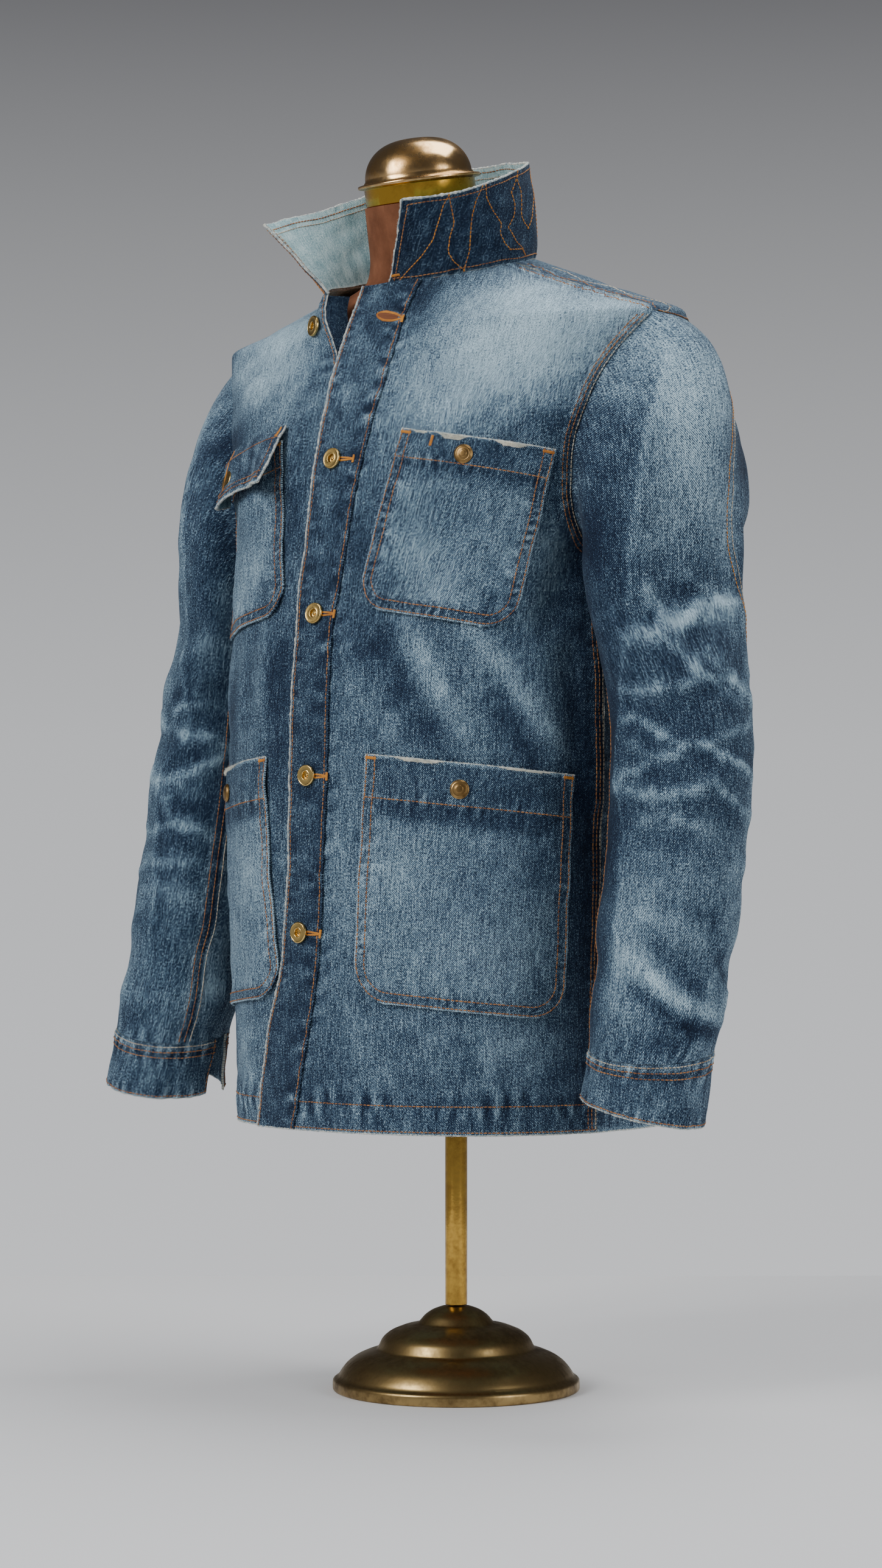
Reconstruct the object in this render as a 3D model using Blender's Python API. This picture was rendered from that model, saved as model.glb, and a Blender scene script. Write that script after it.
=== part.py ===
"""A denim chore jacket, buttoned and with its collar turned up, on a limbless dress form.

The jacket is cut and sewn from separate pieces, and each one is a closed wall of cloth with its own
object. It hangs on the shoulders of a jersey-covered torso, which a brass pole and a turned brass base
hold up. +Z is up, the wearer faces -Y and the wearer's left is +X. The origin is the middle of the
base's underside, on the pole's axis.
"""

import math
from functools import lru_cache

import bmesh
import bpy
import numpy as np
from mathutils import Matrix, Vector

# ---------------------------------------------------------------- driving sizes, in metres

HEM_HEIGHT = 0.229
ARMHOLE_LOW = 0.700
SHOULDER_TIP = 0.888
NECK_HEIGHT = 0.941

CLOTH = 0.0014  # one layer of heavy denim
SEAM_GAP = 0.0003  # between two pieces that are sewn together
LIE_GAP = 0.0010  # between a piece and the panel that it lies on
HEM_FOLD = 0.024  # height of the turned-up hem
HEM_EXTRA = 0.0009  # extra thickness where the hem is folded double
HEM_RAMP = 0.004  # height over which the double hem thins to one layer
PLACKET_WIDTH = 0.046
UNDERLAP_DEPTH = 0.0034  # how far the right front drops to pass under the left one
UNDERLAP_RAMP = (0.035, 0.006)  # how far past the left front's edge that drop starts and is complete
OPEN_FROM = 0.850  # above this height the unbuttoned right front hangs open
COLLAR_CLOTH = 0.0026  # two layers of cloth and a stiffener
CUFF_CLOTH = 0.0020
CUFF_HEIGHT = 0.047
BUTTON_RADIUS = 0.0087
SNAP_RADIUS = 0.0078
TACK_RADIUS = 0.0048

POLE_RADIUS = 0.0094
FORM_BOTTOM = 0.330
NECK_TOP = 0.998
NECK_TOP_FORE_AFT = -0.044
BASE_TOP = 0.0712
BUTTON_HEIGHTS = (0.776, 0.647, 0.516, 0.389)
BUTTON_INSET = 0.020  # from a front edge to the middle of its buttons
NECK_BUTTON_HEIGHT = 0.905
SNAP_ACROSS = 0.46  # a snap's place along its pocket's hem
SNAP_DOWN = {"pocket_chest": 0.0145, "pocket_lower": 0.0205}  # below the pocket's top
SNAP_ASIDE = 0.02  # the step, as a share of the hem, taken to find its direction
FITTING_GAP = 0.0005  # under a button or a snap
FLAP_ABOVE = 0.014  # how far above the pocket's top the flap is sewn on
FLAP_SIDE = 0.015  # how far it stands past the pocket's sides, as a share of its width
FLAP_DROP = 0.054
FLAP_SKEW = 0.28  # how much shorter the flap is at its outer end
FLAP_DIP = 0.004
FLAP_LIFT = 0.009
FLAP_CORNER_LIFT = 0.012  # how much more the corner nearer the opening stands out
FLAP_WAVE = 0.005
FLAP_WAVES = 1.35
FLAP_WAVE_START = 0.30
FLAP_CLOTH = 0.0022
FLAP_STEPS = 14
CAP_LEAN = math.radians(11)  # the neck and its cap lean forward by this much

# The jacket's body, cut level: half its width, where its front and back lie fore and aft, how square
# the front and back corners are (2 is an ellipse), and how much the cut rises towards the back.
BODY_COLUMNS = ("height", "half_width", "front", "back", "front_square", "back_square", "rise")
BODY_ROWS = (
    (0.229, 0.181, -0.172, 0.148, 2.15, 2.50, 0.000),
    (0.340, 0.183, -0.176, 0.148, 2.15, 2.50, 0.000),
    (0.460, 0.186, -0.178, 0.146, 2.20, 2.50, 0.000),
    (0.580, 0.186, -0.176, 0.148, 2.25, 2.60, 0.000),
    (0.650, 0.183, -0.169, 0.154, 2.35, 2.90, 0.000),
    (0.710, 0.184, -0.160, 0.157, 2.40, 3.60, 0.000),
    (0.760, 0.194, -0.151, 0.158, 2.50, 4.20, 0.010),
    (0.800, 0.206, -0.143, 0.153, 2.50, 3.90, 0.030),
    (0.840, 0.217, -0.131, 0.138, 2.45, 3.00, 0.050),
    (0.870, 0.225, -0.120, 0.117, 2.40, 2.50, 0.060),
    (0.888, 0.228, -0.113, 0.102, 2.35, 2.30, 0.080),
    (0.905, 0.182, -0.107, 0.090, 2.25, 2.25, 0.130),
    (0.922, 0.130, -0.101, 0.077, 2.15, 2.20, 0.190),
    (0.941, 0.078, -0.095, 0.058, 2.10, 2.10, 0.250),
)
RISE_PIVOT = -0.020  # the fore-and-aft place where a rising cut stays at its own height
NECK_SEAM_FORE_AFT = -0.016  # where the shoulder seam meets the neckline
NEAR = 0.004  # the step taken to find a surface's direction, and the same as a share of a seam
NEAR_SHARE = 0.012

# The armhole seam, once round from the shoulder tip, down the front and up the back.
ARMHOLE_COLUMNS = ("share", "fore_aft", "height")
ARMHOLE_ROWS = (
    (0.00, -0.022, 0.888),
    (0.06, -0.036, 0.873),
    (0.12, -0.052, 0.850),
    (0.18, -0.064, 0.820),
    (0.25, -0.070, 0.785),
    (0.33, -0.067, 0.748),
    (0.40, -0.056, 0.716),
    (0.46, -0.038, 0.700),
    (0.52, 0.000, 0.7015),
    (0.58, 0.046, 0.705),
    (0.64, 0.088, 0.712),
    (0.70, 0.117, 0.729),
    (0.76, 0.131, 0.758),
    (0.81, 0.132, 0.800),
    (0.86, 0.119, 0.837),
    (0.91, 0.088, 0.866),
    (0.955, 0.040, 0.881),
    (1.00, -0.022, 0.888),
)
SIDE_SEAM_SHARE = 0.46
ARM_TURNS = ((0.0, 0.0), (0.25, 0.25), (0.50, 0.50), (0.78, 0.75), (1.0, 1.0))  # share of seam, turn of arm

# Where the two front edges run: distance round the body from the middle, the wearer's left positive.
FRONT_EDGE_COLUMNS = ("height", "left_edge", "right_edge")
FRONT_EDGE_ROWS = (
    (0.229, -0.076, -0.004),
    (0.300, -0.057, 0.000),
    (0.370, -0.034, 0.010),
    (0.460, -0.024, 0.018),
    (0.640, -0.022, 0.020),
    (0.780, -0.022, 0.020),
    (0.825, -0.022, 0.006),
    (0.855, -0.022, -0.024),
    (0.880, -0.021, -0.024),
    (0.941, -0.020, -0.019),
)
SIDE_SEAM_COLUMNS = ("height", "fore_aft")
SIDE_SEAM_ROWS = (
    (0.229, -0.036),
    (0.450, -0.036),
    (0.700, -0.038),
)
OPEN_CORNER = (-0.026, -0.022, -0.004)  # how far the unbuttoned right corner stands away at the neck
OPEN_REACH = 0.036  # how far round the neck the standing corner is felt

# Largest folds of the body, the same on both sides: two ends (distance round from the middle, height),
# half width and depth, a ridge positive and a trough negative.
FOLD_COLUMNS = ("start_round", "start_height", "end_round", "end_height", "half_width", "depth")
BODY_FOLDS = (
    (0.222, 0.690, 0.200, 0.640, 0.018, -0.005),
    (0.250, 0.660, 0.255, 0.500, 0.016, 0.004),
    (0.400, 0.820, 0.388, 0.745, 0.032, 0.017),
    (0.510, 0.750, 0.350, 0.630, 0.026, -0.004),
    (0.475, 0.540, 0.390, 0.380, 0.024, 0.004),
)

# The left sleeve below its head: centre line and half sizes, outward and fore-and-aft.
SLEEVE_COLUMNS = ("height", "out", "fore_aft", "half_out", "half_fore", "front_in")
SLEEVE_ROWS = (
    (0.655, 0.2385, -0.023, 0.0425, 0.0660, 0.24),
    (0.600, 0.2505, -0.024, 0.0475, 0.0605, 0.12),
    (0.550, 0.2590, -0.026, 0.0530, 0.0560, 0.05),
    (0.490, 0.2620, -0.032, 0.0540, 0.0560, 0.02),
    (0.430, 0.2630, -0.042, 0.0540, 0.0560, 0.00),
    (0.392, 0.2630, -0.049, 0.0550, 0.0570, 0.00),
    (0.365, 0.2640, -0.056, 0.0500, 0.0530, 0.00),
    (0.335, 0.2650, -0.063, 0.0520, 0.0540, 0.00),
    (0.300, 0.2660, -0.073, 0.0470, 0.0520, 0.00),
    (0.240, 0.2670, -0.089, 0.0465, 0.0510, 0.00),
)
SLEEVE_END = 0.300
# How much the cuff's seam and its lower edge slope: rise for each unit towards +X and towards +Y.
CUFF_SLOPE_FROM = 0.380
CUFF_SEAM_SLOPE = {1: (-0.13, 0.13), -1: (-0.20, 0.15)}
CUFF_EDGE_SLOPE = {1: (-0.25, -0.06), -1: (-0.20, 0.12)}
CUFF_ENDS = (0.58, 1.525)  # turns round the arm where the cuff's slit starts and ends
CUFF_END_AWAY = 0.006  # how far the back end stands away from the arm

# Folds of a sleeve: place down the sleeve, turn round it (0 outside, 0.25 front), half lengths, depth.
SLEEVE_FOLD_COLUMNS = ("height", "turn", "half_height", "half_turn", "slant", "depth")
SLEEVE_FOLDS = (
    (0.720, 0.13, 0.120, 0.035, 0.00, 0.0045),
    (0.720, 0.88, 0.120, 0.040, 0.00, 0.0040),
    (0.645, 0.22, 0.020, 0.120, 0.10, -0.0035),
    (0.600, 0.05, 0.018, 0.130, -0.10, 0.0030),
    (0.560, 0.15, 0.018, 0.120, 0.10, -0.0035),
    (0.515, 0.00, 0.018, 0.130, -0.08, 0.0030),
    (0.470, 0.20, 0.018, 0.110, 0.06, -0.0030),
    (0.600, 0.55, 0.022, 0.100, 0.00, -0.0030),
)

# The collar from its front end (0) to the middle of the back (1): how far its top edge stands above
# the neckline, out from it, and back along it.
COLLAR_COLUMNS = ("place", "rise", "flare", "swing")
COLLAR_ROWS = (
    (0.00, 0.058, 0.036, 0.040),
    (0.15, 0.063, 0.026, 0.030),
    (0.35, 0.072, 0.010, 0.014),
    (0.60, 0.081, -0.006, 0.003),
    (0.80, 0.080, -0.014, 0.000),
    (1.00, 0.078, -0.018, 0.000),
)

COLLAR_STARTS = {1: 0.010, -1: 0.019}  # distance round from the middle to each front end
COLLAR_LEVELS = (0.0, 0.2, 0.45, 0.72, 1.0)
COLLAR_ROLL = 1.4  # how late on its way up the collar turns outwards
COLLAR_BOW = 0.004

# Patch pockets: distance round of the two sides at the top, heights of the two top corners, depth,
# radius of the bottom corners, and how far its two sides lean towards the opening for each unit down.
POCKET_COLUMNS = ("near", "far", "near_top", "far_top", "depth", "corner", "near_lean", "far_lean")
POCKETS = {
    "pocket_chest": (0.066, 0.196, 0.797, 0.775, 0.146, 0.026, 0.18, 0.155),
    "pocket_lower": (0.056, 0.229, 0.532, 0.515, 0.196, 0.030, 0.07, 0.06),
}

# The torso form: centre and half sizes of its level cuts.
FORM_COLUMNS = ("height", "half_width", "front", "back", "rise")
FORM_ROWS = (
    (0.330, 0.135, -0.108, 0.088, 0.000),
    (0.345, 0.152, -0.124, 0.104, 0.000),
    (0.440, 0.164, -0.134, 0.112, 0.000),
    (0.560, 0.150, -0.126, 0.100, 0.000),
    (0.680, 0.162, -0.134, 0.112, 0.000),
    (0.780, 0.178, -0.134, 0.116, 0.010),
    (0.840, 0.196, -0.124, 0.112, 0.070),
)

FORM_HEIGHTS = (0.330, 0.336, 0.350, 0.390, 0.450, 0.510, 0.570, 0.630, 0.690, 0.740, 0.780, 0.815, 0.845)
# The form's shoulders, which carry the jacket: height, and how far their cut's ends stay inside the cloth.
FORM_SHOULDER_ROWS = (
    (0.872, 0.018),
    (0.888, 0.012),
    (0.900, 0.002),
    (0.912, 0.000),
    (0.924, 0.000),
)
FORM_INSET = 0.006
FORM_DROP = 0.0022  # the shoulders of the form lie this far under the outer face of the cloth
# The form's neck: height, radius, fore-and-aft place of its middle, and how much its cut leans.
FORM_NECK_ROWS = (
    (0.938, 0.060, -0.024, 0.150),
    (0.952, 0.053, -0.030, 0.160),
    (0.975, 0.0495, -0.038, 0.180),
    (0.998, 0.0480, -0.044, 0.1944),
)

# The cap's band and flange, from the middle of its underside: radius, height above the neck.
CAP_PROFILE = (
    (0.0000, 0.0003),
    (0.0465, 0.0003),
    (0.0465, 0.0150),
    (0.0515, 0.0160),
    (0.0515, 0.0185),
    (0.0465, 0.0195),
)
CAP_DOME_RADIUS = 0.0450
CAP_DOME_FOOT = 0.0200
CAP_DOME_HEIGHT = 0.0330
CAP_DOME_SQUARE = 0.75  # under 1 gives the dome a flatter top
CAP_DOME_STEPS = 7

# The base's outline, from the middle of its underside to the middle of its top: radius, height.
BASE_PROFILE = (
    (0.0000, 0.0000),
    (0.1032, 0.0000),
    (0.1045, 0.0013),
    (0.1045, 0.0092),
    (0.1000, 0.0115),
    (0.0975, 0.0160),
    (0.0925, 0.0225),
    (0.0850, 0.0280),
    (0.0750, 0.0322),
    (0.0670, 0.0345),
    (0.0655, 0.0372),
    (0.0625, 0.0435),
    (0.0560, 0.0490),
    (0.0440, 0.0538),
    (0.0325, 0.0560),
    (0.0305, 0.0582),
    (0.0265, 0.0630),
    (0.0205, 0.0672),
    (0.0112, 0.0706),
    (0.0000, 0.0712),
)

CLOTH_BLUE = (0.075, 0.135, 0.235)
JERSEY = (0.200, 0.095, 0.070)
POLE_BRASS = (0.500, 0.300, 0.090)
DARK_BRASS = (0.230, 0.160, 0.060)
FITTING_BRASS = (0.480, 0.310, 0.120)

SLEEVE_FRONT_STEPS = 10  # round the sleeve, from the shoulder tip down the front to the side seam
SLEEVE_BACK_STEPS = 12
HEAD_RINGS = 7
SLEEVE_RINGS = 13
SIDE_ROWS = 13
SHOULDER_ROWS = 7
CUFF_STEPS = 23
COLLAR_STEPS = 15
POCKET_STEPS = 9
PLACKET_STEPS = 4
FRONT_COLUMNS = (8, 5)  # points from the front edge to the core, and on from there to the outer edge
BACK_COLUMNS = (6, 5)
FRONT_CORE = 0.135  # distance round from the middle of the front to where the columns stop being steady
BACK_CORE = 0.150
CORE_SHARE = 0.72
FORM_STEPS = 24
FITTING_STEPS = 16
BASE_STEPS = 26


# ---------------------------------------------------------------- reading the tables


def curve_through(knots, values, at):
    """A smooth curve through a table's points that never swings past them."""
    knots = np.asarray(knots, float)
    values = np.asarray(values, float)
    step = np.diff(knots)
    slope = np.diff(values) / step
    tangent = np.empty(len(knots))
    tangent[0] = slope[0]
    tangent[-1] = slope[-1]
    for i in range(1, len(knots) - 1):
        if slope[i - 1] * slope[i] <= 0:
            tangent[i] = 0.0
            continue
        before = 2 * step[i] + step[i - 1]
        after = step[i] + 2 * step[i - 1]
        tangent[i] = (before + after) / (before / slope[i - 1] + after / slope[i])
    at = float(np.clip(at, knots[0], knots[-1]))
    i = int(np.clip(np.searchsorted(knots, at) - 1, 0, len(step) - 1))
    t = (at - knots[i]) / step[i]
    rise = step[i]
    return float(
        (2 * t**3 - 3 * t**2 + 1) * values[i]
        + (t**3 - 2 * t**2 + t) * rise * tangent[i]
        + (3 * t**2 - 2 * t**3) * values[i + 1]
        + (t**3 - t**2) * rise * tangent[i + 1]
    )


def read(rows, columns, name, at):
    """One column of a table, at a value of its first column; the rows may run up or down."""
    rows = sorted(rows)
    return curve_through([row[0] for row in rows], [row[columns.index(name)] for row in rows], at)


def even_steps(first, last, count):
    """Evenly spaced plain numbers, both ends included."""
    return [first + (last - first) * i / (count - 1) for i in range(count)]


def smooth_step(low, high, value):
    """0 below low, 1 above high and an even bend between."""
    t = min(max((value - low) / (high - low), 0.0), 1.0)
    return t * t * (3 - 2 * t)


# ---------------------------------------------------------------- the body's surface


@lru_cache(maxsize=None)
def half_outline(height):
    """The left half of one cut of the body, from the middle of the front to the middle of the back.

    It returns the points across and fore-and-aft, the distance round to each, and the cut's rise.
    """
    size = {name: read(BODY_ROWS, BODY_COLUMNS, name, height) for name in BODY_COLUMNS[1:]}
    middle = (size["front"] + size["back"]) / 2
    reach = (size["back"] - size["front"]) / 2
    angle = np.linspace(0, math.pi, 145)
    square = np.where(angle <= math.pi / 2, size["front_square"], size["back_square"])
    across = size["half_width"] * np.abs(np.sin(angle)) ** (2 / square)
    fore_aft = middle - reach * np.sign(np.cos(angle)) * np.abs(np.cos(angle)) ** (2 / square)
    steps = np.hypot(np.diff(across), np.diff(fore_aft))
    return across, fore_aft, np.concatenate([[0], np.cumsum(steps)]), size["rise"]


def half_round(height):
    """The distance round from the middle of the front to the middle of the back."""
    return float(half_outline(height)[2][-1])


def round_at(height, fore_aft):
    """The distance round to the place where the left half's outline is this far fore and aft."""
    _, ys, distance, _ = half_outline(height)
    return float(np.interp(fore_aft, ys, distance))


def bare_point(distance, height):
    """A point of the body's surface without its folds. A negative distance is the wearer's right."""
    xs, ys, along, rise = half_outline(round(height, 6))
    side = 1 if distance >= 0 else -1
    x = float(np.interp(abs(distance), along, xs))
    y = float(np.interp(abs(distance), along, ys))
    return Vector((side * x, y, height + rise * (y - RISE_PIVOT)))


def bare_normal(distance, height):
    """The way out of the body's surface here."""
    across = bare_point(distance + NEAR, height) - bare_point(distance - NEAR, height)
    low = max(height - NEAR, HEM_HEIGHT)
    high = min(height + NEAR, NECK_HEIGHT)
    up = bare_point(distance, high) - bare_point(distance, low)
    return across.cross(up).normalized()


def fold_height(folds, distance, height):
    """How far the cloth stands out of its plain surface here: each fold is a soft bank along a line."""
    total = 0.0
    for row in folds:
        fold = dict(zip(FOLD_COLUMNS, row))
        start = np.array((fold["start_round"], fold["start_height"]))
        end = np.array((fold["end_round"], fold["end_height"]))
        run = end - start
        share = np.dot(np.array((distance, height)) - start, run) / np.dot(run, run)
        near = start + min(max(share, 0.0), 1.0) * run
        away = np.hypot(*(np.array((distance, height)) - near)) / fold["half_width"]
        total += fold["depth"] * math.exp(-away * away)
    return float(total)


def body_point(distance, height, lift=0.0):
    """A point of the cloth's outer face, folds included, moved out by lift."""
    out = lift + fold_height(BODY_FOLDS, abs(distance), height)
    return bare_point(distance, height) + out * bare_normal(distance, height)


def right_front_point(distance, height, lift=0.0):
    """As body_point, for the right front, which lies under the left one and opens at the neck."""
    left_edge = read(FRONT_EDGE_ROWS, FRONT_EDGE_COLUMNS, "left_edge", height)
    ramp_start, ramp_end = UNDERLAP_RAMP
    under = UNDERLAP_DEPTH * smooth_step(left_edge - ramp_start, left_edge - ramp_end, distance)
    right_edge = read(FRONT_EDGE_ROWS, FRONT_EDGE_COLUMNS, "right_edge", height)
    away = (distance - right_edge) / OPEN_REACH
    free = smooth_step(OPEN_FROM, NECK_HEIGHT, height) * math.exp(-away * away)
    point = body_point(distance, height, lift - under)
    return point + free * Vector(OPEN_CORNER)


# ---------------------------------------------------------------- meshes and materials


def material(name, colour, roughness, metallic=0.0):
    """A plain material, made once."""
    made = bpy.data.materials.get(name) or bpy.data.materials.new(name)
    made.use_nodes = True
    shader = made.node_tree.nodes["Principled BSDF"]
    shader.inputs["Base Color"].default_value = (*colour, 1)
    shader.inputs["Roughness"].default_value = roughness
    shader.inputs["Metallic"].default_value = metallic
    return made


def denim():
    return material("denim", CLOTH_BLUE, 0.85)


def add_object(name, mesh, finish):
    """An object of its own in the scene, shaded smooth but for its sharp edges."""
    mesh.shade_smooth()
    mesh.set_sharp_from_angle(angle=math.radians(40))
    mesh.materials.append(finish)
    made = bpy.data.objects.new(name, mesh)
    bpy.context.scene.collection.objects.link(made)
    return made


def face_outwards(shape):
    """Turns every face of a closed shape outwards."""
    bmesh.ops.recalc_face_normals(shape, faces=shape.faces)
    if shape.calc_volume(signed=True) < 0:
        bmesh.ops.reverse_faces(shape, faces=shape.faces)


def wall(name, outer, inner, finish, closed=False):
    """A closed wall of cloth between two grids of points, rows by columns; closed joins the columns."""
    rows = len(outer)
    columns = len(outer[0])
    mesh = bpy.data.meshes.new(name)
    shape = bmesh.new()
    faces = []
    sides = []
    for grid in (outer, inner):
        sides.append([[shape.verts.new(point) for point in row] for row in grid])
    top, under = sides
    last = columns if closed else columns - 1
    for i in range(rows - 1):
        for j in range(last):
            k = (j + 1) % columns
            faces.append((top[i][j], top[i][k], top[i + 1][k], top[i + 1][j]))
            faces.append((under[i][j], under[i + 1][j], under[i + 1][k], under[i][k]))
    for j in range(last):
        k = (j + 1) % columns
        faces.append((top[0][j], under[0][j], under[0][k], top[0][k]))
        faces.append((top[-1][j], top[-1][k], under[-1][k], under[-1][j]))
    if not closed:
        for i in range(rows - 1):
            faces.append((top[i][0], top[i + 1][0], under[i + 1][0], under[i][0]))
            faces.append((top[i][-1], under[i][-1], under[i + 1][-1], top[i + 1][-1]))
    for corners in faces:
        shape.faces.new(corners)
    face_outwards(shape)
    shape.to_mesh(mesh)
    shape.free()
    return add_object(name, mesh, finish)


def turned(name, profile, steps, finish, place=None):
    """A solid of revolution: profile lists (radius, height) from the bottom's middle to the top's."""
    mesh = bpy.data.meshes.new(name)
    shape = bmesh.new()
    chain = [shape.verts.new((radius, 0, height)) for radius, height in profile]
    edges = [shape.edges.new(pair) for pair in zip(chain, chain[1:])]
    bmesh.ops.spin(
        shape,
        geom=chain + edges,
        axis=(0, 0, 1),
        cent=(0, 0, 0),
        angle=math.tau,
        steps=steps,
        use_merge=True,
    )
    bmesh.ops.remove_doubles(shape, verts=shape.verts, dist=1e-6)
    face_outwards(shape)
    shape.to_mesh(mesh)
    shape.free()
    made = add_object(name, mesh, finish)
    if place is not None:
        made.matrix_world = place
    return made


def facing(point, normal, up=Vector((0, 0, 1))):
    """The placement that turns an object's +Z along normal at this point."""
    z = normal.normalized()
    x = up.cross(z).normalized()
    y = z.cross(x)
    turn = Matrix((x, y, z)).transposed().to_4x4()
    return Matrix.Translation(point) @ turn


# ---------------------------------------------------------------- the fronts and the back


def armhole(share):
    """A point of the armhole seam on the left: (fore-and-aft, height)."""
    share %= 1.0
    fore_aft = read(ARMHOLE_ROWS, ARMHOLE_COLUMNS, "fore_aft", share)
    height = read(ARMHOLE_ROWS, ARMHOLE_COLUMNS, "height", share)
    return fore_aft, height


def armhole_shares():
    """The places round the seam where both the panels and the sleeve have a point."""
    front = even_steps(0, SIDE_SEAM_SHARE, SLEEVE_FRONT_STEPS + 1)
    back = even_steps(SIDE_SEAM_SHARE, 1, SLEEVE_BACK_STEPS + 1)
    return front, back


def shoulder_seam(height):
    """How far fore and aft the shoulder seam lies at this height."""
    share = (height - SHOULDER_TIP) / (NECK_HEIGHT - SHOULDER_TIP)
    tip = ARMHOLE_ROWS[0][1]
    return tip + share * (NECK_SEAM_FORE_AFT - tip)


def side_heights():
    """The rows of a panel between the hem and the bottom of the armhole."""
    folded = HEM_HEIGHT + HEM_FOLD
    single = folded + HEM_RAMP
    return [HEM_HEIGHT, folded] + even_steps(single, ARMHOLE_LOW, SIDE_ROWS)[:-1]


def shoulder_heights():
    """The rows of a panel above the armhole."""
    return even_steps(SHOULDER_TIP, NECK_HEIGHT, SHOULDER_ROWS)[1:]


def panel_rows(shares):
    """(height, distance round of the outer edge) for each row of a panel, from the hem to the neck."""
    rows = []
    for height in side_heights():
        rows.append((height, round_at(height, read(SIDE_SEAM_ROWS, SIDE_SEAM_COLUMNS, "fore_aft", height))))
    for share in shares:
        fore_aft, height = armhole(share)
        rows.append((height, round_at(height, fore_aft)))
    for height in shoulder_heights():
        rows.append((height, round_at(height, shoulder_seam(height))))
    return rows


def column_stops(start, reach, core, inner_count, outer_count):
    """Places of a row's points: evenly to a steady core, then evenly to the panel's outer edge."""
    core = min(core, start + CORE_SHARE * (reach - start))
    return even_steps(start, core, inner_count)[:-1] + even_steps(core, reach, outer_count)


def cloth_thickness(height):
    """One layer, or more within the turned-up hem."""
    folded = height < HEM_HEIGHT + HEM_FOLD + HEM_RAMP / 2
    return CLOTH + HEM_EXTRA if folded else CLOTH


def front(name, side):
    """One front, from its front edge to the side seam, the armhole and the shoulder seam."""
    point_at = body_point if side > 0 else right_front_point
    edge_name = "left_edge" if side > 0 else "right_edge"
    front_shares = armhole_shares()[0][::-1]
    outer = []
    inner = []
    for height, reach in panel_rows(front_shares):
        edge = read(FRONT_EDGE_ROWS, FRONT_EDGE_COLUMNS, edge_name, height)
        stops = column_stops(side * edge, reach - SEAM_GAP / 2, FRONT_CORE, *FRONT_COLUMNS)
        stops = [side * stop for stop in stops]
        outer.append([point_at(stop, height) for stop in stops])
        thick = cloth_thickness(height)
        inner.append(
            [p - thick * bare_normal(stop, height) for p, stop in zip(outer[-1], stops)]
        )
    return wall(name, outer, inner, denim())


def back():
    """The back in one piece, from the right side seam round to the left."""
    back_shares = armhole_shares()[1]
    outer = []
    inner = []
    for height, reach in panel_rows(back_shares):
        middle = half_round(height)
        half = middle - reach - SEAM_GAP / 2
        left_stops = column_stops(0.0, half, BACK_CORE, *BACK_COLUMNS)
        stops = [-stop for stop in left_stops[:0:-1]] + left_stops
        row = []
        row_in = []
        for stop in stops:
            # Distances are counted from the front, so the middle of the back is where both sides meet.
            distance = middle - abs(stop)
            distance = distance if stop >= 0 else -distance
            point = body_point(distance, height)
            row.append(point)
            row_in.append(point - cloth_thickness(height) * back_normal(distance, height))
        outer.append(row)
        inner.append(row_in)
    return wall("back", outer, inner, denim())


def back_normal(distance, height):
    """The body's normal, worked out on one side only where the two halves meet at the back."""
    if half_round(height) - abs(distance) < 1.5 * NEAR:
        return Vector((0, 1, 0))
    return bare_normal(distance, height)


# ---------------------------------------------------------------- the sleeves


def left_armhole_point(share):
    """A point of the armhole seam on the left, and the way out of the body there."""
    fore_aft, height = armhole(share)
    distance = round_at(height, fore_aft)
    return body_point(distance, height), bare_normal(distance, height)


def ring_turn(share):
    """Which way round the arm a place of the armhole seam lies: 0 outside, 0.25 front, 0.5 inside."""
    shares, turns = zip(*ARM_TURNS)
    return curve_through(shares, turns, share)


def sleeve_ring_point(turn, height):
    """A point of the sleeve's level cut at this height; the cut's front leans in towards the body."""
    size = {name: read(SLEEVE_ROWS, SLEEVE_COLUMNS, name, height) for name in SLEEVE_COLUMNS[1:]}
    angle = math.tau * turn
    ahead = size["half_fore"] * math.sin(angle)
    out = size["out"] + size["half_out"] * math.cos(angle) - size["front_in"] * ahead
    return Vector((out, size["fore_aft"] - ahead, height))


# Round the armhole seam: the way the sleeve's cloth leaves it, and how far the head goes on that way
# before it turns down, as a share of its length.
HEAD_COLUMNS = ("share", "out", "fore_aft", "up", "fullness")
HEAD_ROWS = (
    (0.00, 0.88, 0.00, -0.47, 0.44),
    (0.12, 0.75, -0.30, -0.60, 0.40),
    (0.25, 0.60, -0.42, -0.70, 0.42),
    (0.36, 0.80, -0.25, -0.45, 0.30),
    (0.46, 0.96, -0.05, -0.22, 0.22),
    (0.56, 0.94, -0.05, -0.30, 0.24),
    (0.66, 0.75, -0.30, -0.60, 0.36),
    (0.79, 0.80, -0.28, -0.48, 0.56),
    (0.88, 0.82, -0.05, -0.56, 0.38),
    (0.94, 0.84, -0.02, -0.53, 0.36),
    (1.00, 0.88, 0.00, -0.47, 0.44),
)
HEAD_MIDDLE = Vector((0.200, 0.030, 0.790))
HEAD_ARRIVAL = Vector((-0.10, 0.00, 1.00))  # the way back up from the first full ring
HEAD_ARRIVAL_SHARE = 0.34
SLEEVE_FULL = SLEEVE_ROWS[0][0]


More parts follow.
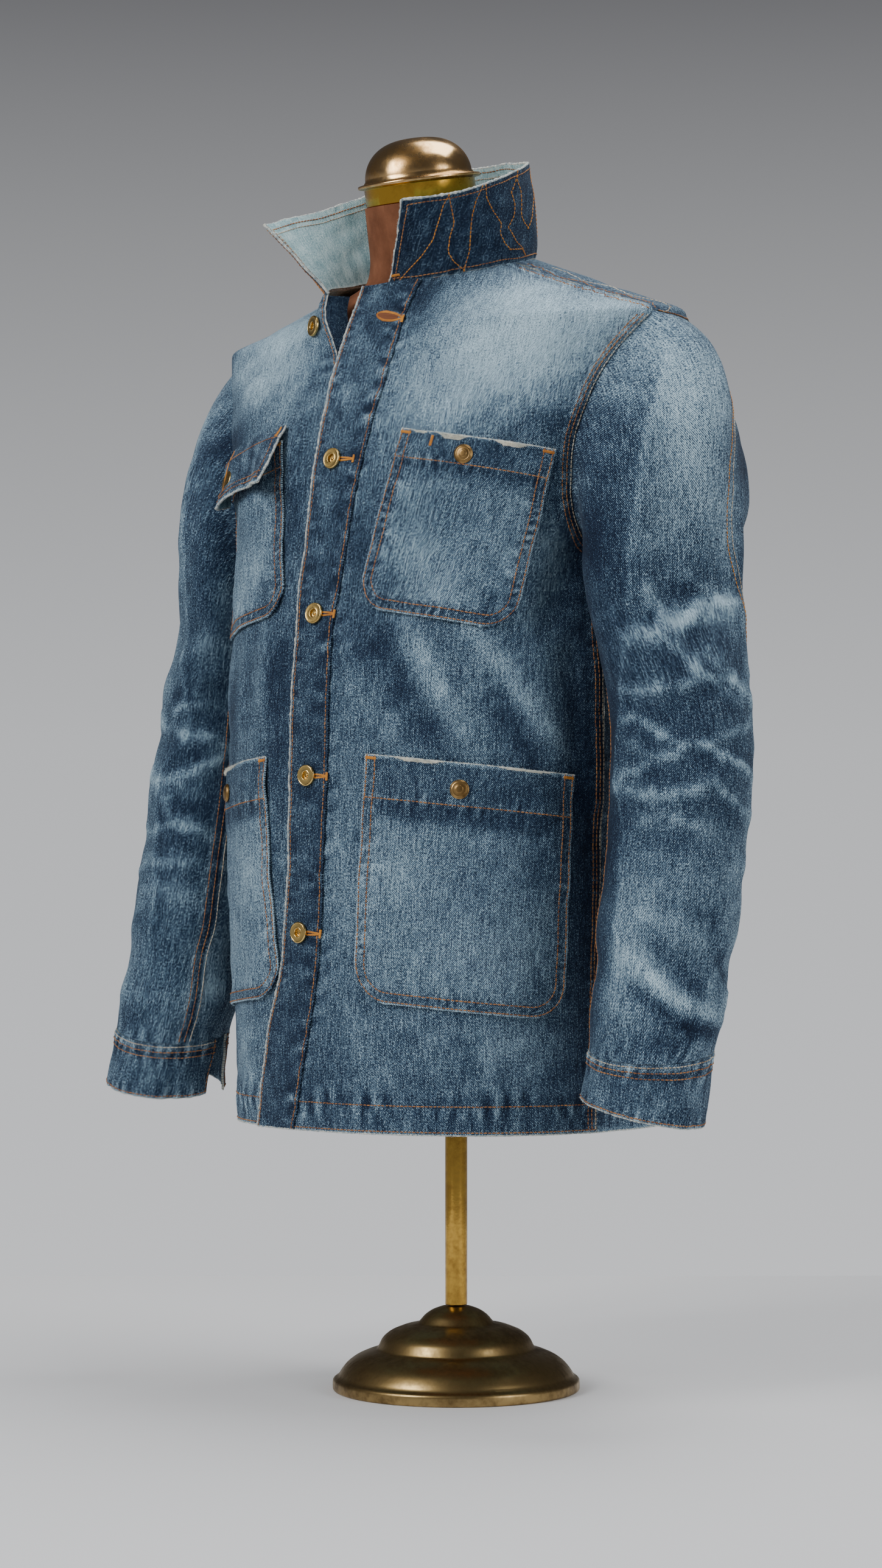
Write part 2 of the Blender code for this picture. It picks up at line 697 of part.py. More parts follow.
def head_point(share, along):
    """A point of the sleeve's head, between the armhole seam (0) and the first full ring (1)."""
    seam, normal = left_armhole_point(share)
    inward = HEAD_MIDDLE - seam
    inward = (inward - inward.dot(normal) * normal).normalized()
    start = seam + SEAM_GAP / 2 * inward
    way = {name: read(HEAD_ROWS, HEAD_COLUMNS, name, share) for name in HEAD_COLUMNS[1:]}
    leave = Vector((way["out"], way["fore_aft"], way["up"])).normalized()
    end = sleeve_ring_point(ring_turn(share), SLEEVE_FULL)
    length = (end - start).length
    first = start + leave * length * way["fullness"]
    second = end + HEAD_ARRIVAL.normalized() * length * HEAD_ARRIVAL_SHARE
    rest = 1 - along
    ends = rest**3 * start + along**3 * end
    return ends + 3 * rest**2 * along * first + 3 * rest * along**2 * second


def sleeve_fold(turn, height):
    """How far a sleeve's cloth stands out of its plain surface here."""
    total = 0.0
    for row in SLEEVE_FOLDS:
        fold = dict(zip(SLEEVE_FOLD_COLUMNS, row))
        round_away = (turn - fold["turn"] + 0.5) % 1.0 - 0.5
        down_away = height - fold["height"] - fold["slant"] * round_away
        share = (round_away / fold["half_turn"]) ** 2 + (down_away / fold["half_height"]) ** 2
        total += fold["depth"] * math.exp(-share)
    return total


def sleeve_point(share, run):
    """A point of the left sleeve's outer face: run is 0 at the seam, 1 at the full ring, 2 at the cuff."""
    if run <= 1:
        return head_point(share, run)
    height = SLEEVE_FULL + (run - 1) * (SLEEVE_END - SLEEVE_FULL)
    return sleeve_ring_point(ring_turn(share), height)


def sleeve_normal(share, run):
    """The way out of the sleeve here."""
    low = max(run - NEAR_SHARE, 0.0)
    high = min(run + NEAR_SHARE, 2.0)
    down = sleeve_point(share, high) - sleeve_point(share, low)
    across = sleeve_point((share + NEAR_SHARE) % 1.0, run) - sleeve_point((share - NEAR_SHARE) % 1.0, run)
    return across.cross(down).normalized()


def hang(side, point, slope, share):
    """The place of a left sleeve's point on this side, its level cut tipped by a share of a slope."""
    across = side * (point.x - read(SLEEVE_ROWS, SLEEVE_COLUMNS, "out", point.z))
    fore_aft = point.y - read(SLEEVE_ROWS, SLEEVE_COLUMNS, "fore_aft", point.z)
    rise = share * (slope[0] * across + slope[1] * fore_aft)
    return Vector((side * point.x, point.y, point.z + rise))


def sleeve(name, side):
    """One sleeve, from the armhole seam to the cuff seam, as a tube of rings."""
    front_shares, back_shares = armhole_shares()
    shares = list(front_shares) + list(back_shares[1:-1])
    slope = CUFF_SEAM_SLOPE[side]
    outer = []
    inner = []
    for run in even_steps(0, 1, HEAD_RINGS) + even_steps(1, 2, SLEEVE_RINGS)[1:]:
        row = []
        row_in = []
        folded = smooth_step(0.05, 0.4, run) * (1 - smooth_step(1.9, 2.0, run))
        for share in shares:
            bare = sleeve_point(share, run)
            normal = sleeve_normal(share, run)
            normal.z *= 1 - smooth_step(1.85, 2.0, run)
            normal.normalize()
            point = bare + folded * sleeve_fold(ring_turn(share), bare.z) * normal
            tipped = 1 - smooth_step(SLEEVE_END, CUFF_SLOPE_FROM, bare.z)
            row.append(hang(side, point, slope, tipped))
            row_in.append(hang(side, point - CLOTH * normal, slope, tipped))
        outer.append(row)
        inner.append(row_in)
    return wall(name, outer, inner, denim(), closed=True)


def cuff(name, side):
    """The cuff's band, open at its slit on the inner back of the arm, where its back end stands away."""
    first_turn, last_turn = CUFF_ENDS
    seam, edge = CUFF_SEAM_SLOPE[side], CUFF_EDGE_SLOPE[side]
    outer = []
    inner = []
    for level in even_steps(0, 1, 4):
        height = SLEEVE_END - SEAM_GAP - level * CUFF_HEIGHT
        slope = [a + (b - a) * level for a, b in zip(seam, edge)]
        row = []
        row_in = []
        for place in even_steps(0, 1, CUFF_STEPS):
            turn = first_turn + (last_turn - first_turn) * place
            point = sleeve_ring_point(turn, height)
            round_it = sleeve_ring_point(turn + 0.01, height) - sleeve_ring_point(turn - 0.01, height)
            normal = round_it.cross(Vector((0, 0, -1))).normalized()
            away = CUFF_END_AWAY * (1 - smooth_step(0, 0.16, place)) * level
            point = point + away * normal
            row.append(hang(side, point, slope, 1.0))
            row_in.append(hang(side, point - CUFF_CLOTH * normal, slope, 1.0))
        outer.append(row)
        inner.append(row_in)
    return wall(name, outer, inner, denim())


# ---------------------------------------------------------------- the collar


def collar_column(side, place):
    """One upright line of the collar: its points from the neckline to the top edge, and the way out."""
    start = COLLAR_STARTS[side]
    distance = side * (start + place * (half_round(NECK_HEIGHT) - start))
    point_at = body_point if side > 0 else right_front_point
    base = point_at(distance, NECK_HEIGHT) + Vector((0, 0, SEAM_GAP))
    normal = back_normal(distance, NECK_HEIGHT)
    out = Vector((normal.x, normal.y, 0)).normalized()
    along = Vector((-side * out.y, side * out.x, 0))
    rise, flare, swing = (read(COLLAR_ROWS, COLLAR_COLUMNS, name, place) for name in COLLAR_COLUMNS[1:])
    points = []
    for level in COLLAR_LEVELS:
        stands_out = flare * level**COLLAR_ROLL + COLLAR_BOW * math.sin(math.pi * level)
        points.append(base + Vector((0, 0, rise * level)) + stands_out * out + along * swing * level)
    return points, out


def collar():
    """The collar in one piece, standing up round the neck, its two points spread to the sides."""
    places = even_steps(0, 1, COLLAR_STEPS)
    columns = [collar_column(1, place) for place in places]
    columns += [collar_column(-1, place) for place in places[-2::-1]]
    levels = range(len(COLLAR_LEVELS))
    outer = [[points[level] for points, _ in columns] for level in levels]
    inner = [[points[level] - COLLAR_CLOTH * out for points, out in columns] for level in levels]
    return wall("collar", outer, inner, denim())


# ---------------------------------------------------------------- what is sewn and riveted on


def placket():
    """The band down the left front's edge, which the buttonholes go through."""
    outer = []
    inner = []
    rows = [height for height, _ in panel_rows(armhole_shares()[0][::-1])]
    for height in rows:
        edge = read(FRONT_EDGE_ROWS, FRONT_EDGE_COLUMNS, "left_edge", height)
        stops = even_steps(edge, edge + PLACKET_WIDTH, PLACKET_STEPS)
        outer.append([body_point(stop, height, LIE_GAP + CLOTH) for stop in stops])
        inner.append([body_point(stop, height, LIE_GAP) for stop in stops])
    return wall("placket_left", outer, inner, denim())


def pocket_outline(size, down):
    """How far the sides draw in at this depth, for the round bottom corners."""
    radius = size["corner"]
    into = down - (size["depth"] - radius)
    if into <= 0:
        return 0.0
    return radius - math.sqrt(max(radius**2 - into**2, 0.0))


def pocket_levels(size):
    """Depths below the top where a pocket has a row of points."""
    straight = size["depth"] - size["corner"]
    bend = [straight + size["corner"] * math.sin(math.radians(angle)) for angle in (30, 55, 78)]
    return even_steps(0, straight, 5) + bend


def pocket_point(kind, side, across, down, lift):
    """A point on a pocket: across is 0 at the side nearer the opening, down is metres below its top."""
    size = dict(zip(POCKET_COLUMNS, POCKETS[kind]))
    draw = pocket_outline(size, down)
    near = size["near"] - size["near_lean"] * down + draw
    far = size["far"] - size["far_lean"] * down - draw
    top = size["near_top"] + across * (size["far_top"] - size["near_top"])
    point_at = body_point if side > 0 else right_front_point
    return point_at(side * (near + across * (far - near)), top - down, lift)


def pocket(name, kind, side):
    """A patch pocket on a front, open at the top."""
    levels = pocket_levels(dict(zip(POCKET_COLUMNS, POCKETS[kind])))
    places = even_steps(0, 1, POCKET_STEPS)
    grids = [
        [[pocket_point(kind, side, place, down, lift) for place in places] for down in levels]
        for lift in (LIE_GAP + CLOTH, LIE_GAP)
    ]
    return wall(name, *grids, denim())


def flap(name, kind, side):
    """The pocket's flap: sewn along its top, lifted and waved along its bottom edge."""
    outer = []
    for share in (0.0, 0.16, 0.42, 0.72, 1.0):
        row = []
        for place in even_steps(0, 1, FLAP_STEPS):
            across = FLAP_SIDE * (2 * place - 1) + place
            wave = math.sin(math.tau * (FLAP_WAVES * place + FLAP_WAVE_START))
            lifted = FLAP_LIFT + FLAP_CORNER_LIFT * (1 - smooth_step(0, 0.35, place)) + FLAP_WAVE * wave
            over_pocket = smooth_step(0, FLAP_ABOVE / FLAP_DROP, share) * (LIE_GAP + CLOTH + LIE_GAP)
            lift = SEAM_GAP + FLAP_CLOTH + over_pocket + share**1.3 * lifted
            drop = FLAP_DROP * (1 - FLAP_SKEW * place) + FLAP_DIP * wave
            row.append(pocket_point(kind, side, across, share * drop - FLAP_ABOVE, lift))
        outer.append(row)
    inner = []
    for i, row in enumerate(outer):
        inner.append([])
        above = outer[max(i - 1, 0)]
        below = outer[min(i + 1, len(outer) - 1)]
        for j, point in enumerate(row):
            along = row[min(j + 1, FLAP_STEPS - 1)] - row[max(j - 1, 0)]
            normal = along.cross(above[j] - below[j]).normalized() * side
            inner[i].append(point - FLAP_CLOTH * normal)
    return wall(name, outer, inner, denim())


def button_profile():
    """A tack button: a flat ring round a hollow with a small rivet in it."""
    r = BUTTON_RADIUS
    return (
        (0.0, 0.0),
        (r * 0.94, 0.0),
        (r, 0.0006),
        (r, 0.0022),
        (r * 0.93, 0.0030),
        (r * 0.50, 0.0030),
        (r * 0.38, 0.0024),
        (r * 0.34, 0.0012),
        (r * 0.16, 0.0012),
        (r * 0.12, 0.0018),
        (0.0, 0.0019),
    )


def snap_profile():
    """A snap's cap: a low dome on a narrow flange."""
    r = SNAP_RADIUS
    dome = [(r * 0.90 * math.cos(a), 0.0012 + 0.0024 * math.sin(a)) for a in (0.0, 0.4, 0.8, 1.2)]
    return [(0.0, 0.0), (r, 0.0), (r, 0.0009)] + dome + [(0.0, 0.0036)]


def fitting(name, profile, point, normal):
    brass = material("fitting_brass", FITTING_BRASS, 0.35, 1.0)
    return turned(name, profile, FITTING_STEPS, brass, facing(point, normal))


def front_button(name, height):
    """A button of the closed front, on the left front's placket."""
    distance = read(FRONT_EDGE_ROWS, FRONT_EDGE_COLUMNS, "left_edge", height) + BUTTON_INSET
    point = body_point(distance, height, LIE_GAP + CLOTH + FITTING_GAP)
    return fitting(name, button_profile(), point, bare_normal(distance, height))


def tack_profile():
    """The back of a button's tack: a low disc."""
    r = TACK_RADIUS
    return ((0.0, 0.0), (r, 0.0), (r, 0.0006), (r * 0.6, 0.0016), (0.0, 0.0020))


def neck_button():
    """The unfastened top button on the right front's outer face, and the back of its tack inside."""
    edge = read(FRONT_EDGE_ROWS, FRONT_EDGE_COLUMNS, "right_edge", NECK_BUTTON_HEIGHT)
    distance = edge - BUTTON_INSET
    point = right_front_point(distance, NECK_BUTTON_HEIGHT)
    across = right_front_point(distance + NEAR, NECK_BUTTON_HEIGHT) - point
    up = right_front_point(distance, NECK_BUTTON_HEIGHT + NEAR) - point
    normal = across.cross(up).normalized()
    fitting("button_neck", button_profile(), point + LIE_GAP * normal, normal)
    fitting("button_neck_back", tack_profile(), point - (CLOTH + 1.5 * LIE_GAP) * normal, -normal)


def snap(name, kind, side):
    """A snap's cap in the middle of a pocket's hem."""
    lift = LIE_GAP + CLOTH + FITTING_GAP
    down = SNAP_DOWN[kind]
    point = pocket_point(kind, side, SNAP_ACROSS, down, lift)
    across = pocket_point(kind, side, SNAP_ACROSS + SNAP_ASIDE, down, lift) - point
    up = point - pocket_point(kind, side, SNAP_ACROSS, down + NEAR, lift)
    return fitting(name, snap_profile(), point, side * across.cross(up))


# ---------------------------------------------------------------- the dress form and its stand


def form_ring(height, half_width, front, back, rise, count):
    """One elliptical cut of the torso."""
    middle = (front + back) / 2
    reach = (back - front) / 2
    ring = []
    for i in range(count):
        angle = math.tau * i / count
        x = half_width * math.sin(angle)
        y = middle - reach * math.cos(angle)
        ring.append(Vector((x, y, height + rise * (y - RISE_PIVOT))))
    return ring


def form():
    """The torso: smooth rings up to the shoulders, then the neck."""
    count = FORM_STEPS
    rings = []
    for height in FORM_HEIGHTS:
        sizes = [read(FORM_ROWS, FORM_COLUMNS, name, height) for name in FORM_COLUMNS[1:]]
        rings.append(form_ring(height, *sizes, count))
    for height, side_inset in FORM_SHOULDER_ROWS:
        body = {name: read(BODY_ROWS, BODY_COLUMNS, name, height) for name in BODY_COLUMNS[1:]}
        half_width = body["half_width"] - side_inset
        ends = (body["front"] + FORM_INSET, body["back"] - FORM_INSET)
        rings.append(form_ring(height - FORM_DROP, half_width, *ends, body["rise"], count))
    for height, radius, fore_aft, lean in FORM_NECK_ROWS:
        ring = []
        for i in range(count):
            angle = math.tau * i / count
            y = -radius * math.cos(angle)
            ring.append(Vector((radius * math.sin(angle), fore_aft + y, height + lean * y)))
        rings.append(ring)
    mesh = bpy.data.meshes.new("form_torso")
    shape = bmesh.new()
    made = [[shape.verts.new(point) for point in ring] for ring in rings]
    for low, high in zip(made, made[1:]):
        for i in range(count):
            k = (i + 1) % count
            shape.faces.new((low[i], low[k], high[k], high[i]))
    shape.faces.new(made[0][::-1])
    shape.faces.new(made[-1])
    face_outwards(shape)
    shape.to_mesh(mesh)
    shape.free()
    return add_object("form_torso", mesh, material("jersey", JERSEY, 0.9))


def cap_place():
    """The middle of the neck's cut top, with +Z along the neck."""
    lean = Matrix.Rotation(CAP_LEAN, 4, "X")
    return Matrix.Translation(Vector((0, NECK_TOP_FORE_AFT, NECK_TOP))) @ lean


def neck_cap():
    """The brass cap on the neck: a band, a flange and a low dome, turned in one piece."""
    brass = material("cap_brass", FITTING_BRASS, 0.3, 1.0)
    profile = list(CAP_PROFILE)
    for angle in even_steps(0.1, math.pi / 2, CAP_DOME_STEPS):
        radius = CAP_DOME_RADIUS * math.cos(angle) ** CAP_DOME_SQUARE
        profile.append((radius, CAP_DOME_FOOT + CAP_DOME_HEIGHT * math.sin(angle)))
    profile[-1] = (0.0, profile[-1][1])
    return turned("neck_cap", profile, FORM_STEPS, brass, cap_place())


def pole():
    brass = material("pole_brass", POLE_BRASS, 0.3, 1.0)
    profile = (
        (0.0, BASE_TOP + SEAM_GAP),
        (POLE_RADIUS, BASE_TOP + SEAM_GAP),
        (POLE_RADIUS, FORM_BOTTOM - SEAM_GAP),
        (0.0, FORM_BOTTOM - SEAM_GAP),
    )
    return turned("stand_pole", profile, 20, brass)


def base():
    """The stand's foot: a rim band and three stepped domes."""
    brass = material("base_brass", DARK_BRASS, 0.42, 1.0)
    return turned("stand_base", BASE_PROFILE, BASE_STEPS, brass)


def main():
    for old in list(bpy.data.objects):
        bpy.data.objects.remove(old)
    front("front_left", 1)
    front("front_right", -1)
    back()
    sleeve("sleeve_left", 1)
    sleeve("sleeve_right", -1)
    cuff("cuff_left", 1)
    cuff("cuff_right", -1)
    collar()
    placket()
    for side, word in ((1, "left"), (-1, "right")):
        for kind in POCKETS:
            pocket(f"{kind}_{word}", kind, side)
    flap("flap_chest_right", "pocket_chest", -1)
    for number, height in enumerate(BUTTON_HEIGHTS, 1):
        front_button(f"button_{number}", height)
    neck_button()
    snap("snap_chest_left", "pocket_chest", 1)
    snap("snap_lower_left", "pocket_lower", 1)
    snap("snap_lower_right", "pocket_lower", -1)
    form()
    neck_cap()
    pole()
    base()


main()
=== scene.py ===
# %% [markdown]
# # A denim chore jacket on a dress form
#
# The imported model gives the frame: one solid for every piece of cloth, every button and every part of
# the stand. This lesson makes the looks around it. Each piece of cloth becomes a fine wall with creases,
# puckers and a map of how worn it is, each seam gets real stitches, and the brass is turned again with
# more steps.

# %% Tools and the frame
import math

import bmesh
import bpy
import numpy as np
from mathutils import Matrix, Vector
from mathutils.bvhtree import BVHTree


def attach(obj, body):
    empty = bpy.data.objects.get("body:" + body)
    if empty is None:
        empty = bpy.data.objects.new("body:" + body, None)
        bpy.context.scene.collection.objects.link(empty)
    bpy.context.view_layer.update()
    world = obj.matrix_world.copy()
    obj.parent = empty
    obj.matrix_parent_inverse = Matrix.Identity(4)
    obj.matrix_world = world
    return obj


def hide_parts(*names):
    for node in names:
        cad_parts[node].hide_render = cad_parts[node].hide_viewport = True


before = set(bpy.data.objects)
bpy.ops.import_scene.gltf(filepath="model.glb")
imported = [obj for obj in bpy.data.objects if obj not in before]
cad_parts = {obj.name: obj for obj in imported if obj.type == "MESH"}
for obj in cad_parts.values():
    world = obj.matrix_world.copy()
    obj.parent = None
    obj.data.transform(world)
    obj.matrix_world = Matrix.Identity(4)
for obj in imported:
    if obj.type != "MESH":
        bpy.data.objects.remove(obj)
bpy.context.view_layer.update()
print("solids in the frame:", len(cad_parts))


def placed(name, data):
    """A new object in the scene."""
    made = bpy.data.objects.new(name, data)
    bpy.context.scene.collection.objects.link(made)
    return made


# %% [markdown]
# ## Where the viewer stands
#
# The camera stands three metres away, on the wearer's left of the front, and looks level past the
# middle of the jacket. A long lens keeps the sleeves from spreading.

# %% The camera
VIEW_AZIMUTH = math.radians(41)
VIEW_DISTANCE = 3.0
VIEW_HEIGHT = 0.454
LENS = 81.4
SHIFT = (-0.0097, 0.0435)

camera = placed("camera", bpy.data.cameras.new("camera"))
camera.location = (
    VIEW_DISTANCE * math.sin(VIEW_AZIMUTH),
    -VIEW_DISTANCE * math.cos(VIEW_AZIMUTH),
    VIEW_HEIGHT,
)
camera.rotation_euler = (math.pi / 2, 0, VIEW_AZIMUTH)
camera.data.lens = LENS
camera.data.shift_x, camera.data.shift_y = SHIFT
bpy.context.scene.camera = camera

# %% [markdown]
# ## The cut of the jacket
#
# These are the same named sizes as the solids': a body described by level cuts, the armhole seam once
# round, where the two front edges run, the sleeve's rings, the collar's upright lines and the pockets.
# Distances round the body are counted from the middle of the front, the wearer's left positive.

# %% Sizes of the cut, in metres
HEM_HEIGHT = 0.229
ARMHOLE_LOW = 0.700
SHOULDER_TIP = 0.888
NECK_HEIGHT = 0.941
CLOTH = 0.0014
SEAM_GAP = 0.0003
LIE_GAP = 0.0010
HEM_FOLD = 0.024
HEM_EXTRA = 0.0009
UNDERLAP_DEPTH = 0.0034
UNDERLAP_RAMP = (0.035, 0.006)
OPEN_FROM = 0.850
OPEN_CORNER = (-0.026, -0.022, -0.004)
OPEN_REACH = 0.036
COLLAR_CLOTH = 0.0026
CUFF_CLOTH = 0.0020
CUFF_HEIGHT = 0.047
RISE_PIVOT = -0.020
NECK_SEAM_FORE_AFT = -0.016
NEAR = 0.004

BODY_COLUMNS = ("height", "half_width", "front", "back", "front_square", "back_square", "rise")
BODY_ROWS = (
    (0.229, 0.181, -0.172, 0.148, 2.15, 2.50, 0.000),
    (0.340, 0.183, -0.176, 0.148, 2.15, 2.50, 0.000),
    (0.460, 0.186, -0.178, 0.146, 2.20, 2.50, 0.000),
    (0.580, 0.186, -0.176, 0.148, 2.25, 2.60, 0.000),
    (0.650, 0.183, -0.169, 0.154, 2.35, 2.90, 0.000),
    (0.710, 0.184, -0.160, 0.157, 2.40, 3.60, 0.000),
    (0.760, 0.194, -0.151, 0.158, 2.50, 4.20, 0.010),
    (0.800, 0.206, -0.143, 0.153, 2.50, 3.90, 0.030),
    (0.840, 0.217, -0.131, 0.138, 2.45, 3.00, 0.050),
    (0.870, 0.225, -0.120, 0.117, 2.40, 2.50, 0.060),
    (0.888, 0.228, -0.113, 0.102, 2.35, 2.30, 0.080),
    (0.905, 0.182, -0.107, 0.090, 2.25, 2.25, 0.130),
    (0.922, 0.130, -0.101, 0.077, 2.15, 2.20, 0.190),
    (0.941, 0.078, -0.095, 0.058, 2.10, 2.10, 0.250),
)
ARMHOLE_COLUMNS = ("share", "fore_aft", "height")
ARMHOLE_ROWS = (
    (0.00, -0.022, 0.888),
    (0.06, -0.036, 0.873),
    (0.12, -0.052, 0.850),
    (0.18, -0.064, 0.820),
    (0.25, -0.070, 0.785),
    (0.33, -0.067, 0.748),
    (0.40, -0.056, 0.716),
    (0.46, -0.038, 0.700),
    (0.52, 0.000, 0.7015),
    (0.58, 0.046, 0.705),
    (0.64, 0.088, 0.712),
    (0.70, 0.117, 0.729),
    (0.76, 0.131, 0.758),
    (0.81, 0.132, 0.800),
    (0.86, 0.119, 0.837),
    (0.91, 0.088, 0.866),
    (0.955, 0.040, 0.881),
    (1.00, -0.022, 0.888),
)
SIDE_SEAM_SHARE = 0.46
ARM_TURNS = ((0.0, 0.0), (0.25, 0.25), (0.50, 0.50), (0.78, 0.75), (1.0, 1.0))
FRONT_EDGE_COLUMNS = ("height", "left_edge", "right_edge")
FRONT_EDGE_ROWS = (
    (0.229, -0.076, -0.004),
    (0.300, -0.057, 0.000),
    (0.370, -0.034, 0.010),
    (0.460, -0.024, 0.018),
    (0.640, -0.022, 0.020),
    (0.780, -0.022, 0.020),
    (0.825, -0.022, 0.006),
    (0.855, -0.022, -0.024),
    (0.880, -0.021, -0.024),
    (0.941, -0.020, -0.019),
)
SIDE_SEAM_COLUMNS = ("height", "fore_aft")
SIDE_SEAM_ROWS = ((0.229, -0.036), (0.450, -0.036), (0.700, -0.038))
PLACKET_LINE_COLUMNS = ("height", "width")
PLACKET_LINE_ROWS = (
    (0.229, 0.0490), (0.300, 0.0480), (0.357, 0.0410), (0.396, 0.0380), (0.454, 0.0360),
    (0.524, 0.0380), (0.640, 0.0375), (0.666, 0.0405), (0.709, 0.0440), (0.745, 0.0455),
    (0.771, 0.0488), (0.812, 0.0535), (0.840, 0.0570), (0.941, 0.0570),
)
PLACKET_MARGIN = 0.0022
# A fold of the body: start round, start height, end round, end height, half width, depth.
BODY_FOLDS = (
    (0.222, 0.690, 0.200, 0.640, 0.018, -0.005),
    (0.250, 0.660, 0.255, 0.500, 0.016, 0.004),
    (0.400, 0.820, 0.388, 0.745, 0.032, 0.017),
    (0.510, 0.750, 0.350, 0.630, 0.026, -0.004),
    (0.475, 0.540, 0.390, 0.380, 0.024, 0.004),
)
SLEEVE_COLUMNS = ("height", "out", "fore_aft", "half_out", "half_fore", "front_in")
SLEEVE_ROWS = (
    (0.655, 0.2385, -0.023, 0.0425, 0.0660, 0.24),
    (0.600, 0.2505, -0.024, 0.0475, 0.0605, 0.12),
    (0.550, 0.2590, -0.026, 0.0530, 0.0560, 0.05),
    (0.490, 0.2620, -0.032, 0.0540, 0.0560, 0.02),
    (0.430, 0.2630, -0.042, 0.0540, 0.0560, 0.00),
    (0.392, 0.2630, -0.049, 0.0550, 0.0570, 0.00),
    (0.365, 0.2640, -0.056, 0.0500, 0.0530, 0.00),
    (0.335, 0.2650, -0.063, 0.0520, 0.0540, 0.00),
    (0.300, 0.2660, -0.073, 0.0470, 0.0520, 0.00),
    (0.240, 0.2670, -0.089, 0.0465, 0.0510, 0.00),
)
SLEEVE_END = 0.300
CUFF_SLOPE_FROM = 0.380
CUFF_SEAM_SLOPE = {1: (-0.13, 0.13), -1: (-0.20, 0.15)}
CUFF_EDGE_SLOPE = {1: (-0.25, -0.06), -1: (-0.20, 0.12)}
CUFF_ENDS = (0.58, 1.525)
CUFF_END_AWAY = 0.006
# A fold of a sleeve: height, turn, half height, half turn, slant, depth.
SLEEVE_FOLDS = (
    (0.720, 0.13, 0.120, 0.035, 0.00, 0.0045),
    (0.720, 0.88, 0.120, 0.040, 0.00, 0.0040),
    (0.645, 0.22, 0.020, 0.120, 0.10, -0.0035),
    (0.600, 0.05, 0.018, 0.130, -0.10, 0.0030),
    (0.560, 0.15, 0.018, 0.120, 0.10, -0.0035),
    (0.515, 0.00, 0.018, 0.130, -0.08, 0.0030),
    (0.470, 0.20, 0.018, 0.110, 0.06, -0.0030),
    (0.600, 0.55, 0.022, 0.100, 0.00, -0.0030),
)
HEAD_COLUMNS = ("share", "out", "fore_aft", "up", "fullness")
HEAD_ROWS = (
    (0.00, 0.88, 0.00, -0.47, 0.44),
    (0.12, 0.75, -0.30, -0.60, 0.40),
    (0.25, 0.60, -0.42, -0.70, 0.42),
    (0.36, 0.80, -0.25, -0.45, 0.30),
    (0.46, 0.96, -0.05, -0.22, 0.22),
    (0.56, 0.94, -0.05, -0.30, 0.24),
    (0.66, 0.75, -0.30, -0.60, 0.36),
    (0.79, 0.80, -0.28, -0.48, 0.56),
    (0.88, 0.82, -0.05, -0.56, 0.38),
    (0.94, 0.84, -0.02, -0.53, 0.36),
    (1.00, 0.88, 0.00, -0.47, 0.44),
)
HEAD_MIDDLE = np.array((0.200, 0.030, 0.790))
HEAD_ARRIVAL = np.array((-0.10, 0.00, 1.00))
HEAD_ARRIVAL_SHARE = 0.34
SLEEVE_FULL = SLEEVE_ROWS[0][0]
COLLAR_COLUMNS = ("place", "rise", "flare", "swing")
COLLAR_ROWS = (
    (0.00, 0.058, 0.036, 0.040),
    (0.15, 0.063, 0.026, 0.030),
    (0.35, 0.072, 0.010, 0.014),
    (0.60, 0.081, -0.006, 0.003),
    (0.80, 0.080, -0.014, 0.000),
    (1.00, 0.078, -0.018, 0.000),
)
COLLAR_STARTS = {1: 0.010, -1: 0.019}
COLLAR_ROLL = 1.4
COLLAR_BOW = 0.004
POCKET_COLUMNS = ("near", "far", "near_top", "far_top", "depth", "corner", "near_lean", "far_lean")
POCKETS = {
    "pocket_chest": (0.066, 0.196, 0.797, 0.775, 0.146, 0.026, 0.18, 0.155),
    "pocket_lower": (0.056, 0.229, 0.532, 0.515, 0.196, 0.030, 0.07, 0.06),
}
FLAP_ABOVE = 0.014
FLAP_SIDE = 0.015
FLAP_DROP = 0.054
FLAP_SKEW = 0.28
FLAP_DIP = 0.004
FLAP_LIFT = 0.009
FLAP_CORNER_LIFT = 0.012
FLAP_WAVE = 0.005
FLAP_WAVES = 1.35
FLAP_WAVE_START = 0.30
FLAP_CLOTH = 0.0022

# %% [markdown]
# ## Reading the tables
#
# A table gives a few rows, and the cloth needs hundreds. A smooth curve through the rows that never
# swings past them keeps a straight run straight, which a plain cubic would not. Everything here works on
# whole arrays, because a fine piece of cloth has tens of thousands of points.

# %% Curves through tables


def curve_through(knots, values, at):
    """A smooth curve through a table's points that never swings past them."""
    knots, values = np.asarray(knots, float), np.asarray(values, float)
    step = np.diff(knots)
    slope = np.diff(values) / step
    tangent = np.concatenate([slope[:1], np.zeros(len(step) - 1), slope[-1:]])
    same_way = slope[:-1] * slope[1:] > 0
    before = 2 * step[1:] + step[:-1]
    after = step[1:] + 2 * step[:-1]
    safe = np.where(same_way, slope[:-1], 1), np.where(same_way, slope[1:], 1)
    tangent[1:-1] = np.where(same_way, (before + after) / (before / safe[0] + after / safe[1]), 0)
    at = np.clip(at, knots[0], knots[-1])
    i = np.clip(np.searchsorted(knots, at) - 1, 0, len(step) - 1)
    t = (at - knots[i]) / step[i]
    return (
        (2 * t**3 - 3 * t**2 + 1) * values[i]
        + (t**3 - 2 * t**2 + t) * step[i] * tangent[i]
        + (3 * t**2 - 2 * t**3) * values[i + 1]
        + (t**3 - t**2) * step[i] * tangent[i + 1]
    )


def read(rows, columns, name, at):
    """One column of a table, at values of its first column."""
    rows = sorted(rows)
    return curve_through([row[0] for row in rows], [row[columns.index(name)] for row in rows], at)


def smooth_step(low, high, value):
    """0 below low, 1 above high and an even bend between."""
    t = np.clip((np.asarray(value, float) - low) / (high - low), 0.0, 1.0)
    return t * t * (3 - 2 * t)


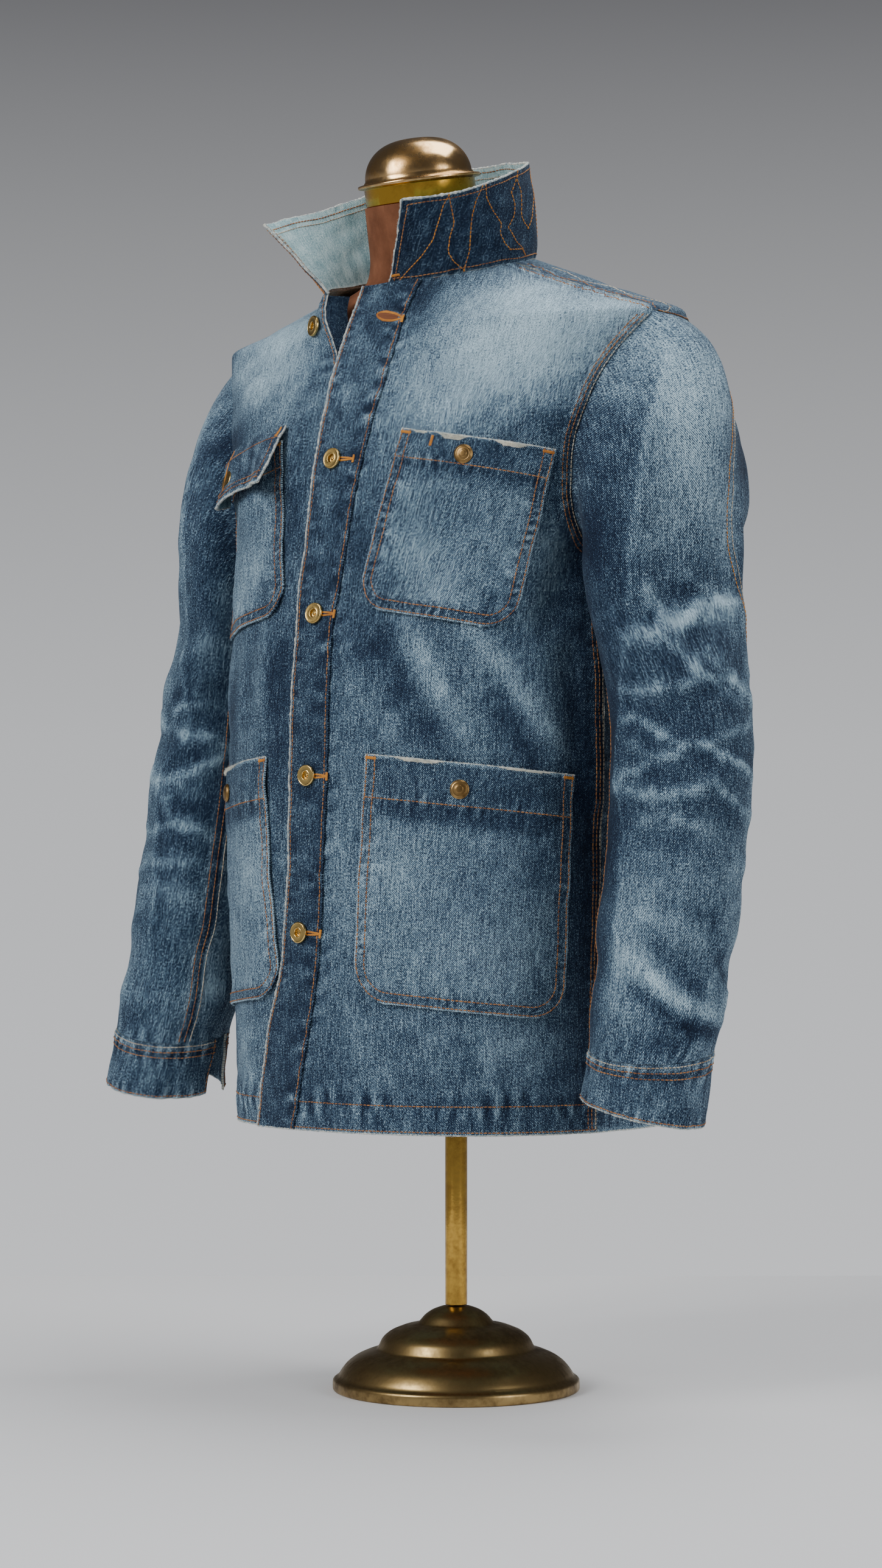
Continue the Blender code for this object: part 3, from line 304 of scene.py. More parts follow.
def stripe(away, middle, half):
    """A soft stripe: 1 in its middle, dying away evenly to both sides."""
    return np.exp(-(((away - middle) / half) ** 2))


def unit(vectors):
    """The same directions, one unit long."""
    return vectors / np.maximum(np.linalg.norm(vectors, axis=-1, keepdims=True), 1e-12)


# %% [markdown]
# ## The body's surface
#
# The plain body is tabulated once, at every millimetre of height and at even shares of the way from the
# middle of the front to the middle of the back. A point of the cloth is then looked up by its distance
# round and its height, and pushed out along the surface's own direction by every fold.

# %% The plain body
MAP_HEIGHTS = np.linspace(HEM_HEIGHT, NECK_HEIGHT, 713)
MAP_SHARES = np.linspace(0, 1, 361)
OUTLINE_STEPS = 721


def tabulate_body():
    """(distance round to the back, points across, points fore and aft, rise) for every height."""
    size = {name: read(BODY_ROWS, BODY_COLUMNS, name, MAP_HEIGHTS)[:, None] for name in BODY_COLUMNS[1:]}
    angle = np.linspace(0, math.pi, OUTLINE_STEPS)[None, :]
    square = np.where(angle <= math.pi / 2, size["front_square"], size["back_square"])
    middle = (size["front"] + size["back"]) / 2
    reach = (size["back"] - size["front"]) / 2
    across = size["half_width"] * np.abs(np.sin(angle)) ** (2 / square)
    fore_aft = middle - reach * np.sign(np.cos(angle)) * np.abs(np.cos(angle)) ** (2 / square)
    steps = np.hypot(np.diff(across, axis=1), np.diff(fore_aft, axis=1))
    along = np.concatenate([np.zeros((len(steps), 1)), np.cumsum(steps, axis=1)], axis=1)
    half = along[:, -1]
    xs = np.array([np.interp(MAP_SHARES * h, a, x) for h, a, x in zip(half, along, across)])
    ys = np.array([np.interp(MAP_SHARES * h, a, y) for h, a, y in zip(half, along, fore_aft)])
    return half, xs, ys, size["rise"][:, 0]


HALF_ROUND, MAP_X, MAP_Y, MAP_RISE = tabulate_body()


def look_up(table, height, share):
    """A table's value between its own points."""
    i = (height - HEM_HEIGHT) / (NECK_HEIGHT - HEM_HEIGHT) * (len(MAP_HEIGHTS) - 1)
    j = share * (len(MAP_SHARES) - 1)
    i0 = np.clip(i.astype(int), 0, len(MAP_HEIGHTS) - 2)
    j0 = np.clip(j.astype(int), 0, len(MAP_SHARES) - 2)
    i, j = i - i0, j - j0
    low = table[i0, j0] * (1 - j) + table[i0, j0 + 1] * j
    high = table[i0 + 1, j0] * (1 - j) + table[i0 + 1, j0 + 1] * j
    return low * (1 - i) + high * i


def half_round(height):
    """The distance from the middle of the front to the middle of the back."""
    return np.interp(height, MAP_HEIGHTS, HALF_ROUND)


def round_at(height, fore_aft):
    """The distance round to the place where the left half's outline is this far fore and aft."""
    row = int(round((height - HEM_HEIGHT) / (NECK_HEIGHT - HEM_HEIGHT) * (len(MAP_HEIGHTS) - 1)))
    return float(np.interp(fore_aft, MAP_Y[row], MAP_SHARES * HALF_ROUND[row]))


def bare(distance, height):
    """Points of the body without its folds; past the middle of the back the other side goes on."""
    distance, height = np.broadcast_arrays(np.asarray(distance, float), np.asarray(height, float))
    height = np.clip(height, HEM_HEIGHT, NECK_HEIGHT)
    share = np.abs(distance) / half_round(height)
    side = np.where(distance >= 0, 1.0, -1.0) * np.where(share > 1, -1, 1)
    share = np.where(share > 1, 2 - share, share)
    y = look_up(MAP_Y, height, share)
    z = height + np.interp(height, MAP_HEIGHTS, MAP_RISE) * (y - RISE_PIVOT)
    return np.stack([side * look_up(MAP_X, height, share), y, z], axis=-1)


def bare_out(distance, height):
    """The way out of the body."""
    height = np.asarray(height, float)
    across = bare(distance + NEAR, height) - bare(distance - NEAR, height)
    up = bare(distance, np.minimum(height + NEAR, NECK_HEIGHT))
    up = up - bare(distance, np.maximum(height - NEAR, HEM_HEIGHT))
    return unit(np.cross(across, up))


# %% [markdown]
# ## Creases and puckers
#
# Cloth shows three kinds of relief. Large folds are in the solids already and stay where they are.
# Creases are drawn as strokes from one place to another with a width and a depth. Puckers run
# along every seam, because the thread shrinks less than the cloth. A crease or pucker that stands out is
# rubbed pale, and one that lies deep stays dark; in the deep creases that dark is partly painted shade,
# so each stroke also says how it changes the wear and the painted shade.

# %% Strokes, spots and ripples
# The worn parts of a crease, each with its width as a share of the crease's and its amount.
CORE_WIDTH, CORE_WEAR = 0.85, 0.76
SOFT_WIDTH, SOFT_WEAR = 1.7, 0.42
RIM_WIDTH, RIM_DARK = 3.4, 0.30
RELIEF_GAIN = 1.3
PUCKER_WAVES = 7


def fold_height(distance, height):
    """How far the large folds of the body stand out."""
    total = np.zeros(np.broadcast(distance, height).shape)
    for u0, v0, u1, v1, half_width, depth in BODY_FOLDS:
        away, _ = nearest_on(np.abs(distance), height, ((u0, v0), (u1, v1)))
        total += depth * stripe(away, 0, half_width)
    return total


def nearest_on(u, v, path):
    """(distance to a bent line, how far along it the nearest place lies, from 0 to 1)."""
    lengths = [math.dist(a, b) for a, b in zip(path, path[1:])]
    best, along, gone = np.full(np.broadcast(u, v).shape, np.inf), 0.0, 0.0
    for (u0, v0), (u1, v1), length in zip(path, path[1:], lengths):
        share = np.clip(((u - u0) * (u1 - u0) + (v - v0) * (v1 - v0)) / length**2, 0, 1)
        away = np.hypot(u - u0 - share * (u1 - u0), v - v0 - share * (v1 - v0))
        along = np.where(away < best, (gone + share * length) / sum(lengths), along)
        best = np.minimum(best, away)
        gone += length
    return best, along


def creases(rows, u, v, seed):
    """(relief, wear) of bent creases, the dark of deep ones partly painted shade: a row is half width, depth,
    wear, then the line's places.
    """
    relief, wear_and_painted_shade = np.zeros(u.shape), np.zeros(u.shape)
    wide = 1.0 + 0.25 * ripple(u, v, 0.011, seed)
    patchy = np.clip(1.0 + 0.16 * ripple(u, v, 0.022, seed + 300), 0.6, 1.3)
    for half_width, depth, worn_and_shaded, *path in rows:
        away, along = nearest_on(u, v, path)
        strength = 0.40 + 0.60 * smooth_step(0, 0.25, along) * (1 - smooth_step(0.75, 1, along))
        core = stripe(away, 0, CORE_WIDTH * half_width * wide)
        soft = stripe(away, 0, SOFT_WIDTH * half_width)
        relief += RELIEF_GAIN * depth * stripe(away, 0, half_width * wide) * strength
        # Negative amounts darken deep creases: partly unworn cloth, partly painted shade.
        wear_and_painted_shade += worn_and_shaded * (CORE_WEAR * core + SOFT_WEAR * soft) * strength * patchy
        wear_and_painted_shade -= RIM_DARK * worn_and_shaded * stripe(away, 0, RIM_WIDTH * half_width) * strength
    return relief, wear_and_painted_shade


def spots(rows, u, v):
    """Soft patches of wear and of painted shade: a row is a middle, two half sizes and an amount."""
    wear_and_painted_shade = np.zeros(u.shape)
    for middle_u, middle_v, half_u, half_v, amount in rows:
        wear_and_painted_shade += amount * np.exp(-(((u - middle_u) / half_u) ** 2) - ((v - middle_v) / half_v) ** 2)
    return wear_and_painted_shade


def ripple(u, v, length, seed, count=16):
    """A soft uneven surface of about unit size: waves of nearly one length, running every way."""
    draw = np.random.default_rng(seed)
    angle = draw.uniform(0, math.tau, count)
    lengths = length * draw.uniform(0.7, 1.6, count)
    phase = draw.uniform(0, math.tau, count)
    total = sum(
        np.sin(math.tau * (u * math.cos(a) + v * math.sin(a)) / wave + p)
        for a, wave, p in zip(angle, lengths, phase)
    )
    return total / math.sqrt(count / 2)


def pucker(along, across, reach, length, seed):
    """Short uneven ridges that cross a seam and die away from it."""
    draw = np.random.default_rng(seed)
    waves = 0.0
    for _ in range(PUCKER_WAVES):
        wave = length * draw.uniform(0.6, 1.7)
        lean = draw.uniform(-0.5, 0.7)
        phase = draw.uniform(0, math.tau)
        waves = waves + np.sin(math.tau * (along + lean * across) / wave + phase)
    waves = waves / 1.9 * (0.75 + 0.35 * ripple(along, across, 0.045, seed + 500))
    return np.clip(waves, -1.6, 1.6) * stripe(across, 0, reach)


# %% [markdown]
# The creases below were drawn one by one. The left front has long soft ones that hang from the chest
# pocket, the lower corners pull towards the side seams, and the right front gets ones of its own.

# %% Creases, worn places and painted shade of the fronts: distance round and height
BODY_CREASES = (
    (0.013, -0.0012, -0.26, (0.060, 0.640), (0.085, 0.590), (0.122, 0.525)),
    (0.012, 0.0014, 0.24, (0.085, 0.640), (0.105, 0.600), (0.140, 0.550)),
    (0.013, 0.0014, 0.28, (0.135, 0.640), (0.180, 0.580), (0.225, 0.530)),
    (0.013, -0.0015, -0.26, (0.160, 0.590), (0.190, 0.530), (0.205, 0.500)),
    (0.012, -0.0010, -0.18, (0.085, 0.495), (0.120, 0.460), (0.150, 0.425)),
    (0.012, -0.0010, -0.22, (0.150, 0.495), (0.185, 0.460), (0.205, 0.430)),
    (0.009, 0.0010, 0.08, (0.030, 0.630), (0.045, 0.560)),
    (0.012, -0.0012, -0.14, (0.215, 0.640), (0.232, 0.560), (0.236, 0.470)),
    (0.010, 0.0010, 0.08, (0.100, 0.812), (0.145, 0.830), (0.190, 0.815)),
    (0.008, 0.0008, 0.06, (0.040, 0.330), (0.048, 0.270)),
    (0.008, 0.0008, 0.08, (0.150, 0.320), (0.160, 0.262)),
    (0.010, 0.0012, 0.08, (-0.062, 0.640), (-0.066, 0.560)),
    (0.010, -0.0010, -0.10, (-0.085, 0.650), (-0.095, 0.560)),
    (0.010, 0.0010, 0.10, (-0.100, 0.905), (-0.103, 0.883), (-0.127, 0.858), (-0.150, 0.840)),
    (0.012, -0.0012, -0.10, (-0.200, 0.640), (-0.215, 0.540)),
    (0.012, 0.0010, 0.08, (-0.130, 0.640), (-0.160, 0.560)),
)
BODY_SPOTS = (
    (0.218, 0.285, 0.026, 0.034, -0.14),
    (-0.030, 0.600, 0.020, 0.080, -0.08),
    (0.127, 0.868, 0.060, 0.036, 0.46),
    (0.130, 0.915, 0.050, 0.020, 0.32),
    (0.170, 0.895, 0.030, 0.020, 0.20),
    (0.183, 0.850, 0.048, 0.036, 0.30),
    (0.096, 0.814, 0.050, 0.032, 0.27),
    (0.050, 0.845, 0.016, 0.022, 0.12),
    (0.235, 0.890, 0.040, 0.026, 0.44),
    (0.046, 0.920, 0.016, 0.022, -0.30),
    (0.192, 0.795, 0.016, 0.010, -0.22),
    # Darker under the arm by the side seam: dark denim, and painted shade from the sleeve.
    (0.240, 0.690, 0.030, 0.060, -0.22),
    (0.200, 0.690, 0.014, 0.024, 0.16),
    (0.222, 0.605, 0.014, 0.022, 0.16),
    (0.036, 0.700, 0.014, 0.032, -0.24),
    (0.040, 0.620, 0.026, 0.026, -0.20),
    (0.032, 0.430, 0.020, 0.055, 0.15),
    (0.090, 0.440, 0.020, 0.020, 0.08),
    (0.185, 0.300, 0.034, 0.022, 0.20),
    (0.110, 0.312, 0.030, 0.012, 0.08),
    (0.010, 0.280, 0.030, 0.026, -0.12),
    # Darker down the side seam beside the hanging sleeve: dark denim, and painted shade from the sleeve.
    (0.250, 0.440, 0.035, 0.170, -0.30),
    (0.105, 0.595, 0.055, 0.045, 0.06),
    (0.050, 0.295, 0.030, 0.050, 0.06),
    (-0.085, 0.862, 0.032, 0.042, 0.24),
    (-0.129, 0.893, 0.050, 0.040, 0.36),
    (-0.070, 0.905, 0.040, 0.022, 0.18),
    (-0.170, 0.866, 0.024, 0.014, 0.18),
    (-0.130, 0.846, 0.022, 0.014, 0.24),
    (-0.170, 0.805, 0.034, 0.014, -0.30),
    (-0.045, 0.740, 0.014, 0.055, -0.20),
    (-0.048, 0.600, 0.016, 0.040, -0.26),
    (-0.042, 0.530, 0.016, 0.040, -0.20),
    (-0.132, 0.570, 0.022, 0.034, -0.24),
    (-0.105, 0.280, 0.022, 0.055, 0.18),
    # The right side seam, as the left: dark denim, and painted shade from the sleeve.
    (-0.235, 0.690, 0.050, 0.070, -0.22),
    (-0.250, 0.440, 0.040, 0.160, -0.22),
)


def body_relief(distance, height):
    """(relief, wear and painted shade) of the fronts' cloth away from their seams."""
    relief, wear_and_painted_shade = creases(BODY_CREASES, distance, height, 10)
    relief += 0.0004 * ripple(distance, height, 0.050, 11) + 0.00012 * ripple(distance, height, 0.016, 12)
    wear_and_painted_shade += spots(BODY_SPOTS, distance, height) + 0.030 * ripple(distance, height, 0.03, 13)
    return relief, wear_and_painted_shade


def body_surface(distance, height, lift=0.0):
    """Points of the left front's outer face, moved out by lift."""
    out = lift + fold_height(distance, height) + body_relief(distance, height)[0]
    return bare(distance, height) + out[..., None] * bare_out(distance, height)


def right_surface(distance, height, lift=0.0):
    """As body_surface, for the right front, which lies under the left one and opens at the neck."""
    left_edge = read(FRONT_EDGE_ROWS, FRONT_EDGE_COLUMNS, "left_edge", height)
    ramp_start, ramp_end = UNDERLAP_RAMP
    past = (distance - left_edge + ramp_start) / (ramp_start - ramp_end)
    under = UNDERLAP_DEPTH * smooth_step(0, 1, past)
    right_edge = read(FRONT_EDGE_ROWS, FRONT_EDGE_COLUMNS, "right_edge", height)
    free = smooth_step(OPEN_FROM, NECK_HEIGHT, height) * stripe(distance, right_edge, OPEN_REACH)
    return body_surface(distance, height, lift - under) + free[..., None] * np.array(OPEN_CORNER)


def front_surface(side):
    """The surface of the wearer's left (1) or right (-1) front."""
    return body_surface if side > 0 else right_surface


def edge_at(side, height):
    """Distance round to a front's free edge."""
    return read(FRONT_EDGE_ROWS, FRONT_EDGE_COLUMNS, "left_edge" if side > 0 else "right_edge", height)


# %% [markdown]
# ## From a grid of points to a wall of cloth
#
# Every piece of cloth is a grid: rows of points up or down it, columns across it. The wall is that grid,
# the same grid moved in by the cloth's thickness, and a rim that joins them. The outside, the inside and
# the rim have materials of their own, because denim is blue outside, pale inside and cream where it is
# cut. The grid carries its flat pattern as a UV map in metres, and its wear as an attribute; the same
# attribute also carries painted shade.

# %% Walls of cloth
OUTSIDE, INSIDE, RIM = 0, 1, 2
pieces, grids = {}, {}


def sided(kind, side):
    """The name of the wearer's left (1) or right (-1) piece of a pair."""
    return f"{kind}_{'left' if side > 0 else 'right'}"


def even_grid(rows, columns, last_column=1):
    """Two grids of even steps: from 0 to 1 over the rows, and from 0 to the last over the columns."""
    return np.meshgrid(np.linspace(0, 1, rows), np.linspace(0, last_column, columns), indexing="ij")


def grid_out(grid, closed=False):
    """The way out of a grid, when its columns and rows turn the right way."""
    if closed:
        along = np.roll(grid, -1, axis=1) - np.roll(grid, 1, axis=1)
    else:
        along = np.gradient(grid, axis=1)
    return unit(np.cross(along, np.gradient(grid, axis=0)))


def quads(rows, columns, closed):
    """Corner numbers of every face of a wall, as (layer, row, column), and each face's material."""
    last = columns if closed else columns - 1
    i, j = (a.ravel() for a in np.meshgrid(np.arange(rows - 1), np.arange(last), indexing="ij"))
    one, nil = np.ones_like(i), np.zeros_like(i)
    faces = [
        np.stack([[nil, i, j], [nil, i, j + 1], [nil, i + 1, j + 1], [nil, i + 1, j]]),
        np.stack([[one, i, j], [one, i + 1, j], [one, i + 1, j + 1], [one, i, j + 1]]),
    ]
    finish = [np.full(len(i), OUTSIDE), np.full(len(i), INSIDE)]
    j = np.arange(last)
    nil, one, top = np.zeros_like(j), np.ones_like(j), np.full_like(j, rows - 1)
    faces.append(np.stack([[one, nil, j], [one, nil, j + 1], [nil, nil, j + 1], [nil, nil, j]]))
    faces.append(np.stack([[nil, top, j], [nil, top, j + 1], [one, top, j + 1], [one, top, j]]))
    finish += [np.full(last, RIM)] * 2
    if not closed:
        i = np.arange(rows - 1)
        nil, one, end = np.zeros_like(i), np.ones_like(i), np.full_like(i, columns - 1)
        faces.append(np.stack([[one, i, nil], [nil, i, nil], [nil, i + 1, nil], [one, i + 1, nil]]))
        faces.append(np.stack([[nil, i, end], [one, i, end], [one, i + 1, end], [nil, i + 1, end]]))
        finish += [np.full(rows - 1, RIM)] * 2
    corners = np.concatenate([face.transpose(2, 0, 1) for face in faces])
    return corners, np.concatenate(finish)


def cloth(name, outer, thick, pattern, wear_and_painted_shade, finishes, closed=False):
    """A wall of cloth; pattern holds each point's place on the flat cut, one column more if closed."""
    rows, columns = outer.shape[:2]
    inner = outer - np.asarray(thick)[..., None] * grid_out(outer, closed)
    points = np.concatenate([outer.reshape(-1, 3), inner.reshape(-1, 3)])
    corners, finish = quads(rows, columns, closed)
    layer, i, j = corners[..., 0], corners[..., 1], corners[..., 2]
    index = layer * rows * columns + i * columns + j % columns
    mesh = bpy.data.meshes.new(name + "_cloth")
    mesh.vertices.add(len(points))
    mesh.vertices.foreach_set("co", points.astype(np.float32).ravel())
    mesh.loops.add(index.size)
    mesh.loops.foreach_set("vertex_index", index.ravel())
    mesh.polygons.add(len(index))
    mesh.polygons.foreach_set("loop_start", np.arange(len(index)) * 4)
    mesh.polygons.foreach_set("material_index", finish)
    mesh.update(calc_edges=True)
    mesh.uv_layers.new(name="pattern").data.foreach_set("uv", pattern[i, j].astype(np.float32).ravel())
    # The attribute holds the piece's wear and its painted shade together.
    worn_and_shaded = mesh.attributes.new("wear_and_painted_shade", "FLOAT", "POINT")
    worn_and_shaded.data.foreach_set("value", np.tile(wear_and_painted_shade.ravel(), 2).astype(np.float32))
    mesh.shade_smooth()
    mesh.set_sharp_from_angle(angle=math.radians(50))
    for material in finishes:
        mesh.materials.append(material)
    mesh.validate()
    pieces[name], grids[name] = placed(name + "_cloth", mesh), (outer, inner)
    print(f"{name}: {rows} x {columns} points")


# %% [markdown]
# ## Materials
#
# Denim is woven from blue warp and white weft, and what shows is a fine slanting line, long uneven
# streaks where the yarn is thick, and pale cloth where the blue has worn off. One node group draws that
# weave from the flat pattern and gives out a shade between 0 and 1 and a height. Each denim has its own
# colours for that shade.

# %% Small helpers for node trees


def add(tree, kind, inputs=None, **settings):
    """A node with its settings and its unlinked values."""
    node = tree.nodes.new(kind)
    for key, value in settings.items():
        setattr(node, key, value)
    for key, value in (inputs or {}).items():
        if isinstance(value, bpy.types.NodeSocket):
            tree.links.new(value, node.inputs[key])
        else:
            node.inputs[key].default_value = value
    return node


def output(tree, kind, inputs=None, **settings):
    """The first output of a new node."""
    return add(tree, kind, inputs, **settings).outputs[0]


def mix_value(tree, operation, a, b, clamp=False):
    """The result of one sum."""
    return output(tree, "ShaderNodeMath", {0: a, 1: b}, operation=operation, use_clamp=clamp)


def ramp(tree, value, stops):
    """Colours read from a scale of stops."""
    node = add(tree, "ShaderNodeValToRGB", {"Fac": value})
    scale = node.color_ramp
    while len(scale.elements) < len(stops):
        scale.elements.new(0.5)
    for element, (place, colour) in zip(scale.elements, stops):
        element.position = place
        element.color = (*colour, 1)
    return node.outputs["Color"]


def new_group(name, inputs, outputs):
    """An empty shader group with named sockets: (name, kind, value) in, (name, kind) out."""
    group = bpy.data.node_groups.new(name, "ShaderNodeTree")
    for socket, kind, value in inputs:
        made = group.interface.new_socket(socket, in_out="INPUT", socket_type=kind)
        made.default_value = value
    for socket, kind in outputs:
        group.interface.new_socket(socket, in_out="OUTPUT", socket_type=kind)
    return group, group.nodes.new("NodeGroupInput"), group.nodes.new("NodeGroupOutput")


def noise(tree, place, scale, detail=2.0, roughness=0.5):
    """Noise at a place, as a value of about 0 to 1."""
    inputs = {"Vector": place, "Scale": scale, "Detail": detail, "Roughness": roughness}
    return add(tree, "ShaderNodeTexNoise", inputs).outputs["Fac"]


def give_relief(tree, shader, height, strength, distance):
    """Gives a shader the fine relief of a height."""
    bump = output(tree, "ShaderNodeBump", {"Height": height, "Strength": strength, "Distance": distance})
    tree.links.new(bump, shader.inputs["Normal"])


def stretched(tree, place, scale):
    """The place with each of its three numbers multiplied."""
    return output(tree, "ShaderNodeVectorMath", {0: place, 1: scale}, operation="MULTIPLY")


# %% The weave of denim
FLOAT = "NodeSocketFloat"
TWILL_PITCH = 0.00135
TWILL_LEAN = 0.72
TWILL_WOBBLE = 5.0
TWILL_SHADE = 0.25
TWILL_HEIGHT = 0.5
WEAVE_NOISES = (
    # across, along and detail of a noise on the flat pattern, then how far it moves the shade
    (1150, 620, 2.0, 1.62),
    (480, 330, 1.0, 0.24),
    (900, 85, 1.5, 0.74),
    (420, 26, 1.5, 0.30),
    (95, 60, 3.0, 0.11),
)


def make_weave():
    """Shade and height of the weave, from the flat pattern in metres."""
    group, given, result = new_group(
        "denim_weave",
        [("Place", "NodeSocketVector", (0, 0, 0)), ("Wear_and_painted_shade", FLOAT, 0.4), ("Contrast", FLOAT, 1.0)],
        [("Shade", FLOAT), ("Height", FLOAT)],
    )
    place = given.outputs["Place"]
    wobble = noise(group, stretched(group, place, (240, 160, 1)), 1.0)
    parts = add(group, "ShaderNodeSeparateXYZ", {"Vector": place}).outputs
    across = mix_value(group, "MULTIPLY", parts[0], math.tau / TWILL_PITCH)
    down = mix_value(group, "MULTIPLY", parts[1], -math.tau / TWILL_PITCH * TWILL_LEAN)
    lean = mix_value(group, "ADD", across, down)
    lean = mix_value(group, "ADD", lean, mix_value(group, "MULTIPLY", wobble, TWILL_WOBBLE))
    twill = mix_value(group, "SINE", lean, 0)
    texture = mix_value(group, "MULTIPLY", twill, TWILL_SHADE)
    grain = None
    for along_u, along_v, detail, amount in WEAVE_NOISES:
        value = noise(group, stretched(group, place, (along_u, along_v, 1)), 1.0, detail, 0.6)
        grain = grain or value
        centred = mix_value(group, "MULTIPLY", mix_value(group, "SUBTRACT", value, 0.5), amount)
        texture = mix_value(group, "ADD", texture, centred)
    texture = mix_value(group, "MULTIPLY", texture, given.outputs["Contrast"])
    shade = mix_value(group, "ADD", given.outputs["Wear_and_painted_shade"], texture, clamp=True)
    height = mix_value(group, "ADD", mix_value(group, "MULTIPLY", twill, TWILL_HEIGHT), grain)
    group.links.new(shade, result.inputs["Shade"])
    group.links.new(height, result.inputs["Height"])
    return group


WEAVE = make_weave()

# %% Denim outside, inside and at its cut edge
BLUE_SCALE = (
    (0.00, (0.003, 0.009, 0.026)),
    (0.22, (0.010, 0.027, 0.064)),
    (0.42, (0.030, 0.064, 0.120)),
    (0.60, (0.100, 0.168, 0.238)),
    (0.78, (0.235, 0.368, 0.470)),
    (1.00, (0.560, 0.745, 0.840)),
)
AQUA_SCALE = (
    (0.00, (0.040, 0.085, 0.120)),
    (0.35, (0.155, 0.300, 0.352)),
    (0.65, (0.365, 0.570, 0.615)),
    (1.00, (0.720, 0.860, 0.840)),
)
CREAM_SCALE = (
    (0.00, (0.120, 0.150, 0.180)),
    (0.50, (0.420, 0.430, 0.380)),
    (1.00, (0.740, 0.710, 0.600)),
)


def denim(name, scale, wear_and_painted_shade_shift=0.0, contrast=1.0):
    """A denim whose shade follows the piece's wear and painted shade."""
    made = bpy.data.materials.new(name)
    made.use_nodes = True
    tree = made.node_tree
    shader = tree.nodes["Principled BSDF"]
    place = add(tree, "ShaderNodeUVMap", uv_map="pattern").outputs["UV"]
    worn_and_shaded = add(tree, "ShaderNodeAttribute", attribute_name="wear_and_painted_shade").outputs["Fac"]
    worn_and_shaded = mix_value(tree, "ADD", worn_and_shaded, wear_and_painted_shade_shift)
    weave = add(tree, "ShaderNodeGroup", node_tree=WEAVE)
    tree.links.new(place, weave.inputs["Place"])
    tree.links.new(worn_and_shaded, weave.inputs["Wear_and_painted_shade"])
    weave.inputs["Contrast"].default_value = contrast
    tree.links.new(ramp(tree, weave.outputs["Shade"], scale), shader.inputs["Base Color"])
    give_relief(tree, shader, weave.outputs["Height"], 0.5, 0.0004)
    shader.inputs["Roughness"].default_value = 0.88
    shader.inputs["Specular IOR Level"].default_value = 0.25
    shader.inputs["Sheen Weight"].default_value = 0.03
    return made


DENIM = denim("denim", BLUE_SCALE, -0.045, 1.25)
DENIM_INSIDE = denim("denim_inside", AQUA_SCALE, 0.10)
DENIM_CUT = denim("denim_cut_edge", CREAM_SCALE, 0.10, 0.8)
COLLAR_INSIDE = denim("collar_worn_face", AQUA_SCALE, 0.46, 0.85)
DENIM_SET = (DENIM, DENIM_INSIDE, DENIM_CUT)
FOLDED_SET = (DENIM, DENIM_INSIDE, DENIM)

# %% Thread, jersey and brass


def plain(name, colour, roughness, metallic=0.0):
    """A finish with one colour, to build on."""
    made = bpy.data.materials.new(name)
    made.use_nodes = True
    shader = made.node_tree.nodes["Principled BSDF"]
    shader.inputs["Base Color"].default_value = (*colour, 1)
    shader.inputs["Roughness"].default_value = roughness
    shader.inputs["Metallic"].default_value = metallic
    return made, made.node_tree, shader


def thread(name, light, dark, patch=55.0):
    """Twisted thread, worn unevenly along its rows."""
    made, tree, shader = plain(name, light, 0.75)
    place = add(tree, "ShaderNodeTexCoord").outputs["Object"]
    patches = noise(tree, place, patch, 3.0, 0.7)
    tree.links.new(ramp(tree, patches, ((0.35, dark), (0.62, light))), shader.inputs["Base Color"])
    fibres = noise(tree, place, 2600.0)
    give_relief(tree, shader, fibres, 0.3, 0.0002)
    return made


RUST = thread("thread_rust", (0.46, 0.205, 0.070), (0.20, 0.075, 0.032))
ORANGE = thread("thread_orange", (0.66, 0.265, 0.030), (0.40, 0.140, 0.020))
CREAM = thread("thread_cream", (0.62, 0.56, 0.44), (0.30, 0.20, 0.12))
FRAY = thread("frayed_cotton", (0.84, 0.80, 0.68), (0.50, 0.52, 0.46))
WORN_CORD = thread("worn_cord", (0.70, 0.69, 0.60), (0.16, 0.24, 0.30), 420.0)
STAIN_BLUR = 0.1
DULL_ROUGHER = 0.18


def make_brass(name, bright, dull, roughness, stain):
    """Brass with stains in patches of noise, a little rougher where it is dull."""
    made, tree, shader = plain(name, bright, roughness, 1.0)
    place = add(tree, "ShaderNodeTexCoord").outputs["Object"]
    broad = noise(tree, place, 26.0, 4.0, 0.65)
    fine = noise(tree, place, 170.0, 3.0, 0.7)
    broad_share = mix_value(tree, "MULTIPLY", broad, 0.7)
    both = mix_value(tree, "ADD", broad_share, mix_value(tree, "MULTIPLY", fine, 0.3))
    low, high = stain - STAIN_BLUR, stain + STAIN_BLUR
    tree.links.new(ramp(tree, both, ((low, dull), (high, bright))), shader.inputs["Base Color"])
    rough = ramp(tree, both, ((low, (roughness + DULL_ROUGHER,) * 3), (high, (roughness,) * 3)))
    tree.links.new(rough, shader.inputs["Roughness"])
    give_relief(tree, shader, fine, 0.12, 0.0004)
    return made


CAP_BRASS = make_brass("cap_brass", (0.92, 0.60, 0.28), (0.46, 0.25, 0.08), 0.17, 0.45)
POLE_BRASS = make_brass("pole_brass", (0.50, 0.30, 0.06), (0.22, 0.11, 0.025), 0.12, 0.46)
BASE_BRASS = make_brass("base_brass", (0.42, 0.29, 0.12), (0.17, 0.11, 0.045), 0.30, 0.48)
FITTING_BRASS = make_brass("fitting_brass", (0.50, 0.31, 0.12), (0.16, 0.09, 0.03), 0.30, 0.50)
BUTTON_BRASS = make_brass("button_brass", (0.76, 0.53, 0.19), (0.36, 0.22, 0.06), 0.24, 0.42)
# The band below the cap's lip is the same brass as the dome, painted darker and more saturated: painted shade
# for the dark surroundings that it reflects.
SHADED_BAND_BRASS = make_brass("cap_band_brass", (0.52, 0.30, 0.04), (0.30, 0.16, 0.02), 0.15, 0.42)
BROWN_SCALE = (
    (0.30, (0.132, 0.049, 0.024)),
    (0.50, (0.200, 0.077, 0.038)),
    (0.75, (0.290, 0.120, 0.062)),
)
RIB_PITCH = 0.0013
KNIT_PITCH = 0.0011


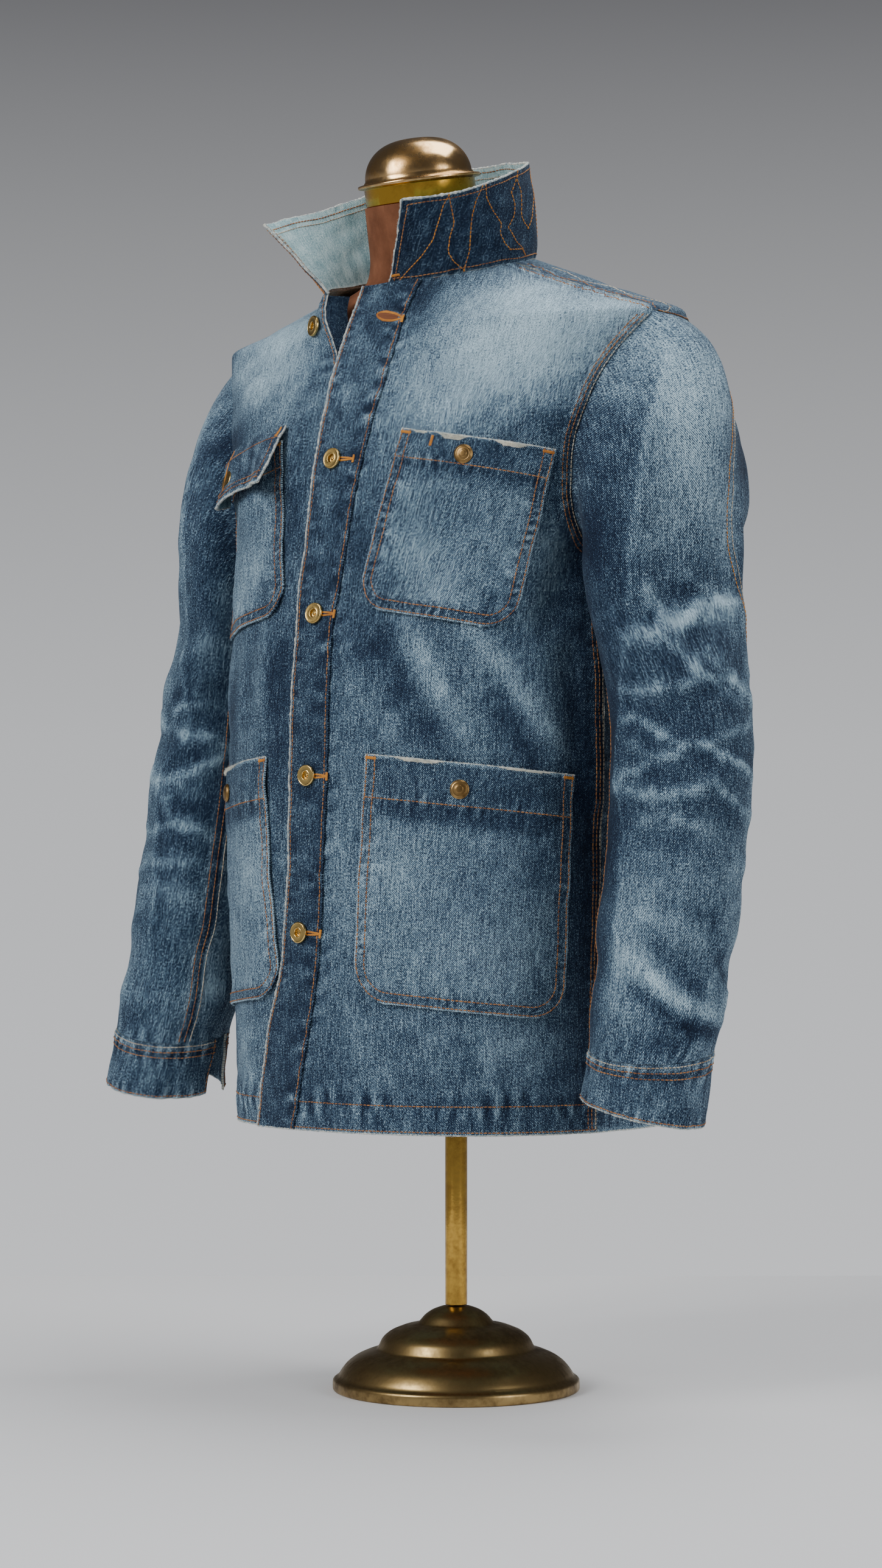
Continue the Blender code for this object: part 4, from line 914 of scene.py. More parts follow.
def make_jersey():
    """Brown jersey with fine ribs up and down and its rows of knitting across them."""
    made, tree, shader = plain("jersey", (0.30, 0.14, 0.105), 0.9)
    place = add(tree, "ShaderNodeUVMap", uv_map="pattern").outputs["UV"]
    parts = add(tree, "ShaderNodeSeparateXYZ", {"Vector": place}).outputs
    wobble = noise(tree, stretched(tree, place, (120, 90, 1)), 1.0)
    ribs = mix_value(tree, "MULTIPLY", parts[0], math.tau / RIB_PITCH)
    ribs = mix_value(tree, "ADD", ribs, mix_value(tree, "MULTIPLY", wobble, 4.0))
    ribs = mix_value(tree, "SINE", ribs, 0)
    knit = mix_value(tree, "SINE", mix_value(tree, "MULTIPLY", parts[1], math.tau / KNIT_PITCH), 0)
    cloud = noise(tree, stretched(tree, place, (40, 25, 1)), 1.0, 4.0, 0.6)
    shade = mix_value(tree, "ADD", cloud, mix_value(tree, "MULTIPLY", ribs, 0.03))
    shade = mix_value(tree, "ADD", shade, mix_value(tree, "MULTIPLY", knit, 0.03))
    tree.links.new(ramp(tree, shade, BROWN_SCALE), shader.inputs["Base Color"])
    height = mix_value(tree, "ADD", ribs, mix_value(tree, "MULTIPLY", knit, 0.5))
    give_relief(tree, shader, height, 0.35, 0.0003)
    shader.inputs["Specular IOR Level"].default_value = 0.15
    return made


JERSEY = make_jersey()

# %% [markdown]
# ## The fronts and the back
#
# A front is one panel from its free edge round to the side seam, up to the armhole and on to the
# shoulder seam. Its rows are level cuts of the body, so they fit the sleeve's head and the collar. The
# hem is folded double, and the seams to the sleeves and to the back are felled, which shows as a low
# raised band with a row of stitches along each side.

# %% Rows and columns of a panel
ROW_STEP = 0.0034
ARMHOLE_STEPS = {1: 64, 2: 96}
SHOULDER_STEPS = 34
FELL_WIDTH = 0.0105
FELL_HEIGHT = 0.0007


def armhole(share):
    """The armhole seam's fore-and-aft place and height."""
    return tuple(read(ARMHOLE_ROWS, ARMHOLE_COLUMNS, name, share) for name in ARMHOLE_COLUMNS[1:])


def shoulder_round(height):
    """The distance round to the shoulder seam."""
    tip = ARMHOLE_ROWS[0][1]
    share = (height - SHOULDER_TIP) / (NECK_HEIGHT - SHOULDER_TIP)
    return round_at(height, tip + share * (NECK_SEAM_FORE_AFT - tip))


def panel_rows(first_share, last_share, steps):
    """(height, distance round of the outer edge) for each row, from the hem to the neck."""
    side_steps = int((ARMHOLE_LOW - HEM_HEIGHT) / ROW_STEP)
    heights = list(np.linspace(HEM_HEIGHT, ARMHOLE_LOW, side_steps)[:-1])
    seam = [float(read(SIDE_SEAM_ROWS, SIDE_SEAM_COLUMNS, "fore_aft", h)) for h in heights]
    reach = [round_at(h, y) for h, y in zip(heights, seam)]
    for share in np.linspace(first_share, last_share, steps):
        fore_aft, height = armhole(share)
        heights.append(float(height))
        reach.append(round_at(height, float(fore_aft)))
    for height in np.linspace(SHOULDER_TIP, NECK_HEIGHT, SHOULDER_STEPS)[1:]:
        heights.append(float(height))
        reach.append(shoulder_round(height))
    return np.array(heights), np.array(reach)


def hem_band(height):
    """1 within the folded hem, 0 above it."""
    return 1 - smooth_step(HEM_HEIGHT + HEM_FOLD - 0.001, HEM_HEIGHT + HEM_FOLD + 0.002, height)


def fell_band(away):
    """1 within the felled seam, 0 past it."""
    return 1 - smooth_step(FELL_WIDTH - 0.001, FELL_WIDTH + 0.001, away)


def panel_wear_and_shade(wear_and_painted_shade, away, height, hem):
    """A panel's wear, with painted shade in the furrows of its felled seam and above its hem, the folded hem
    a little darker, and the pale rubbed ridges of both.
    """
    # Painted shade in the furrows along the felled seam and just above the hem's fold; the folded hem is also
    # a little darker all over.
    furrow_shade = 0.16 * stripe(away, 0.0035, 0.0035) + 0.10 * stripe(away, 0.014, 0.004)
    hem_shade = 0.12 * stripe(height - HEM_HEIGHT, 0.027, 0.004) + 0.06 * hem
    ridges = 0.12 * stripe(away, 0.009, 0.0018) + 0.25 * stripe(height, HEM_HEIGHT, 0.002)
    return wear_and_painted_shade - furrow_shade - hem_shade + ridges


def seam_away(grid):
    """How far each point of a grid is from its last column, measured along its row."""
    steps = np.linalg.norm(np.diff(grid, axis=1), axis=-1)
    return np.concatenate([np.cumsum(steps[:, ::-1], axis=1)[:, ::-1], np.zeros((len(grid), 1))], axis=1)


def run_up(grid):
    """How far each row lies up the grid from its first row, along its columns."""
    steps = np.linalg.norm(np.diff(grid, axis=0), axis=-1).mean(axis=1)
    return np.concatenate([[0], np.cumsum(steps)])[:, None] * np.ones(grid.shape[1])


FRONT_COLUMNS = 76


def front_grid(side):
    """Distances round and heights of a front's points, from the front edge to the outer edge."""
    heights, reach = panel_rows(SIDE_SEAM_SHARE, 0.0, ARMHOLE_STEPS[1])
    edge = side * edge_at(side, heights)
    share = np.linspace(0, 1, FRONT_COLUMNS)
    distance = edge[:, None] + share * (reach - SEAM_GAP / 2 - edge)[:, None]
    return distance, np.repeat(heights[:, None], FRONT_COLUMNS, axis=1)


def make_front(side):
    """A front with its folded hem, felled seams, puckers, wear and painted shade."""
    distance, height = front_grid(side)
    plain_grid = front_surface(side)(side * distance, height)
    away = seam_away(plain_grid)
    from_edge = distance - distance[:, :1]
    up = run_up(plain_grid)
    hem = hem_band(height)
    felled = fell_band(away)
    ropes = pucker(distance, height - HEM_HEIGHT - 0.020, 0.014, 0.013, 21 + side)
    outer_ropes = pucker(up, away - 0.006, 0.010, 0.012, 24 + side)
    line = read(PLACKET_LINE_ROWS, PLACKET_LINE_COLUMNS, "width", height) if side > 0 else 0.004
    edge_ropes = pucker(up, from_edge - line - 0.006, 0.009, 0.015, 27 + side)
    collar_ropes = pucker(distance, height - NECK_HEIGHT, 0.008, 0.010, 29 + side)
    lift = 0.0005 * hem + FELL_HEIGHT * felled + 0.0007 * ropes + 0.0003 * outer_ropes
    lift = lift + 0.0004 * edge_ropes + 0.0002 * collar_ropes
    wear_and_painted_shade = 0.43 + body_relief(side * distance, height)[1]
    wear_and_painted_shade += 0.24 * ropes + 0.10 * outer_ropes + 0.09 * edge_ropes + 0.10 * collar_ropes
    wear_and_painted_shade = panel_wear_and_shade(wear_and_painted_shade, away, height, hem)
    outer = front_surface(side)(side * distance, height, lift)
    thick = CLOTH + HEM_EXTRA * hem + 0.5 * FELL_HEIGHT * felled
    pattern = np.stack([side * distance, up], axis=-1)
    if side < 0:
        outer, thick, pattern, wear_and_painted_shade = (a[:, ::-1] for a in (outer, thick, pattern, wear_and_painted_shade))
    cloth(sided("front", side), outer, thick, pattern, wear_and_painted_shade, DENIM_SET)


BACK_COLUMNS = 108


def back_grid():
    """Distances from the middle of the back and heights, from the wearer's left to the right."""
    heights, reach = panel_rows(SIDE_SEAM_SHARE, 1.0, ARMHOLE_STEPS[2])
    half = half_round(heights) - reach - SEAM_GAP / 2
    share = np.linspace(-1, 1, BACK_COLUMNS)
    return half[:, None] * share, np.repeat(heights[:, None], BACK_COLUMNS, axis=1)


def back_surface(aside, height, lift=0.0):
    """Points of the back's outer face, worked out on the left side and mirrored for the right."""
    distance = half_round(height) - np.abs(aside)
    relief = creases(BACK_CREASES, aside, height, 30)[0] + 0.0005 * ripple(aside, height, 0.05, 31)
    out = lift + fold_height(distance, height) + relief
    point = bare(distance, height) + out[..., None] * bare_out(distance, height)
    point[..., 0] *= np.where(aside > 0, -1, 1)
    return point


# Places on the back: distance from its middle, the wearer's right positive, and height.
BACK_CREASES = (
    (0.014, 0.0016, 0.08, (-0.070, 0.600), (-0.030, 0.540), (0.020, 0.500)),
    (0.016, -0.0016, -0.08, (0.100, 0.640), (0.040, 0.560), (-0.010, 0.540)),
    (0.013, 0.0014, 0.08, (-0.140, 0.480), (-0.090, 0.440), (-0.050, 0.380)),
    (0.014, 0.0013, 0.07, (0.130, 0.470), (0.080, 0.420), (0.060, 0.350)),
    (0.016, -0.0015, -0.08, (-0.130, 0.660), (-0.100, 0.580)),
    (0.012, 0.0012, 0.07, (0.120, 0.720), (0.110, 0.640)),
    (0.010, 0.0010, 0.06, (-0.020, 0.330), (-0.010, 0.260)),
    (0.010, -0.0010, -0.06, (0.050, 0.330), (0.070, 0.260)),
)
BACK_SPOTS = (
    (-0.085, 0.880, 0.060, 0.032, 0.28),
    (0.078, 0.875, 0.065, 0.034, 0.25),
    (0.000, 0.800, 0.080, 0.060, 0.10),
    (0.000, 0.600, 0.110, 0.120, 0.08),
    (-0.060, 0.400, 0.070, 0.080, 0.06),
    (0.160, 0.500, 0.040, 0.180, -0.18),
    (-0.165, 0.480, 0.040, 0.180, -0.18),
)


def make_back():
    """The back, made as the fronts are."""
    aside, height = back_grid()
    plain_grid = back_surface(aside, height)
    right_away = seam_away(plain_grid)
    left_away = seam_away(plain_grid[:, ::-1])[:, ::-1]
    away = np.minimum(right_away, left_away)
    up = run_up(plain_grid)
    hem = hem_band(height)
    felled = fell_band(away)
    ropes = pucker(aside, height - HEM_HEIGHT - 0.020, 0.014, 0.013, 32)
    side_ropes = pucker(up, away - 0.006, 0.010, 0.012, 33)
    lift = 0.0005 * hem + FELL_HEIGHT * felled + 0.00045 * ropes + 0.0003 * side_ropes
    wear_and_painted_shade = 0.43 + creases(BACK_CREASES, aside, height, 30)[1] + spots(BACK_SPOTS, aside, height)
    wear_and_painted_shade += 0.015 * ripple(aside, height, 0.05, 34) + 0.22 * ropes + 0.10 * side_ropes
    wear_and_painted_shade = panel_wear_and_shade(wear_and_painted_shade, away, height, hem)
    outer = back_surface(aside, height, lift)
    thick = CLOTH + HEM_EXTRA * hem + 0.5 * FELL_HEIGHT * felled
    cloth("back", outer, thick, np.stack([aside, up], axis=-1), wear_and_painted_shade, DENIM_SET)


for side in (1, -1):
    make_front(side)
make_back()

# %% [markdown]
# ## The sleeves
#
# A sleeve is a tube. Its upper rings bend from the armhole seam to a level ring below the arm, and the
# rest hang level but for a tilt towards the cuff. The elbow is where the looks are: years of bending
# leave a net of pale creases there, drawn stroke by stroke on the outside of each arm.

# %% The sleeve's plain surface
SLEEVE_ROUND = 108
INNER_SEAM_TURN = 0.413
HEAD_STEPS = 54
ARM_STEPS = 112
ARM_GIRTH = 0.34
HEAD_RUN = 0.18
# Places on a sleeve: distance round from its outside, towards the front positive, and height.
SLEEVE_CREASES = {
    1: (
        (0.0080, 0.0018, 0.38, (0.084, 0.380), (0.040, 0.346), (-0.030, 0.322)),
        (0.0060, -0.0016, -0.36, (0.080, 0.358), (0.030, 0.328), (-0.040, 0.312)),
        (0.0060, -0.0014, -0.30, (0.010, 0.378), (-0.022, 0.356), (-0.060, 0.336)),
        (0.0045, 0.0008, 0.24, (0.022, 0.673), (0.014, 0.670), (0.004, 0.664), (-0.007, 0.655)),
        (
            0.0060, 0.0014, 0.46,
            (0.053, 0.655), (0.044, 0.658), (0.040, 0.647), (0.035, 0.638), (0.029, 0.632),
        ),
        (
            0.0065, 0.0014, 0.46,
            (0.030, 0.632), (0.019, 0.639), (0.007, 0.647), (-0.008, 0.651), (-0.032, 0.652),
        ),
        (0.0080, 0.0012, 0.40, (0.068, 0.621), (0.056, 0.625), (0.044, 0.626), (0.030, 0.631)),
        (
            0.0055, 0.0010, 0.40,
            (0.043, 0.620), (0.034, 0.614), (0.027, 0.601), (0.019, 0.592), (-0.014, 0.586),
        ),
        (
            0.0070, 0.0010, 0.30,
            (0.020, 0.612), (0.007, 0.605), (-0.006, 0.595), (-0.016, 0.586), (-0.040, 0.570),
        ),
        (
            0.0055, 0.0012, 0.38,
            (0.088, 0.581), (0.067, 0.580), (0.043, 0.582), (0.028, 0.586), (0.018, 0.590),
        ),
        (
            0.0042, 0.0014, 0.44,
            (0.097, 0.558), (0.082, 0.559), (0.071, 0.552), (0.057, 0.542), (0.045, 0.537),
        ),
        (
            0.0042, 0.0014, 0.46,
            (0.045, 0.537), (0.030, 0.538), (0.015, 0.530), (-0.002, 0.522), (-0.030, 0.512),
        ),
        (0.0050, 0.0010, 0.32, (0.030, 0.538), (0.010, 0.546), (-0.009, 0.550), (-0.034, 0.556)),
        (
            0.0050, 0.0009, 0.24,
            (0.095, 0.544), (0.080, 0.535), (0.063, 0.528), (0.051, 0.530), (0.045, 0.536),
        ),
        (0.0055, 0.0009, 0.26, (0.105, 0.515), (0.083, 0.518), (0.063, 0.527), (0.051, 0.530)),
        (
            0.0062, 0.0014, 0.42,
            (0.109, 0.508), (0.096, 0.503), (0.073, 0.498), (0.051, 0.498), (0.022, 0.508),
        ),
        (0.0036, 0.0008, 0.30, (0.020, 0.506), (0.011, 0.498), (-0.005, 0.490), (-0.025, 0.480)),
        (
            0.0055, 0.0010, 0.30,
            (0.087, 0.475), (0.069, 0.480), (0.058, 0.483), (0.044, 0.477), (0.020, 0.470),
        ),
        (0.0060, 0.0010, 0.16, (0.092, 0.636), (0.086, 0.639), (0.067, 0.647), (0.058, 0.651)),
        (0.0050, 0.0008, 0.12, (0.100, 0.615), (0.076, 0.614)),
        (0.0080, 0.0014, 0.12, (0.020, 0.455), (-0.010, 0.440), (-0.040, 0.445)),
        (0.0110, 0.0014, 0.22, (0.030, 0.636), (-0.010, 0.641), (-0.046, 0.640)),
        (0.0090, 0.0012, 0.18, (0.010, 0.576), (-0.020, 0.574), (-0.040, 0.573)),
        (0.0110, -0.0014, -0.28, (0.030, 0.412), (0.014, 0.400), (0.000, 0.385)),
        (0.0110, -0.0014, -0.28, (0.062, 0.385), (0.035, 0.365), (0.000, 0.332)),
        (0.0080, 0.0016, 0.14, (0.095, 0.340), (0.075, 0.335), (0.055, 0.340)),
        (0.0080, -0.0016, -0.26, (0.060, 0.318), (0.035, 0.315), (0.005, 0.320)),
        (0.0080, 0.0014, 0.10, (-0.020, 0.350), (-0.050, 0.340), (-0.080, 0.350)),
        (0.0060, 0.0012, 0.30, (-0.030, 0.600), (-0.060, 0.590), (-0.090, 0.600)),
        (0.0060, 0.0012, 0.30, (-0.040, 0.535), (-0.070, 0.540), (-0.100, 0.530)),
        (0.0060, 0.0012, 0.26, (-0.030, 0.480), (-0.060, 0.490), (-0.095, 0.480)),
    ),
    -1: (
        (
            0.0055, 0.0010, 0.26,
            (0.070, 0.584), (0.080, 0.578), (0.094, 0.582), (0.112, 0.582), (0.124, 0.580),
        ),
        (0.0040, 0.0008, 0.18, (0.098, 0.595), (0.111, 0.587)),
        (
            0.0065, 0.0012, 0.32,
            (0.050, 0.570), (0.062, 0.566), (0.082, 0.563), (0.094, 0.559), (0.103, 0.550),
        ),
        (0.0070, 0.0014, 0.40, (0.102, 0.556), (0.118, 0.553), (0.130, 0.549), (0.140, 0.544)),
        (
            0.0070, 0.0014, 0.38,
            (0.142, 0.544), (0.126, 0.533), (0.115, 0.527), (0.104, 0.521), (0.072, 0.516),
        ),
        (
            0.0062, 0.0014, 0.38,
            (0.074, 0.511), (0.084, 0.496), (0.097, 0.483), (0.113, 0.475), (0.138, 0.466),
        ),
        (0.0060, 0.0010, 0.26, (0.060, 0.470), (0.073, 0.473), (0.088, 0.476), (0.102, 0.480)),
        (0.0075, 0.0012, 0.26, (0.070, 0.444), (0.099, 0.446), (0.118, 0.445), (0.129, 0.443)),
        (0.0080, 0.0012, 0.22, (0.070, 0.422), (0.107, 0.419), (0.125, 0.418), (0.138, 0.413)),
        (0.0060, 0.0012, 0.34, (0.062, 0.566), (0.030, 0.575), (0.000, 0.560), (-0.030, 0.566)),
        (0.0060, 0.0012, 0.36, (0.072, 0.516), (0.040, 0.525), (0.010, 0.510), (-0.030, 0.520)),
        (0.0050, 0.0012, 0.34, (0.060, 0.470), (0.030, 0.482), (0.000, 0.472), (-0.040, 0.480)),
        (0.0055, 0.0010, 0.26, (0.070, 0.444), (0.040, 0.436), (0.010, 0.446), (-0.020, 0.440)),
        (0.0060, 0.0012, 0.28, (-0.030, 0.600), (-0.060, 0.590), (-0.090, 0.600)),
        (0.0060, 0.0012, 0.26, (-0.050, 0.540), (-0.080, 0.530), (-0.100, 0.540)),
        (0.0080, 0.0016, 0.12, (0.110, 0.335), (0.080, 0.328), (0.050, 0.335)),
        (0.0080, 0.0014, 0.12, (0.020, 0.345), (-0.010, 0.335), (-0.040, 0.345)),
    ),
}
SLEEVE_SPOTS = {
    1: (
        (0.050, 0.395, 0.060, 0.050, 0.15),
        (-0.050, 0.590, 0.022, 0.050, 0.16),
        (0.012, 0.830, 0.026, 0.050, 0.40),
        (0.010, 0.760, 0.026, 0.055, 0.34),
        (0.040, 0.700, 0.022, 0.030, 0.10),
        (0.020, 0.560, 0.100, 0.090, -0.10),
        (0.052, 0.830, 0.012, 0.024, 0.26),
        (0.020, 0.876, 0.016, 0.010, 0.18),
        (-0.045, 0.775, 0.034, 0.032, -0.30),
        (0.092, 0.700, 0.030, 0.026, -0.34),
        (-0.020, 0.700, 0.012, 0.060, 0.14),
        (-0.041, 0.690, 0.008, 0.022, -0.20),
        (-0.030, 0.490, 0.012, 0.030, 0.16),
        (0.120, 0.550, 0.020, 0.016, -0.20),
        (0.120, 0.505, 0.020, 0.008, 0.18),
        (0.122, 0.455, 0.022, 0.034, -0.30),
        (0.118, 0.370, 0.022, 0.030, -0.26),
        (0.125, 0.325, 0.022, 0.016, -0.24),
        (0.080, 0.400, 0.020, 0.040, 0.12),
        (0.090, 0.360, 0.026, 0.020, 0.18),
        (-0.032, 0.410, 0.010, 0.050, 0.12),
        (-0.034, 0.340, 0.012, 0.012, 0.16),
        # Darker down the back and the inside of the arm, where it faces the body: painted shade.
        (-0.100, 0.760, 0.030, 0.080, -0.12),
        (-0.100, 0.600, 0.040, 0.150, -0.08),
        (0.130, 0.600, 0.040, 0.200, -0.16),
    ),
    -1: (
        (0.020, 0.820, 0.040, 0.050, 0.18),
        (0.066, 0.808, 0.016, 0.022, -0.28),
        (0.118, 0.730, 0.012, 0.030, -0.18),
        (0.120, 0.680, 0.012, 0.016, 0.22),
        (0.108, 0.632, 0.020, 0.018, 0.24),
        (0.050, 0.725, 0.012, 0.034, 0.15),
        (0.050, 0.600, 0.012, 0.024, 0.20),
        (0.052, 0.525, 0.016, 0.026, 0.22),
        (0.110, 0.506, 0.020, 0.008, 0.18),
        (0.080, 0.592, 0.012, 0.014, -0.20),
        (0.080, 0.552, 0.016, 0.016, -0.18),
        (0.136, 0.505, 0.010, 0.030, -0.28),
        (0.105, 0.490, 0.026, 0.008, -0.16),
        (0.108, 0.410, 0.016, 0.022, 0.14),
        (0.078, 0.400, 0.010, 0.030, -0.12),
        (0.152, 0.350, 0.020, 0.022, 0.24),
        (0.052, 0.345, 0.014, 0.020, 0.20),
        (0.082, 0.322, 0.014, 0.014, -0.22),
        # Darker down the inside and the back of the arm, where it faces the body: painted shade.
        (0.130, 0.700, 0.040, 0.080, -0.10),
        (-0.100, 0.600, 0.040, 0.150, -0.08),
        (0.000, 0.400, 0.050, 0.060, 0.10),
    ),
}
# The pressed ridge of a sleeve: height, then how far round it lies.
RIDGE_ROWS = {
    1: (
        (0.300, 0.085), (0.400, 0.090), (0.473, 0.097), (0.492, 0.100), (0.509, 0.109),
        (0.522, 0.108), (0.559, 0.099), (0.581, 0.091), (0.605, 0.078), (0.626, 0.068),
        (0.654, 0.055), (0.694, 0.051), (0.745, 0.043), (0.793, 0.033), (0.859, 0.010),
    ),
    -1: (
        (0.300, 0.088), (0.411, 0.088), (0.470, 0.075), (0.522, 0.071), (0.556, 0.100),
        (0.596, 0.089), (0.624, 0.075), (0.700, 0.060), (0.800, 0.040), (0.859, 0.015),
    ),
}
RIDGE_HEIGHT = {1: 0.0030, -1: 0.0016}
RIDGE_WIDTH = 0.012


def arm_turn(share):
    """Which way round the arm a place of the armhole seam lies: 0 outside, 0.25 front, 0.5 inside."""
    shares, turns = zip(*ARM_TURNS)
    return curve_through(shares, turns, share)


def ring_points(turn, height):
    """Points of the sleeve's level cuts."""
    size = {name: read(SLEEVE_ROWS, SLEEVE_COLUMNS, name, height) for name in SLEEVE_COLUMNS[1:]}
    ahead = size["half_fore"] * np.sin(math.tau * turn)
    out = size["out"] + size["half_out"] * np.cos(math.tau * turn) - size["front_in"] * ahead
    return np.stack([out, size["fore_aft"] - ahead, height + 0 * turn], axis=-1)


def armhole_points(share):
    """Points of the left armhole seam, and the way out of the body there."""
    fore_aft, height = armhole(share % 1.0)
    distance = np.array([round_at(h, y) for h, y in zip(height, fore_aft)])
    out = bare_out(distance, height)
    return bare(distance, height) + fold_height(distance, height)[:, None] * out, out


def head_points(share, along):
    """Points of the sleeve's head, from the armhole seam (0) to the first full ring (1)."""
    seam, out = armhole_points(share)
    inward = HEAD_MIDDLE - seam
    inward = unit(inward - (inward * out).sum(axis=-1, keepdims=True) * out)
    start = seam + SEAM_GAP / 2 * inward
    way = {name: read(HEAD_ROWS, HEAD_COLUMNS, name, share % 1.0) for name in HEAD_COLUMNS[1:]}
    leave = unit(np.stack([way["out"], way["fore_aft"], way["up"]], axis=-1))
    end = ring_points(arm_turn(share), np.full_like(share, SLEEVE_FULL))
    length = np.linalg.norm(end - start, axis=-1, keepdims=True)
    first = start + leave * length * way["fullness"][:, None]
    second = end + unit(HEAD_ARRIVAL) * length * HEAD_ARRIVAL_SHARE
    t = along[:, None, None]
    ends = (1 - t) ** 3 * start + t**3 * end
    return ends + 3 * (1 - t) ** 2 * t * first + 3 * (1 - t) * t**2 * second


def sleeve_fold(turn, height):
    """How far the sleeve's large folds stand out."""
    total = np.zeros(np.broadcast(turn, height).shape)
    for place, middle, half_height, half_turn, slant, depth in SLEEVE_FOLDS:
        aside = (turn - middle + 0.5) % 1.0 - 0.5
        down = height - place - slant * aside
        total += depth * np.exp(-((aside / half_turn) ** 2) - (down / half_height) ** 2)
    return total


def hang(side, points, slope, tipped):
    """The place of a left sleeve's points on this side, its level cuts tipped by a slope."""
    across = side * (points[..., 0] - read(SLEEVE_ROWS, SLEEVE_COLUMNS, "out", points[..., 2]))
    fore_aft = points[..., 1] - read(SLEEVE_ROWS, SLEEVE_COLUMNS, "fore_aft", points[..., 2])
    rise = tipped * (slope[0] * across + slope[1] * fore_aft)
    return np.stack([side * points[..., 0], points[..., 1], points[..., 2] + rise], axis=-1)


def sleeve_grid():
    """(points, ways out, turns, heights, runs) of the left sleeve's outer face with its large folds."""
    share = np.linspace(0, 1, SLEEVE_ROUND + 1)[:-1]
    head = head_points(share, np.linspace(0, 1, HEAD_STEPS))
    heights = np.linspace(SLEEVE_FULL, SLEEVE_END, ARM_STEPS)[1:]
    turn = arm_turn(share)
    arm = ring_points(np.tile(turn, (len(heights), 1)), np.repeat(heights[:, None], len(share), axis=1))
    grid = np.concatenate([head, arm])
    run = np.concatenate([np.linspace(0, 1, HEAD_STEPS), np.linspace(1, 2, ARM_STEPS)[1:]])[:, None]
    height = grid[..., 2]
    turns = np.tile(turn, (len(grid), 1))
    free = smooth_step(0.05, 0.4, run) * (1 - smooth_step(1.9, 2.0, run))
    out = grid_out(grid, closed=True)
    out[..., 2] *= 1 - smooth_step(1.85, 2.0, run)
    out = unit(out)
    grid = grid + (free * sleeve_fold(turns, height))[..., None] * out
    return grid, out, turns, height, run


def sleeve_wear_and_shade(side, turn, height):
    """(relief, wear and painted shade) of the creases, spots and pressed ridge on a sleeve, measured round
    the arm in metres.
    """
    aside = ((turn + 0.5) % 1.0 - 0.5) * ARM_GIRTH
    relief, wear_and_painted_shade = creases(SLEEVE_CREASES[side], aside, height, 40 + side)
    relief += 0.0004 * ripple(aside, height, 0.040, 42 + side)
    wear_and_painted_shade += spots(SLEEVE_SPOTS[side], aside, height) + 0.030 * ripple(aside, height, 0.03, 44 + side)
    ridge = curve_through(*zip(*RIDGE_ROWS[side]), height)
    beyond = aside - ridge
    there = smooth_step(0.32, 0.40, height) * (1 - smooth_step(0.82, 0.87, height))
    relief += RIDGE_HEIGHT[side] * np.exp(-np.abs(beyond) / RIDGE_WIDTH) * there
    # The pressed ridge's crest is rubbed pale, and the facet in front of it is darkened: painted shade.
    wear_and_painted_shade += 0.12 * stripe(beyond, 0, 0.0022) * there
    wear_and_painted_shade -= 0.13 * smooth_step(0, 0.006, beyond) * (1 - smooth_step(0.03, 0.08, beyond)) * there
    return relief, wear_and_painted_shade


def make_sleeve(side):
    """A sleeve, its pattern unrolled round the arm."""
    grid, out, turn, height, run = sleeve_grid()
    relief, wear_and_painted_shade = sleeve_wear_and_shade(side, turn, height)
    free = smooth_step(0.03, 0.12, run) * (1 - smooth_step(1.93, 2.0, run))
    round_it = turn * ARM_GIRTH
    end_ropes = pucker(round_it, height - SLEEVE_END, 0.016, 0.014, 46 + side)
    head_ropes = pucker(round_it, run * HEAD_RUN, 0.010, 0.012, 49 + side)
    from_seam = np.abs((turn - INNER_SEAM_TURN + 0.5) % 1.0 - 0.5) * ARM_GIRTH
    seam_band = 1 - smooth_step(0.0050, 0.0065, from_seam)
    seam_ropes = pucker(height, from_seam, 0.012, 0.012, 52 + side)
    relief = relief + 0.0005 * end_ropes + 0.0006 * seam_band + 0.0003 * seam_ropes
    grid = grid + (free * relief)[..., None] * out
    tipped = 1 - smooth_step(SLEEVE_END, CUFF_SLOPE_FROM, height)
    outer = hang(side, grid, CUFF_SEAM_SLOPE[side], tipped)
    wear_and_painted_shade = 0.43 + wear_and_painted_shade + 0.12 * end_ropes + 0.08 * head_ropes + 0.08 * seam_ropes
    # Painted shade along the inner seam, its band's edge rubbed pale, and painted shade along the armhole
    # seam.
    wear_and_painted_shade -= 0.26 * (1 - smooth_step(0.003, 0.006, from_seam)) - 0.20 * stripe(from_seam, 0.006, 0.002)
    wear_and_painted_shade -= 0.14 * stripe(run * HEAD_RUN, 0, 0.003)
    loop = np.concatenate([grid[0], grid[:1, 0]])
    level_steps = np.linalg.norm(np.diff(loop[:, :2], axis=0), axis=1)
    half = SLEEVE_ROUND // 2
    first, second = np.cumsum(level_steps[:half]), np.cumsum(level_steps[half:])
    bell = np.concatenate([[0], 0.5 * first / first[-1], 0.5 + 0.5 * second / second[-1]])
    lead = np.clip(run, 0, 1)
    turn_shut = np.concatenate([turn, np.ones((len(turn), 1))], axis=1)
    round_it = ((1 - lead) * bell + lead * turn_shut) * ARM_GIRTH
    down = run_up(outer)
    on_head = np.arange(len(grid))[:, None] < HEAD_STEPS
    fall = np.where(on_head, (1 - lead) * (grid[:1, :, 2] - SLEEVE_FULL), down[HEAD_STEPS - 1] - down)
    pattern = np.stack([round_it, np.concatenate([fall, fall[:, :1]], axis=1)], axis=-1)
    if side < 0:
        outer, wear_and_painted_shade = np.roll(outer[:, ::-1], 1, axis=1), np.roll(wear_and_painted_shade[:, ::-1], 1, axis=1)
        pattern = pattern[:, ::-1]
    cloth(sided("sleeve", side), outer, CLOTH + 0 * wear_and_painted_shade, pattern, wear_and_painted_shade, DENIM_SET, closed=True)


